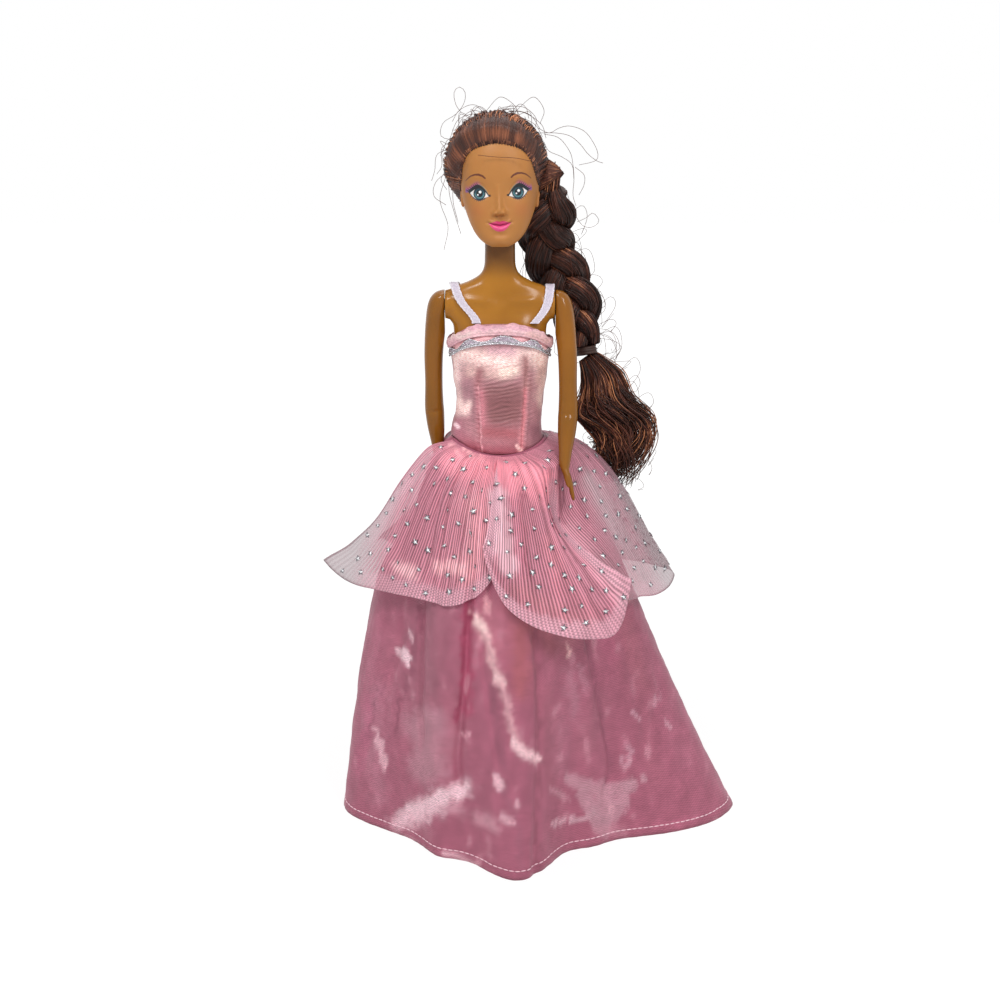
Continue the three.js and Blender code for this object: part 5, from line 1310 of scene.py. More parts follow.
def buildTail():
    tail = {"threads": 700, "steps": 36, "halfWidth": 13.5, "halfDepth": 7.6, "seed": 8}
    shares = [[0, 0.26], [0.2, 0.6], [0.4, 0.9], [0.6, 0.95], [0.8, 0.8], [1, 0.5]]
    rng = np.random.default_rng(tail["seed"])
    count, steps = tail["threads"], tail["steps"]
    line, tangent, across, out, _ = braidFrame(tailRoute, steps)
    t = np.linspace(0, 1, steps)[None]
    width = readTable(shares, t, 1)
    lock = rng.integers(0, 26, count)
    lockAngle, lockReach = rng.uniform(0, turn, 26), np.sqrt(rng.uniform(0.05, 1, 26))
    angle = lockAngle[lock][:, None] + rng.normal(0, 0.22, (count, 1))
    reach = np.clip(lockReach[lock][:, None] + rng.normal(0, 0.12, (count, 1)), 0, 1.08)
    phase = rng.uniform(0, turn, 26)[lock][:, None] + rng.normal(0, 0.25, (count, 1))
    waves = rng.uniform(1.1, 1.9, 26)[lock][:, None]
    size = rng.uniform(1.2, 3.6, 26)[lock][:, None] * smoothstep(0.1, 0.6, t)
    x = tail["halfWidth"] * width * reach * np.cos(angle) + size * np.sin(t * waves * turn + phase)
    y = tail["halfDepth"] * width * reach * np.sin(angle) + size * np.cos(t * waves * turn + phase) * 0.7
    # the ends curl, and the strands stop at different lengths
    curl = rng.uniform(-1, 1, (count, 1)) * smoothstep(0.7, 1, t) ** 2
    stop = np.clip(rng.normal(0.93, 0.09, (count, 1)), 0.6, 1.04)
    tt = t * stop
    base = np.stack([np.interp(tt, t[0], line[:, k]) for k in range(3)], -1)
    # some locks turn a loop before they end
    loop = rng.uniform(0.8, 3.6, 26)[lock][:, None] * smoothstep(0.55, 0.9, t)
    spin = phase + t * rng.uniform(7, 15, 26)[lock][:, None]
    x, fall = x + loop * np.cos(spin), loop * np.sin(spin)
    x = x + 2.6 * np.sin(t * 1.7 * turn + 0.6) * smoothstep(0.1, 0.5, t)
    path = base + across[None] * (x + 4.0 * curl)[..., None] + out[None] * (y + 1.8 * curl)[..., None] \
        + tangent[None] * fall[..., None]
    radius = rng.uniform(0.13, 0.23, (count, 1)) * mix(1, 0.5, smoothstep(0.75, 1, t))
    points, faces = strandTubes(path, radius)
    mesh = newMesh("hairTail", points, faces)
    lit = (bump(t - 0.3, 0.1) + bump(t - 0.72, 0.1)) * rng.uniform(0, 0.5, (count, 1))
    tone = rng.normal(0.3, 0.18, (count, 1, 1)) + lit[..., None] + np.zeros((count, steps, 3))
    addTone(mesh, "tone", np.clip(tone, 0, 1))
    piece = addPiece("hairTail", mesh, hairFibre)
    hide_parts("hair_tail")
    braidBlend(piece)


def buildStrayBraid():
    # fine loose hairs that stand off the braid and its tail
    rng = np.random.default_rng(braid["seed"] + 1)
    route = braidRoute + tailRoute
    line, _ = alongCurve(route, 200)
    paths = []
    for _ in range(64):
        middle = line[rng.integers(20, 198)]
        side = np.sign(rng.uniform(-0.35, 1)) * np.array([1, rng.normal(0, 0.3), rng.normal(0, 0.4)])
        reach, fall = rng.uniform(8, 17), rng.uniform(4, 13)
        points = [middle + side * 3, middle + side * reach * 0.8 + [0, 0, rng.uniform(-2, 5)],
                  middle + side * reach + [0, 0, -fall * 0.5],
                  middle + side * reach * rng.uniform(0.5, 0.9) - [0, 0, fall],
                  middle + side * reach * rng.uniform(0.7, 1.0) - [0, 0, fall * 0.8]]
        paths.append(alongCurve(points, 26)[0])
    points, faces = strandTubes(np.array(paths), np.full((len(paths), 26), 0.095))
    mesh = newMesh("strayBraidHair", points, faces)
    addTone(mesh, "tone", np.full(len(points), 0.45))
    braidBlend(addPiece("strayBraidHair", mesh, hairFibre))


buildBraid()
buildTie()
buildTail()
buildStrayBraid()
print("hair done")

gown = {
    "gap": 0.6, "cloth": 0.8, "ribbon": 0.5, "touch": 0.3, "seam": 168.003, "dip": 5, "waist": (18.4, 14.2),
    "neckline": 214.602, "armholeDrop": 6.5, "backDrop": 6, "hem": 46, "band": 4, "trim": 3.2,
    "ease": (2.6, 40, 4, 6.5), "tuck": 0.5, "hemLine": 3.7, "columns": (320, 110), "rows": 98,
}
skirtProfile = [
    [0, 0], [0.045, 0.36], [0.12, 0.58], [0.25, 0.76], [0.4, 0.88], [0.6, 0.955], [0.8, 0.985], [1, 1],
]
# Broad folds: angle, spread and rise at the hem, and how fast they grow downwards
skirtFolds = [
    (2, 25, 58, 1.5), (-82, 16, 12.8, 0.8), (-40, 9, 3.2, 1), (-122, 9, 2.6, 0.9), (178, 24, 24, 0.85),
    (142, 11, 7, 0.8), (110, 12, 9, 0.8), (75, 12, 8, 0.8), (42, 11, 8, 0.9),
]
# Creases: places (angle, height) along each, half width in degrees, depth (negative stands out)
skirtCreases = [
    ([(-139, 122), (-138.8, 107), (-137.2, 86), (-136.8, 62), (-135, 50)], 2.0, 1.5),
    ([(-107, 128), (-107.7, 114), (-108.5, 86), (-110.8, 63), (-112.8, 45), (-112, 32)], 2.1, 2.1),
    ([(-104, 112), (-102.6, 105), (-93.8, 95), (-90, 83), (-84.5, 66), (-80.8, 53), (-79, 44)], 2.4, -1.3),
    ([(-97, 118), (-100, 100), (-97, 80), (-93.6, 65), (-91.2, 50), (-89, 36)], 2.2, 1.1),
    ([(-75, 118), (-74.4, 108), (-72.7, 82), (-73.3, 56), (-75.3, 24), (-76, 6)], 1.7, 1.3),
    ([(-42, 104), (-39.3, 91), (-34.5, 66), (-30, 41), (-30, 30), (-34, 24)], 2.6, 1.7),
    ([(-152, 92), (-157, 78), (-160.2, 56), (-166, 40), (-170, 30)], 2.6, 1.6),
    ([(-154, 44), (-149, 52), (-144, 61)], 2.4, 1.2),
    ([(-9.2, 62), (-13, 55), (-15, 48), (-10.6, 42)], 1.6, 0.9),
    ([(60, 120), (62, 90), (58, 55), (60, 20)], 2.6, 1.8),
    ([(92, 115), (95, 80), (91, 45), (93, 10)], 2.6, 0.9),
    ([(125, 118), (128, 88), (124, 50), (127, 15)], 2.6, 1.0),
    ([(30, 100), (26, 70), (29, 35)], 2.4, 1.4),
    ([(160, 95), (157, 60), (161, 25)], 2.4, 1.4),
]
# Where the satin turns to or from the light, as seen from the front: points in the picture,
# half width, colour, strength and hardness of the edge
skirtStrokes = [
    ([(372, 600), (366, 660), (362, 720)], 11, "b2697e", 0.8, 2),
    ([(438, 600), (433, 640), (428, 690)], 20, "985d6d", 0.9, 2),
    ([(424, 726), (436, 742), (428, 764)], 21, "b27c8a", 0.85, 5), ([(440, 716), (452, 740)], 9, "b98493", 0.7, 3),
    ([(395, 640), (385, 690)], 8, "ac6679", 0.7, 2),
    ([(455, 700), (452, 750)], 12, "a46072", 0.8, 2),
    ([(490, 605), (495, 650)], 14, "b06a7a", 0.75, 2),
    ([(530, 620), (545, 600)], 14, "ab6a74", 0.7, 2),
    ([(520, 630), (522, 690)], 11, "a0585f", 0.8, 2), ([(512, 606), (540, 622), (552, 646)], 11, "9c5662", 0.8, 2),
    ([(468, 596), (470, 660), (466, 710)], 5, "a84764", 0.7, 2),
    ([(600, 600), (612, 650)], 9, "b3607a", 0.7, 2),
    ([(366, 700), (356, 770)], 8, "b4657f", 0.6, 2),
    ([(575, 610), (570, 632)], 16, "b5767f", 0.6, 2),
    ([(625, 620), (640, 680)], 16, "a3606f", 0.7, 2),
    ([(655, 650), (690, 760)], 12, "ad6a7d", 0.6, 2), ([(380, 690), (374, 760), (380, 800)], 9, "b07485", 0.6, 2),
    ([(640, 700), (655, 780)], 10, "a05c6e", 0.6, 2), ([(545, 690), (550, 780)], 9, "a05a6c", 0.6, 2),
    ([(600, 700), (585, 745)], 12, "9f5f70", 0.7, 2),
    ([(571, 672), (574, 715)], 6, "ae7686", 0.6, 2),
    ([(560, 720), (560, 770)], 10, "a56678", 0.6, 2),
    ([(421, 599), (416, 651), (406, 685), (395, 732)], 2.4, "85495b", 0.75, 2),
    ([(393, 659), (369, 727), (353, 764)], 2.0, "8c5064", 0.6, 2),
    ([(466, 590), (464.6, 651), (460.7, 690), (457, 722)], 2.8, "943f58", 0.9, 2),
    ([(489, 650), (497, 735), (505, 770)], 2.2, "8f5265", 0.6, 2),
    ([(505, 790), (518, 826), (521, 866)], 3.0, "965a6c", 0.6, 2),
    ([(533, 625), (536.5, 664), (539, 717), (538, 795), (536, 866)], 2.4, "8c4e5e", 0.7, 2),
    ([(587.5, 646), (602, 730), (613, 772)], 3.0, "8e5063", 0.7, 2),
    ([(618, 640), (634, 702), (640, 735)], 2.4, "96586a", 0.5, 2),
    ([(401, 650), (408, 661)], 5.2, "e6c2cb", 0.95, 5),
    ([(411, 634), (413, 640)], 2.2, "dcb2bc", 0.8, 3),
    ([(377, 733), (381, 752), (385, 768)], 3.6, "dca9b5", 0.85, 3),
    ([(476, 618), (487, 640), (493, 662), (499, 681)], 5.0, "e0adb2", 0.9, 2.5),
    ([(478, 622), (484, 628)], 4.2, "f0cac8", 0.9, 3),
    ([(496, 678), (504, 684)], 4.2, "efc6c8", 0.9, 3),
    ([(500, 684), (507, 705), (512, 728), (518, 744)], 4.8, "d29ba4", 0.85, 2.5),
    ([(513, 742), (522, 752), (534, 757)], 5.2, "edc2c8", 0.95, 3.5),
    ([(484, 596), (488, 612)], 3.2, "d79ba3", 0.7, 3),
    ([(566, 646), (568, 655)], 3.0, "dfaeae", 0.85, 3),
    ([(582, 668), (586, 690)], 3.0, "b98292", 0.5, 2),
    ([(404, 818), (425, 806), (445, 797), (464, 788)], 9.5, "e6c1ca", 0.95, 3),
    ([(398, 824), (420, 818), (440, 808)], 7.5, "ddb2bd", 0.75, 2),
    ([(452, 806), (462, 812)], 5.5, "c995a2", 0.6, 2),
    ([(496, 778), (501, 788)], 4.6, "dfb0bb", 0.9, 4),
    ([(480, 818), (492, 824)], 7.0, "cb95a2", 0.7, 2.5),
    ([(503, 818), (511, 822)], 4.0, "dba9b5", 0.85, 3),
    ([(516, 800), (518, 808)], 2.4, "dcaab6", 0.7, 3),
    ([(372, 834), (392, 836), (412, 843)], 3.6, "dfabb7", 0.8, 2.5),
    ([(446, 855), (462, 861), (474, 866)], 4.4, "e0b4be", 0.8, 2.5),
    ([(462, 735), (468, 733)], 2.6, "d79daa", 0.8, 3),
    ([(572, 780), (598, 790), (628, 786)], 7.0, "b88693", 0.85, 6),
    ([(606, 800), (602, 826)], 10.0, "b98794", 0.85, 6), ([(584, 794), (598, 820)], 8, "b68592", 0.85, 6),
    ([(630, 788), (610, 820)], 8, "b68592", 0.85, 6),
    ([(636, 782), (642, 776)], 4.0, "bd8d99", 0.8, 5),
    ([(556, 826), (580, 818), (596, 814)], 2.4, "c69ba6", 0.85, 3),
    ([(552, 790), (566, 798)], 3.0, "bd8995", 0.7, 3),
    ([(600, 828), (622, 832)], 6.0, "bb8190", 0.6, 2),
    ([(624, 766), (630, 748)], 3.4, "c092a0", 0.6, 3),
    ([(633, 712), (638, 718)], 2.0, "cc9dab", 0.7, 3),
    ([(667, 723), (671, 728)], 1.6, "d2a6b2", 0.8, 3),
    ([(659, 692), (652, 708)], 1.4, "bd8c9b", 0.6, 2),
    ([(618, 603), (627, 598)], 3.0, "e8c0c0", 0.8, 3),
    ([(652, 826), (690, 818), (726, 806)], 4.5, "b1637a", 0.7, 3),
    ([(400, 845), (440, 858), (500, 876)], 3.0, "b4637b", 0.5, 3),
]
# The same for the sides and the back, where angle and height stand for the picture: both in the doll's own sizes
backStrokes = [
    ([(40, 74), (42, 46)], 4, "d9a4b0", 0.7, 2), ([(78, 55), (76, 28)], 4, "e0b4bf", 0.8, 2.5),
    ([(108, 90), (110, 58)], 4, "d59fac", 0.7, 2), ([(143, 58), (139, 36)], 5, "dfb2bd", 0.8, 2.5),
    ([(170, 86), (172, 56)], 4, "cf98a6", 0.6, 2), ([(10, 40), (16, 22)], 7, "c99aa6", 0.6, 2),
    ([(60, 118), (62, 88), (58, 52), (60, 16)], 2.4, "8c4e60", 0.7, 2),
    ([(93, 112), (96, 80), (92, 45), (94, 10)], 2.4, "8c4e60", 0.7, 2),
    ([(126, 116), (129, 86), (125, 50), (128, 15)], 2.4, "8c4e60", 0.7, 2),
    ([(30, 98), (26, 70), (29, 35)], 2.2, "8f5265", 0.6, 2), ([(160, 92), (157, 60),
      (161, 25)], 2.2, "8f5265", 0.6, 2),
]
# Painted highlights and shade on the front of the bodice: points in the picture, half width, colour, strength and
# hardness of the edge
bodiceStrokes = [
    ([(452, 350), (480, 359), (505, 362), (530, 357), (552, 350)], 11, "ecccc6", 0.95, 2.5),
    ([(541, 360), (546, 385), (541, 402)], 7, "e5c4ba", 0.9, 2),
    ([(454, 358), (455, 385), (456, 408)], 6, "edcfcb", 0.9, 2),
    ([(456, 412), (466, 410)], 6, "e0bdba", 0.85, 2.5),
    ([(470, 372), (489, 374), (509, 376)], 6, "e2bdb4", 0.6, 2),
    ([(503, 372), (516, 371)], 5, "f0d6c9", 0.85, 2),
    ([(455, 345), (480, 338), (500, 336), (530, 338), (548, 346)], 4, "e8b0b4", 0.9, 2),
    ([(492, 351), (512, 352)], 5, "d0a2ae", 0.6, 2),
    ([(490, 392), (517, 392)], 9, "9c686a", 0.95, 2.5),
    ([(489, 404), (516, 404)], 11, "945f62", 1.0, 2.5),
    ([(494, 417), (514, 416)], 9, "935e60", 0.95, 2),
    ([(467, 385), (468, 396)], 6.5, "a87881", 0.9, 2.5),
    ([(480, 372), (479, 385)], 4.8, "a86f74", 0.95, 2.2),
    ([(525, 360), (526, 376), (527, 388)], 5.2, "b07c7c", 0.9, 2.2),
    ([(542, 370), (538, 382)], 4, "c29792", 0.7, 2),
    ([(459, 402), (465, 411), (469, 404)], 4.5, "e8c8c3", 0.85, 2),
    ([(475, 398), (475, 420)], 3.4, "a4727a", 0.8, 2),
    ([(534, 404), (534, 424)], 5, "b47e85", 0.85, 2),
    ([(456, 424), (458, 438)], 8, "ad6c7b", 0.9, 2),
    ([(462, 440), (474, 448)], 7, "b16d7b", 0.85, 2),
    ([(486, 432), (515, 434)], 8, "ad6068", 0.9, 2),
    ([(470, 448), (492, 452), (520, 451)], 8, "a95765", 0.9, 2),
    ([(535, 430), (537, 446)], 7, "94606b", 0.9, 2),
    ([(525.6, 390), (524, 418), (521, 444), (519, 454)], 2.6, "cf8289", 0.95, 2),
    ([(482, 394), (483, 424)], 5, "cb7f8a", 0.8, 2),
    ([(478.4, 386), (480, 415), (481.4, 452)], 0.9, "e2a2aa", 0.6, 3),
    ([(455, 424), (458, 427)], 2.2, "ecc9cf", 0.9, 3),
    ([(517, 446), (521, 451)], 2.2, "eec0bd", 0.85, 3),
]
# Painted highlights and shade along the neckline band, in the same way
bandStrokes = [
    ([(446, 338), (462, 333), (500, 331), (540, 334), (556, 345)], 6, "ebc1c4", 0.85, 2),
    ([(470, 328), (500, 328), (530, 329)], 2.4, "dda4b6", 0.7, 2),
    ([(452, 338), (470, 335)], 3, "ecd2cd", 0.7, 2),
    ([(530, 334), (548, 341)], 3.5, "e7b7b4", 0.8, 2),
]
# Painted highlights and shade on the petals where they lie over the skirt, in the same way
petalStrokes = [
    ([(452, 446), (463, 462)], 3.2, "f4bcc2", 0.85, 3), ([(464, 448), (478, 466)], 3.6, "f8c9cc", 0.85, 3),
    ([(478, 456), (490, 474)], 4.0, "f6c2c6", 0.8, 3), ([(505, 470), (520, 478)], 5.0, "f3adb6", 0.7, 2.5),
    ([(455, 447), (446, 470), (440, 486)], 1.5, "a86474", 0.8, 2), ([(466, 450), (459, 474),
      (452, 500)], 1.4, "ad6878", 0.75, 2),
    ([(477, 452), (472, 480), (468, 510)], 1.4, "b06c7b", 0.7, 2), ([(492, 456), (494, 480),
      (490, 505)], 1.4, "b46f7e", 0.7, 2),
    ([(520, 460), (528, 490)], 1.4, "b46f7e", 0.6, 2), ([(536, 460), (546, 496), (556, 530)], 1.4, "ac6676", 0.7, 2),
    ([(452, 462), (480, 467), (510, 470), (545, 478)], 13, "ee9dab", 0.9, 2),
    ([(470, 470), (500, 480), (540, 492)], 14, "e395a3", 0.8, 2),
    ([(425, 480), (405, 520), (392, 560)], 16, "b97a8a", 0.85, 2),
    ([(452, 500), (448, 560)], 10, "c78695", 0.6, 2),
    ([(474, 500), (478, 540), (470, 575)], 13, "e2a4ae", 0.8, 2), ([(486, 490), (484, 530)], 8, "dd9aa6", 0.7, 2),
    ([(400, 568), (412, 572)], 7, "ecbcc2", 0.85, 2.5),
    ([(438, 566), (462, 568)], 7, "ecb6bc", 0.8, 2.5),
    ([(498, 496), (500, 530), (508, 566)], 10, "e6bcc6", 0.9, 4), ([(522, 492), (523, 535),
      (530, 580)], 2.4, "a86474", 0.8, 2),
    ([(524, 505), (528, 540)], 7, "be7c8b", 0.8, 2),
    ([(548, 540), (560, 575)], 9, "c27e8b", 0.8, 2),
    ([(570, 530), (600, 570), (620, 596)], 9, "d49daa", 0.7, 2),
    ([(520, 590), (550, 612), (590, 622)], 13, "bb7b86", 0.8, 2), ([(560, 590), (600, 612)], 9, "b57280", 0.6, 2),
    ([(590, 480), (620, 530), (650, 575)], 12, "b39aa0", 0.8, 2),
]


def paintStrokes(base, x, y, strokes, share=1.0, gain=1.0):
    # soft strokes of colour over a base; a high hardness gives a flat middle and a crisp edge
    colour = np.ones(np.shape(x) + (3,)) * linear(base)
    for line, width, hexColour, strength, hardness in strokes:
        gap, _ = nearLine(x, y, line)
        mask = strength * np.exp(-(gap / width) ** hardness) * share
        colour = mix(colour, linear(hexColour) * gain, mask[..., None])
    return colour


def frontPaint(base, points, strokes, behind=(), torn=2.2, gain=1.0):
    # strokes seen from the front stay on the front, and the back has its own
    x, y = seenAt(points)
    ragged = torn * (wobble(points[..., 0], points[..., 1], points[..., 2], 3.4, 12)
                     + 1.6 * wobble(points[..., 0], points[..., 1], points[..., 2], 9, 13))
    facing = smoothstep(0.0, 0.25, -points[..., 1] / np.hypot(points[..., 0], points[..., 1]))
    colour = paintStrokes(base, x + ragged, y + 0.8 * ragged, strokes, facing, gain)
    if behind:
        degrees = np.degrees(np.arctan2(points[..., 1], points[..., 0]))
        other = paintStrokes(base, degrees, points[..., 2], behind)
        colour = mix(other, colour, facing[..., None])
    return colour


def steady(value):
    return lambda angle: value + 0 * angle


def seamAt(x, facing):
    side = np.minimum(1, np.abs(x) / gown["waist"][0])
    return gown["seam"] - np.where(facing, gown["dip"] * (1 - side ** 2), 0)


def easeAt(angle, height):
    # the cloth stands off the waist a little on the doll's right
    ease, spread, rise, tall = gown["ease"]
    return ease * bump(angleGap(np.degrees(angle), 180), spread) * bump(height - gown["seam"] - rise, tall)


def bodiceSeamAt(angle):
    place = torsoPoint(angle, gown["seam"], gown["gap"] + gown["cloth"] + easeAt(angle, gown["seam"]))
    return seamAt(place[..., 0], place[..., 1] < 0) + gown["touch"]


def waistAt(angle):
    wide, deep = gown["waist"]
    return 1 / np.hypot(np.cos(angle) / wide, np.sin(angle) / deep) + easeAt(angle, gown["seam"])


def skirtSeamAt(angle):
    return seamAt(waistAt(angle) * np.cos(angle), np.sin(angle) < 0) - gown["touch"]


def necklineAt(angle):
    side, behind = np.abs(np.cos(angle)) ** 3, np.maximum(0, np.sin(angle))
    return gown["neckline"] - gown["armholeDrop"] * side - gown["backDrop"] * behind * (1 - side)


def hipsAt(angle, height):
    width, depth = torsoSize(height, angle < 0)
    return (np.abs(np.cos(angle) / width) ** body["round"]
            + np.abs(np.sin(angle) / depth) ** body["round"]) ** (-1 / body["round"])


def clothPiece(name, outer, inner, material, colours=None, tones=None):
    # a sheet with real thickness; its UV map follows the cloth in millimetres
    rows, columns = outer.shape[:2]
    count = rows * columns
    points = np.concatenate([outer.reshape(-1, 3), inner.reshape(-1, 3)])
    front = gridFaces(rows, columns)
    index = np.arange(count).reshape(rows, columns)
    edge = np.concatenate([index[0, :-1], index[:-1, -1], index[-1, :0:-1], index[:0:-1, 0]])
    after = np.roll(edge, -1)
    rim = np.stack([after, edge, edge + count, after + count], -1)
    faces = outwards(points, [front, front[:, ::-1] + count, rim])
    mesh = newMesh(name, points, faces)
    middle = outer[rows // 2]
    across = np.concatenate([[0], np.cumsum(np.linalg.norm(np.diff(middle, axis=0), axis=1))])
    down = np.concatenate([np.zeros((1, columns)), np.cumsum(np.linalg.norm(np.diff(outer, axis=0), axis=2), axis=0)])
    uv = np.stack([across[None] + 0 * down, down], -1).reshape(-1, 2)
    addUv(mesh, "cloth", np.concatenate([uv, uv]))
    if colours is not None:
        flat = colours.reshape(-1, 3)
        addColour(mesh, "tint", np.concatenate([flat, flat]))
    for key, values in (tones or {}).items():
        values = np.broadcast_to(values, (rows, columns)).ravel()
        addTone(mesh, key, np.concatenate([values, values]))
    piece = addPiece(name, mesh, material)
    placePiece(piece)
    return piece


def panel(name, span, lowAt, highAt, offsetAt, thickness, grid, material, relief=None, paint=None):
    u, v = np.meshgrid(np.linspace(0, 1, grid[0]), np.linspace(0, 1, grid[1]))
    angle = mix(span[0], span[1], u)
    z = mix(lowAt(angle), highAt(angle), v)
    offset = offsetAt(angle) + easeAt(angle, z)
    x = torsoPoint(angle, z)[..., 0]
    rise = relief(x, z, angle, v) if relief else 0
    outer = torsoPoint(angle, z, offset + thickness + rise)
    inner = torsoPoint(angle, z, offset + np.minimum(rise, 0) * 0.5)
    return clothPiece(name, outer, inner, material, paint(outer) if paint else None)


def frontRelief(x, z, angle, v):
    # darts, the cloth's pull between them and the dents under the bust
    rise = 0.5 * wobble(x, z, 0 * x, 9, 21) * smoothstep(207, 202, z)
    for place, lean, top in ((-8.3, -0.033, 200), (9.3, 0.055, 206)):
        dart = place + lean * (z - 186)
        rise += (-0.42 * bump(x - dart, 0.42) + 0.3 * bump(np.abs(x - dart) - 1.2, 0.8)) * smoothstep(top, top - 7, z)
        rise += 0.14 * np.sin(z * turn / 1.9 + x) * bump(x - dart, 1.5) * smoothstep(top, top - 7, z)
    between = bump(x, 9) * smoothstep(174, 179, z) * (1 - smoothstep(193, 200, z))
    wave = z - 0.18 * x + 0.8 * wobble(x, z, 0 * x, 9, 4)
    rise += 0.3 * np.sin(wave * turn / 1.7) * between * (0.5 + 0.7 * wobble(x, z, 0 * x, 6, 9))
    rise += 0.12 * np.sin(wave * turn / 1.5 + 1) * bump(x, 12) * smoothstep(168, 174, z) \
        * (1 - smoothstep(200, 205, z))
    for cx, cz, wide, tall, deep in ((-8.3, 203, 1.6, 2.2, 0.55), (10.4, 206, 1.6, 3, 0.5),
                                     (-13, 194, 2.2, 3.4, 0.6)):
        rise -= deep * bump(np.hypot((x - cx) / wide, (z - cz) / tall), 1)
    rise -= 0.4 * bump(np.hypot((x - 14.5 + 0.25 * (z - 200)) / 1.2, (z - 196) / 8), 1)
    rise -= 0.35 * bump(np.hypot((x - 1) / 6, (z - 205.4) / 1.6), 1)
    rise += 0.45 * bump(z - (199.5 + 0.022 * x ** 2), 1.8) * bump(x, 7)
    return np.clip(rise, -0.45, 1.1) * smoothstep(0, 0.03, v) - 0.2 * (1 - smoothstep(0, 0.02, v))


def backRelief(x, z, angle, v):
    rise = 0.35 * wobble(x, z, 0 * x, 8, 2) * smoothstep(0.02, 0.1, v) * (1 - smoothstep(0.9, 0.98, v))
    rise += 0.2 * np.sin((z + 0.1 * x) * turn / 3.1) * bump(np.abs(x) - 8, 5) * smoothstep(170, 176, z) \
        * (1 - smoothstep(188, 196, z))
    return np.clip(rise, -0.2, 0.25)


def frontColours(points):
    # painted highlights and shade from the bodice strokes, then painted shade along the ripples between the darts
    colour = frontPaint("b9828a", points, bodiceStrokes, torn=0.7, gain=1.12)
    x, z = points[..., 0], points[..., 2]
    lines = np.sin((z - 0.18 * x + 0.8 * wobble(x, z, 0 * x, 9, 4)) * turn / 1.7)
    dark = bump(x, 9) * smoothstep(170, 176, z) * (1 - smoothstep(192, 199, z)) \
        * np.clip(0.5 - 0.7 * lines * (0.5 + 0.9 * wobble(x, z, 0 * x, 5, 14)), 0, 1.2)
    # painted light and shade made stronger: pale places lighter and deep ones darker
    level = 0.84 + 0.62 * colour.mean(-1)
    return colour * ((1 - 0.28 * dark) * level)[..., None]


def backColours(points):
    x, z = points[..., 0], points[..., 2]
    # painted highlight over the shoulder blades, towards the top of the back, with some noise
    pale = 0.25 + 0.6 * bump(np.abs(x) - 9, 4) * smoothstep(180, 194, z) + 0.2 * wobble(x, z, 0 * x, 9, 3)
    return mix(linear("a9707b"), linear("e6c0be"), np.clip(pale, 0, 1)[..., None])


def buildBodice():
    clear = gown["touch"] / body["halfWidth"]
    lap = 4.5 / body["depth"]
    tape = gown["gap"] + gown["cloth"] + gown["touch"]
    lapped = tape + (gown["ribbon"] + gown["touch"]) * 2
    pieces = {}

    def lifted(angle):
        return mix(lapped, gown["gap"], smoothstep(quarter + lap, quarter + lap * 2.6, angle))

    pieces["front"] = panel("bodiceFront", (-half + clear, -clear), bodiceSeamAt, necklineAt, steady(gown["gap"]),
                            gown["cloth"], (190, 136), bodiceSatin, frontRelief, paint=frontColours)
    pieces["left"] = panel("bodiceBackLeft", (clear, quarter + lap), bodiceSeamAt, necklineAt, steady(gown["gap"]),
                           gown["cloth"], (110, 90), bodiceSatin, backRelief, paint=backColours)
    pieces["right"] = panel("bodiceBackRight", (quarter - lap, half - clear), bodiceSeamAt, necklineAt, lifted,
                            gown["cloth"], (110, 90), bodiceSatin, backRelief, paint=backColours)
    top = float(necklineAt(np.array(quarter))) - gown["cloth"] * 2
    inset = lap * 0.85

    def loops(x, z, angle, v):
        return 0.1 * np.abs(np.sin(x * 9) * np.sin(z * 8))

    def hooks(x, z, angle, v):
        return 0.12 * (np.sin(x * 7) * np.sin(z * 7) > 0.5)

    for name, lift, pile in (("loopTape", tape, loops), ("hookTape", tape + gown["ribbon"] + gown["touch"], hooks)):
        pieces[name] = panel(name, (quarter - inset, quarter + inset), steady(top - 26), steady(top), steady(lift),
                             gown["ribbon"] - 0.12, (44, 84), whiteTape, pile)
    return pieces


def bandColours(points):
    grain = wobble(points[..., 0], points[..., 1], points[..., 2], 4, 6)
    return frontPaint("e2adb8", points, bandStrokes) * (1 + 0.12 * grain)[..., None]


def buildBand():
    # the folded top edge: a soft roll with an uneven upper line and a stitched line below
    offset = gown["gap"] + gown["cloth"] + gown["touch"]
    reach = quarter + math.radians(22)

    def low(angle):
        return necklineAt(angle) - gown["band"]

    def high(angle):
        return necklineAt(angle) + 0.42 * np.sin(angle * 9 + 1) + 0.22 * np.sin(angle * 23 + 2)

    def relief(x, z, angle, v):
        rise = 0.62 * np.sin(np.clip(v, 0, 1) * half) ** 0.6 + 0.16 * wobble(x, z, 0 * x, 2.6, 5)
        rise -= 0.3 * bump(v - 0.2, 0.05)
        return rise - 0.18 * np.abs(np.sin(angle * 37 + 3 * wobble(x, z, 0 * x, 6, 2))) * smoothstep(0.3, 0.8, v)

    return panel("necklineBand", (-quarter - reach, -quarter + reach), low, high, steady(offset),
                 gown["cloth"] - 0.1, (300, 22), bandSatin, relief, paint=bandColours)


trimRadius = 19.5
trimPeaks = [-25.5, -12.4, 1.4, 13.8, 26.5]


def trimAlong(angle):
    # distance round the front from the middle, in millimetres
    return (angle + quarter) * trimRadius


def trimTop(angle):
    away = np.min([np.abs(trimAlong(angle) - p) for p in trimPeaks], 0)
    return necklineAt(angle) - gown["band"] - gown["touch"] - 1.75 * smoothstep(0.6, 6.3, away)


def trimLow(angle):
    return necklineAt(angle) - gown["band"] - gown["touch"] - gown["trim"] + 0.35


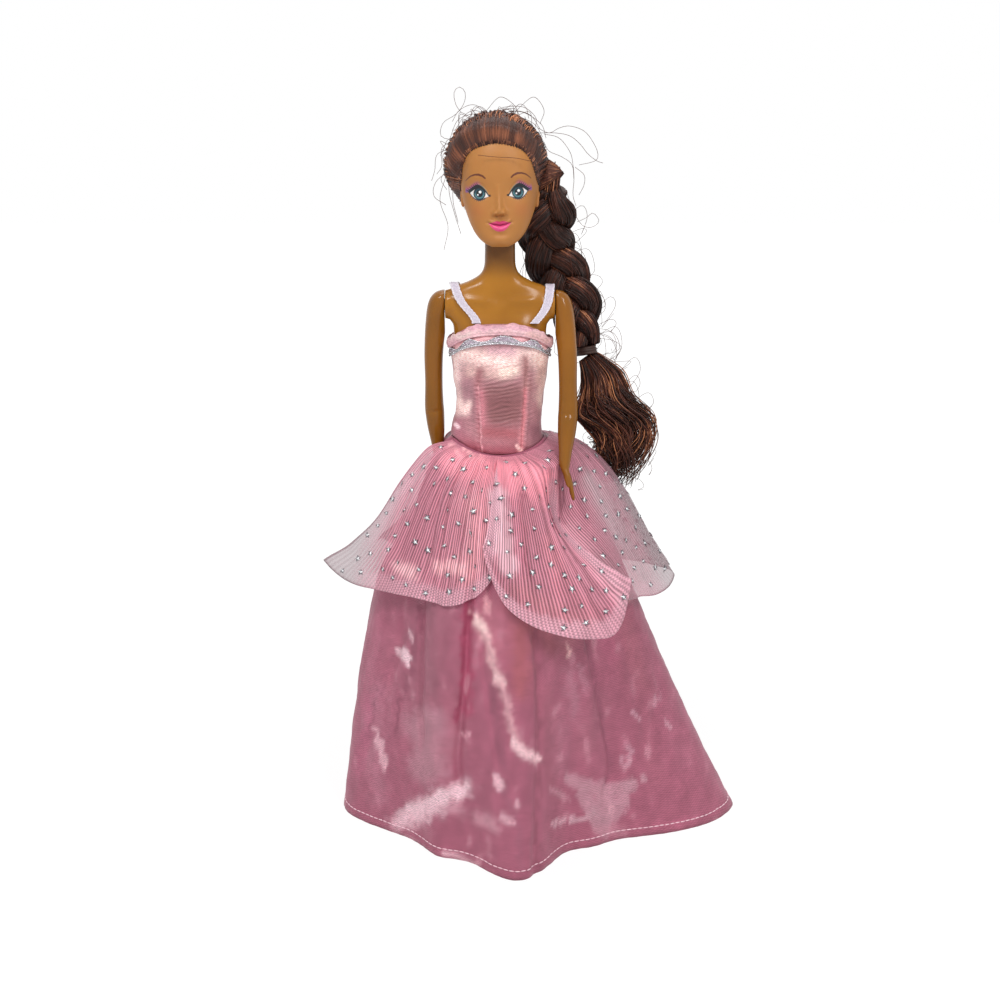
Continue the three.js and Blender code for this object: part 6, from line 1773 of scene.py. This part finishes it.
def buildTrim():
    # silver lace: a scalloped net above a corded edge
    offset = gown["gap"] + gown["cloth"] + gown["touch"]
    reach = quarter + math.radians(-4)

    def relief(x, z, angle, v):
        return 0.12 * np.abs(np.sin(trimAlong(angle) * 5.2) * np.sin(z * 7.5)) - 0.05

    piece = panel("silverTrim", (-quarter - reach, -quarter + reach), trimLow, trimTop, steady(offset),
                  gown["ribbon"] - 0.12, (560, 16), silverNet, relief)
    angles = np.linspace(-quarter - reach, -quarter + reach, 420)
    paths, radii = [], []
    for height, thick in ((trimLow(angles), 0.34), (trimLow(angles) + 0.62, 0.2), (trimTop(angles) - 0.1, 0.2)):
        line = torsoPoint(angles, height, offset + gown["ribbon"] + 0.05)
        for strand in range(2):  # each cord is two threads laid together
            twist = trimAlong(angles) * turn / 1.1 + strand * half
            paths.append(line + np.stack([0 * twist, -thick * 0.35 * np.sin(twist), thick * 0.5 * np.cos(twist)], -1))
            radii.append(np.full(len(angles), thick * 0.62))
    points, faces = strandTubes(np.array(paths), np.array(radii), 6)
    cord = addPiece("silverCord", newMesh("silverCord", points, faces), silver)
    placePiece(cord)
    return piece, cord


# The straps run over the shoulder round an axis at this height, between two tilts in degrees
strap = {"axis": 213, "halfWidth": 1.7, "start": 9.5, "end": 197}


def bustAt(x, height):
    return body["bustRise"] * bump(np.abs(x) - body["bustSpacing"] / 2, body["bustRadius"]) \
        * bump(height - body["bustHeight"], body["bustRadius"])


def strapRadius(x, tilt):
    x, tilt = np.broadcast_arrays(np.asarray(x, float), np.asarray(tilt, float))
    facing = np.cos(tilt) > 0
    low, high = np.zeros(x.shape), np.full(x.shape, 32.0)
    for _ in range(26):
        reach = (low + high) / 2
        z = strap["axis"] + reach * np.sin(tilt)
        y = np.where(facing, np.minimum(0, bustAt(x, z) - reach * np.cos(tilt)), -reach * np.cos(tilt))
        width, depth = torsoSize(z, facing)
        level = np.abs(x / width) ** body["round"] + np.abs(y / depth) ** body["round"]
        low, high = np.where(level < 1, reach, low), np.where(level < 1, high, reach)
    return high


def buildStraps():
    pieces = []
    for name, side, low, high, course in (("leftStrap", 1, 13.2, 19.7, 0.95), ("rightStrap", -1, 9.1, 18.1, 1.7)):
        share = np.linspace(0, 1, 170)[:, None]
        tilt = np.radians(mix(strap["start"], strap["end"], share))
        start = math.sin(math.radians(strap["start"]))
        x = mix(low, high, (np.maximum(0, np.sin(tilt) - start) / (1 - start)) ** course)
        across = np.linspace(-1, 1, 11)[None]
        picot = 0.09 * np.sin(share * 170) * (np.abs(across) > 0.95)
        place = x + across * (strap["halfWidth"] + picot)
        under = np.max([strapRadius(x + edge * strap["halfWidth"], tilt) for edge in (-1, 0, 1)], 0)
        thick = gown["ribbon"] + 0.06 * (np.abs(across) > 0.75) - 0.05 * np.abs(across) ** 6
        layers = []
        for lift in (thick, 0 * thick):
            reach = under + gown["gap"] + lift
            layers.append(np.stack([side * place + 0 * reach, -reach * np.cos(tilt) + 0 * place,
                                    strap["axis"] + reach * np.sin(tilt) + 0 * place], -1))
        edge = (np.abs(across) > 0.75) * np.ones_like(place)
        colours = mix(linear("cec4d2"), linear("e4dce6"), edge[..., None])
        pieces.append(clothPiece(name, layers[0], layers[1], ribbonSatin, colours))
    return pieces


def creaseDepth(degrees, height):
    depth = 0.0
    for line, width, deep in skirtCreases:
        heights = np.array([p[1] for p in line][::-1], float)
        places = np.array([p[0] for p in line][::-1], float)
        place = np.interp(height, heights, places)
        fade = 1 - smoothstep(heights[-1] - 4, heights[-1] + 14, height)
        if heights[0] >= 12:
            fade = fade * smoothstep(heights[0] - 12, heights[0] + 4, height)
        away = angleGap(degrees, place) / width
        # steep on one side and soft on the other, as laid folds are
        depth = depth + deep * fade * np.where(away < 0, bump(away, 0.75), bump(away, 1.7))
    return depth


def handPlace(side, swing):
    # the middle of a hanging hand
    lean = math.radians(swing)
    down, across = arm["height"] * 0.93, arm["halfWidth"] * 0.78
    return (side * (shoulderOut + arm["halfWidth"] * 0.95), -down * math.sin(lean) - across,
            shoulderUp - down * math.cos(lean))


def pressHands(degrees, height, radius, clear, rise=20, soft=0.5):
    # the gathers give way to each hand
    pressed = 0 * radius
    for side, swing in ((1, arm["swing"]["left"]), (-1, arm["swing"]["right"])):
        x, y, z = handPlace(side, swing)
        near = bump(angleGap(degrees, math.degrees(math.atan2(y, x))), 22) * bump(height - z, rise)
        near = np.minimum(1, near / soft) if soft < 0.6 else smoothstep(0, soft, near)
        radius = radius - np.maximum(0, radius - math.hypot(x, y) + clear) * near
        pressed = np.maximum(pressed, near)
    return radius, pressed


def skirtRadius(degrees, height):
    degrees, height = np.broadcast_arrays(np.asarray(degrees, float), np.asarray(height, float))
    angle = np.radians(degrees)
    seam = skirtSeamAt(angle)
    down = np.clip((seam - height) / seam, 0, 1)
    radius = mix(waistAt(angle), gown["hem"], readTable(skirtProfile, down, 1))
    for place, spread, rise, growth in skirtFolds:
        radius = radius + rise * down ** growth * bump(angleGap(degrees, place), spread)
    radius, _ = pressHands(degrees, height, radius, 4.2)
    # gathers under the seam, creases lower down and a slight crumple all over
    gathers = 0.5 + 0.5 * np.sin(degrees * 0.56 + 2.2 * np.sin(np.radians(degrees) * 5) + 1)
    gathers = gathers * 0.6 + 0.4 * (0.5 + 0.5 * np.sin(degrees * 1.31 + 1.5 * np.sin(np.radians(degrees) * 3)))
    radius = radius - 1.5 * gathers * smoothstep(0.0, 0.06, down) * (1 - smoothstep(0.16, 0.42, down))
    radius = radius - creaseDepth(degrees, height)
    x, y = radius * np.cos(angle), radius * np.sin(angle)
    low = smoothstep(0.22, 0.45, down)
    radius = radius + low * (0.5 * wobble(x, y, height, 17, 3) + 0.22 * wobble(x, y, height, 6, 7) - 0.25)
    return np.maximum(radius, np.where(height > 141, hipsAt(angle, height) + gown["gap"] * 2 + gown["cloth"], 0))


def buildSkirt():
    front, back = gown["columns"]
    degrees = np.concatenate([np.linspace(90.01, 178, back // 2), np.linspace(179, 361, front),
                              np.linspace(362, 449.99, back // 2)])[None]
    angle = np.radians(degrees)
    share = np.linspace(0, 1, gown["rows"])[:, None] ** 1.12
    height = (skirtSeamAt(angle) + gown["tuck"]) * (1 - share)
    radius = skirtRadius(angleGap(degrees, 0), height)
    # the hem is turned up: a doubled edge with a stitched line above it
    hem = smoothstep(4.2, 3.6, height) * 0.22 - 0.25 * bump(height - gown["hemLine"], 0.35)
    outer = fromPolar(angle, radius + hem, height)
    inner = fromPolar(angle, radius - gown["cloth"], height)
    colours = frontPaint("a85f74", outer, skirtStrokes, backStrokes, torn=3.0, gain=1.13)
    # crumples catch the light here and there
    x, y, z = outer[..., 0], outer[..., 1], outer[..., 2]
    crumple = wobble(x * 1.6, y * 1.6, z, 19, 31) + 0.7 * wobble(x, y, z, 8, 32)
    lit = smoothstep(0.35, 1.0, crumple) * smoothstep(0.3, 0.9, wobble(x, y, z, 30, 33) + 0.5)
    colours = mix(colours * (1 + 0.11 * crumple)[..., None], linear("dca3b0"), (0.4 * lit)[..., None])
    piece = clothPiece("gownSkirt", outer, inner, pinkSatin, colours)
    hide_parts("skirt")
    return piece


petals = [
    {"name": "petalFrontRight", "flat": (0.07, 0.06), "node": "peplum_petal_front_right", "layer": 0,
     "span": (-160, -89), "lean": (-16, 0), "seed": 1,
     "edge": [[-176, 72, 116.5], [-168, 63, 110.5], [-158, 54, 109.5], [-139, 46, 110],
              [-120, 40, 108.5], [-106, 37, 112], [-96, 34.5, 119], [-89, 32, 129]]},
    {"name": "petalFrontLeft", "clearBy": (15, 34), "flat": (0.056, 0.062), "node": "peplum_petal_front_left",
     "layer": 1, "span": (-92, -54), "lean": (-8, 24), "seed": 2, "turnedEdge": True,
     "edge": [[-102, 32, 138], [-96, 36, 124], [-86, 44, 111], [-70, 53.5, 103.5],
              [-50, 60, 99.5], [-42, 60.5, 103], [-30, 58.5, 117]]},
    {"name": "petalBackLeft", "flat": (0.13, 0.066), "node": "peplum_petal_back_left", "layer": 0, "span": (-56, 98),
     "lean": (16, 0), "seed": 3,
     "edge": [[-56, 52, 124], [-40, 54.5, 112], [-28, 56.5, 107], [-16, 58.5, 104.5], [-7, 64, 102.2],
              [-1, 69.5, 103.8], [4, 73, 107], [16, 71, 105],
              [34, 64, 103], [58, 55, 103], [80, 51, 107], [100, 45, 116]]},
    {"name": "petalBackRight", "flat": (0.056, 0.062), "node": "peplum_petal_back_right", "layer": 1,
     "span": (88, 140), "lean": (0, 12), "seed": 4,
     "edge": [[86, 46, 117], [98, 52, 107], [118, 57, 103], [134, 60, 105], [148, 60, 114]]},
]
petalProfile = [[0, 0, 0], [0.2, 0.25, 0.06], [0.4, 0.5, 0.28], [0.7, 0.78, 0.68], [1, 1, 1]]


def buildPetal(petal):
    columns, rows = 326, 94
    u, v = np.meshgrid(np.linspace(0, 1, columns), np.linspace(0, 1, rows))
    (start, end), (leanStart, leanEnd) = petal["span"], petal["lean"]
    degrees = mix(start + leanStart * v, end + leanEnd * v, u)
    angle = np.radians(degrees)
    top = skirtSeamAt(angle) + gown["tuck"]
    reach = readTable(petal["edge"], degrees, 1)
    height = top - (top - readTable(petal["edge"], degrees, 2)) * readTable(petalProfile, v, 2)
    wanted = mix(skirtRadius(degrees, top), reach, readTable(petalProfile, v, 1))
    under = skirtRadius(degrees, height)
    radius = np.maximum(wanted, under) + 1.15 + petal["layer"] * 1.2
    radius, pressed = pressHands(degrees, height, radius, 3.5, 24, 0.85)
    outer = fromPolar(angle, radius, height)
    width = np.linalg.norm(np.diff(outer[-1], axis=0), axis=1).sum()
    length = np.linalg.norm(np.diff(outer[:, columns // 2], axis=0), axis=1).sum()
    seed = petal["seed"]
    sway = wobble(u * width, v * length, 0 * u, 7, seed) + 0.5 * wobble(u * width, v * length, 0 * u, 3, seed + 9)
    rib = 0.5 + 0.5 * np.sin(u * round(width / 2.6) * turn + sway * 0.6)
    # distance from the free edges in millimetres
    spread = mix(0.42, 1, smoothstep(0, 0.9, v)) * width
    fromEdge = np.minimum(np.minimum(u, 1 - u) * spread, (1 - v) * length)
    net = 1 - smoothstep(5.0, 9.0, fromEdge + 1.2 * sway)
    net = net * smoothstep(0.22, 0.5, v + 0.05 * sway)
    if petal.get("turnedEdge"):
        fold = 1 - smoothstep(8, 9.5, u * spread + 26 * np.abs(v - 0.52))
        net = np.maximum(net, fold * 1.4)
    # the crinkle, the gathers at the seam and a soft ripple along the hem
    crinkle = 0.24 * (rib - 0.5) * (1 - 0.75 * np.clip(net, 0, 1)) * smoothstep(0.02, 0.12, v)
    pleat = 0.85 * (0.5 + 0.5 * np.sin(degrees * 0.9 + seed + 1.4 * np.sin(np.radians(degrees) * 4))) \
        * smoothstep(0, 0.1, v) * (1 - smoothstep(0.35, 0.75, v)) * (1 - pressed)
    ripple = 0.9 * wobble(u * width, v * length, 0 * u, 16, seed + 4) * smoothstep(0.45, 1, v) * (1 - pressed)
    push = crinkle + pleat + np.maximum(ripple, -0.35) + 0.35
    away = unit(outer * np.array([1, 1, 0]))
    surface = outer + away * push[..., None]
    over = 1 - smoothstep(*petal.get("clearBy", (5, 16)), radius - under)
    # painted light and shade across the gathers, over the painted highlights and shade of the petal strokes
    pleats = wobble(degrees * 1.1, 8 * v, 0 * v, 9, seed) + 0.6 * wobble(degrees * 1.1, 6 * v, 0 * v, 4, seed + 1)
    close = frontPaint("cc8899", surface, petalStrokes, gain=1.2) * (1 + 0.2 * pleats)[..., None]
    colours = mix(linear("a88c93"), close, over[..., None])
    colours = mix(colours, linear("e6b4c2"), np.clip(net * over * 0.6, 0, 1)[..., None])
    piece = clothPiece(petal["name"], surface, surface - away * 0.4, organza, colours,
                       {"net": np.clip(net, 0, 1.4), "border": 1 - smoothstep(0.35, 0.8, fromEdge), "over": over})
    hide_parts(petal["node"])
    return piece, surface + away * 0.3


def nodeTree(name, sockets):
    tree = bpy.data.node_groups.new(name, "GeometryNodeTree")
    tree.interface.new_socket("Geometry", in_out="OUTPUT", socket_type="NodeSocketGeometry")
    tree.interface.new_socket("Geometry", in_out="INPUT", socket_type="NodeSocketGeometry")
    for label, kind in sockets:
        tree.interface.new_socket(label, in_out="INPUT", socket_type=kind)
    return tree, addNode(tree, "NodeGroupInput").outputs, addNode(tree, "NodeGroupOutput").inputs


def closeTree(tree, placed, given, out):
    # the placed copies as one plain mesh in the given material
    real = addNode(tree, "GeometryNodeRealizeInstances", {"Geometry": placed.outputs[0]})
    final = addNode(tree, "GeometryNodeSetMaterial", {"Geometry": real.outputs[0], "Material": given["Material"]})
    tree.links.new(final.outputs[0], out["Geometry"])
    return tree


def settle(source, tree, values, name):
    # run the tree once on the source object, and keep the result as a plain mesh
    modifier = source.modifiers.new(name, "NODES")
    modifier.node_group = tree
    for item in tree.interface.items_tree:
        if item.in_out == "INPUT" and item.name in values:
            modifier[item.identifier] = values[item.name]
    graph = bpy.context.evaluated_depsgraph_get()
    mesh = bpy.data.meshes.new_from_object(source.evaluated_get(graph))
    source.modifiers.clear()
    mesh.name = name
    return addObject(name, mesh)


def glitterTree():
    # stars or grains laid flat on a surface, each turned and sized a little differently
    tree, given, out = nodeTree("glitter", [("Grain", "NodeSocketObject"), ("Spacing", "NodeSocketFloat"),
                                            ("Density", "NodeSocketFloat"), ("Seed", "NodeSocketInt"),
                                            ("Smallest", "NodeSocketFloat"), ("Largest", "NodeSocketFloat"),
                                            ("Tilt", "NodeSocketFloat"), ("Material", "NodeSocketMaterial")])
    spread = addNode(tree, "GeometryNodeDistributePointsOnFaces", {
        "Mesh": given["Geometry"], "Distance Min": given["Spacing"], "Density Max": given["Density"],
        "Seed": given["Seed"]}, distribute_method="POISSON")
    grain = addNode(tree, "GeometryNodeObjectInfo", {"Object": given["Grain"]}, transform_space="ORIGINAL")
    size = addNode(tree, "FunctionNodeRandomValue", data_type="FLOAT")
    tree.links.new(given["Smallest"], size.inputs[2])
    tree.links.new(given["Largest"], size.inputs[3])
    tree.links.new(given["Seed"], size.inputs["Seed"])
    lean = addNode(tree, "FunctionNodeRandomValue", data_type="FLOAT_VECTOR")
    negative = addNode(tree, "ShaderNodeMath", {0: given["Tilt"], 1: -1.0}, operation="MULTIPLY")
    lowCorner = addNode(tree, "ShaderNodeCombineXYZ", {"X": negative.outputs[0], "Y": negative.outputs[0], "Z": 0.0})
    highCorner = addNode(tree, "ShaderNodeCombineXYZ", {"X": given["Tilt"], "Y": given["Tilt"], "Z": turn})
    tree.links.new(lowCorner.outputs[0], lean.inputs[0])
    tree.links.new(highCorner.outputs[0], lean.inputs[1])
    tree.links.new(given["Seed"], lean.inputs["Seed"])
    asTurn = addNode(tree, "FunctionNodeEulerToRotation", {0: lean.outputs[0]})
    turned = addNode(tree, "FunctionNodeRotateRotation", {0: spread.outputs["Rotation"], 1: asTurn.outputs[0]},
                     rotation_space="LOCAL")
    placed = addNode(tree, "GeometryNodeInstanceOnPoints", {
        "Points": spread.outputs["Points"], "Instance": grain.outputs["Geometry"], "Rotation": turned.outputs[0],
        "Scale": size.outputs[1]})
    return closeTree(tree, placed, given, out)


def stitchTree():
    # short stitches end to end along a line
    tree, given, out = nodeTree("stitches", [("Stitch", "NodeSocketObject"), ("Spacing", "NodeSocketFloat"),
                                             ("Material", "NodeSocketMaterial")])
    line = addNode(tree, "GeometryNodeMeshToCurve", {"Mesh": given["Geometry"]})
    even = addNode(tree, "GeometryNodeResampleCurve", {"Curve": line.outputs[0], "Length": given["Spacing"]},
                   mode="LENGTH")
    tangent = addNode(tree, "GeometryNodeInputTangent")
    aligned = addNode(tree, "FunctionNodeAlignRotationToVector", {"Vector": tangent.outputs[0]}, axis="X")
    stitch = addNode(tree, "GeometryNodeObjectInfo", {"Object": given["Stitch"]}, transform_space="ORIGINAL")
    placed = addNode(tree, "GeometryNodeInstanceOnPoints", {
        "Points": even.outputs[0], "Instance": stitch.outputs["Geometry"], "Rotation": aligned.outputs[0]})
    return closeTree(tree, placed, given, out)


def helperObject(name, points, faces):
    return addObject(name, newMesh(name, points, faces, place=False))


def starGrain(arms, outerRadius, innerRadius, thickness):
    count = arms * 2
    a = anglesRound(count)
    r = np.where(np.arange(count) % 2 == 0, outerRadius, innerRadius)
    ring = np.stack([r * np.cos(a), r * np.sin(a)], -1)
    low = np.column_stack([ring, np.zeros(count)])
    high = np.column_stack([ring * 0.9, np.full(count, thickness)])
    points = np.concatenate([low, high, [[0, 0, 0], [0, 0, thickness * 1.8]]])
    i = np.arange(count)
    j = (i + 1) % count
    walls = np.stack([i, j, j + count, i + count], -1)
    under = np.stack([j, i, np.full(count, 2 * count)], -1)
    over = np.stack([i + count, j + count, np.full(count, 2 * count + 1)], -1)
    return points, outwards(points, [walls, under, over])


def openSurface(name, grid):
    rows, columns = grid.shape[:2]
    return helperObject(name, inRow(grid.reshape(-1, 3)), [gridFaces(rows, columns)])


def removeHelper(item):
    bpy.data.objects.remove(item, do_unlink=True)


def buildGlitter(surfaces):
    tree = glitterTree()
    points, faces = starGrain(5, 1.65, 0.72, 0.2)
    star = helperObject("starShape", points * mm, faces)
    # painted glint: the spark tone is high at the star's middle and at two arm tips
    shine = 1 - smoothstep(0.3, 0.8, np.hypot(points[:, 0], points[:, 1]))
    shine[[0, 10, 4, 14]] = 0.9
    addTone(star.data, "spark", shine)
    pieces = {}
    for petal, grid in surfaces:
        inside = grid[6:-4, 6:-6]
        field = openSurface("field", inside)
        result = settle(field, tree, {"Grain": star, "Spacing": 5.9 * mm, "Density": 60000.0,
                                      "Seed": petal["seed"] * 7, "Smallest": 0.68, "Largest": 1.08, "Tilt": 0.3,
                                      "Material": starFilm},
                        petal["name"] + "Stars")
        removeHelper(field)
        placePiece(result)
        pieces[petal["name"]] = result
    removeHelper(star)
    return pieces


def buildTrimGlitter():
    offset = gown["gap"] + gown["cloth"] + gown["ribbon"] + gown["touch"] + 0.12
    reach = quarter - math.radians(6)
    angles = np.linspace(-quarter - reach, -quarter + reach, 300)
    grid = np.stack([torsoPoint(angles, mix(trimLow(angles) + 0.2, trimTop(angles) + 0.2, s), offset)
                     for s in np.linspace(0, 1, 8)])
    field = openSurface("field", grid)
    points, faces = starGrain(3, 0.36, 0.3, 0.1)
    grain = helperObject("grainShape", points * mm, faces)
    result = settle(field, glitterTree(), {"Grain": grain, "Spacing": 0.55 * mm, "Density": 3200000.0, "Seed": 5,
                                           "Smallest": 0.6, "Largest": 1.25, "Tilt": 0.9, "Material": silver},
                    "trimGlitter")
    removeHelper(field)
    removeHelper(grain)
    placePiece(result)
    return result


def buildHemStitches():
    degrees = np.linspace(91, 449, 1400)
    angle = np.radians(degrees)
    radius = skirtRadius(angleGap(degrees, 0), gown["hemLine"]) + 0.02
    line = fromPolar(angle, radius, gown["hemLine"])
    edge = bpy.data.meshes.new("hemLine")
    edge.from_pydata(inRow(line).tolist(), [(k, k + 1) for k in range(len(line) - 1)], [])
    source = addObject("hemLine", edge)
    path = np.stack([np.linspace(-1.05, 1.05, 7), 0 * np.arange(7), np.zeros(7)], -1)[None]
    points, faces = strandTubes(path, np.array([[0.1, 0.2, 0.24, 0.25, 0.24, 0.2, 0.1]]), 6)
    stitch = helperObject("stitchShape", points * mm, outwards(points, faces))
    result = settle(source, stitchTree(), {"Stitch": stitch, "Spacing": 2.45 * mm, "Material": paleThread},
                    "hemStitches")
    removeHelper(source)
    removeHelper(stitch)
    placePiece(result)
    return result


bodicePieces = buildBodice()
band = buildBand()
trim, cord = buildTrim()
trimGlitter = buildTrimGlitter()
straps = buildStraps()
bodiceNodes = ("bodice_front", "bodice_back_left", "bodice_back_right", "loop_tape", "hook_tape", "neckline_band",
               "silver_trim", "left_strap", "right_strap")
for piece, node in zip([*bodicePieces.values(), band, trim, *straps], bodiceNodes):
    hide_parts(node)
print("bodice done")
skirtPiece = buildSkirt()
stitches = buildHemStitches()
surfaces, petalPieces = [], {}
for petal in petals:
    piece, surface = buildPetal(petal)
    petalPieces[petal["name"]] = piece
    surfaces.append((petal, surface))
stars = buildGlitter(surfaces)
print("skirt done")


for nodeName in ("neck_knob", "left_shoulder_peg", "right_shoulder_peg", "left_hip_pin", "right_hip_pin"):
    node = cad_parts[nodeName]
    node.data.materials.clear()
    node.data.materials.append(jointPlastic)


camera = bpy.data.cameras.new("camera")
camera.sensor_fit = "HORIZONTAL"
camera.sensor_width = 36
camera.lens = 36 * view["focal"] / 1000
camera.clip_start, camera.clip_end = 0.01, 20
cameraObject = addObject("camera", camera)
cameraObject.location = inRow((0, -view["distance"], view["height"]))
cameraObject.rotation_euler = (math.radians(90 - view["pitch"]), 0, 0)
bpy.context.scene.camera = cameraObject

light = {"world": 0.42, "key": 4.9, "fill": 3.6, "top": 2.0}


def addSoftbox(name, place, target, size, watts):
    data = bpy.data.lights.new(name, "AREA")
    data.shape = "RECTANGLE"
    data.size, data.size_y = size
    data.energy = watts
    lamp = addObject(name, data)
    lamp.location = Vector(place)
    lamp.rotation_euler = (Vector(target) - Vector(place)).to_track_quat("-Z", "Y").to_euler()


addSoftbox("keyBox", (-0.4, -0.6, 1.05), (0, 0, 0.15), (0.22, 0.3), light["key"])
addSoftbox("fillBox", (0.45, -0.7, 0.85), (0, 0, 0.15), (0.22, 0.3), light["fill"])
addSoftbox("topBox", (0.0, 0.25, 1.05), (0, 0, 0.15), (0.6, 0.4), light["top"])

def seenDirectly(tree):
    # 1 for a ray from the camera, through clear cloth or off a glossy surface, else 0
    path = addNode(tree, "ShaderNodeLightPath")
    seen = path.outputs["Is Camera Ray"]
    for kind in ("Is Transmission Ray", "Is Glossy Ray"):
        seen = addNode(tree, "ShaderNodeMath", {0: seen, 1: path.outputs[kind]}, operation="MAXIMUM").outputs[0]
    return seen


world = bpy.data.worlds.new("paleStudio")
bpy.context.scene.world = world
world.use_nodes = True
tree = world.node_tree
tree.nodes.clear()
around = addNode(tree, "ShaderNodeBackground", {"Color": (1, 1, 1, 1), "Strength": light["world"]})
white = addNode(tree, "ShaderNodeBackground", {"Color": (1, 1, 1, 1), "Strength": 1.0})
chosen = addNode(tree, "ShaderNodeMixShader", {0: seenDirectly(tree), 1: around.outputs[0], 2: white.outputs[0]})
addNode(tree, "ShaderNodeOutputWorld", {"Surface": chosen.outputs[0]})

floorMesh = bpy.data.meshes.new("floor")
floorMesh.from_pydata([(-6, -6, 0), (6, -6, 0), (6, 6, 0), (-6, 6, 0)], [], [(0, 1, 2, 3)])
floorMaterial = bpy.data.materials.new("white paper floor")
floorMaterial.use_nodes = True
tree = floorMaterial.node_tree
tree.nodes.clear()
paper = addNode(tree, "ShaderNodeBsdfDiffuse", {"Color": (0.9, 0.9, 0.9, 1)})
glow = addNode(tree, "ShaderNodeEmission", {"Color": (1, 1, 1, 1), "Strength": 1.1})
place = addNode(tree, "ShaderNodeTexCoord").outputs["Object"]
fromDoll = addNode(tree, "ShaderNodeVectorMath", {0: place, 1: tuple(dollAxis)}, operation="DISTANCE")
share = mapped(tree, fromDoll.outputs["Value"], 0.75, 1.0, 0.1, 0.5)
share = addNode(tree, "ShaderNodeMath", {0: seenDirectly(tree), 1: share}, operation="MULTIPLY")
paperSeen = addNode(tree, "ShaderNodeMixShader", {0: share.outputs[0], 1: paper.outputs[0], 2: glow.outputs[0]})
addNode(tree, "ShaderNodeOutputMaterial", {"Surface": paperSeen.outputs[0]})
floorMesh.materials.append(floorMaterial)
addObject("floor", floorMesh)

bpy.context.scene.view_settings.view_transform = "Standard"

print("scene done")
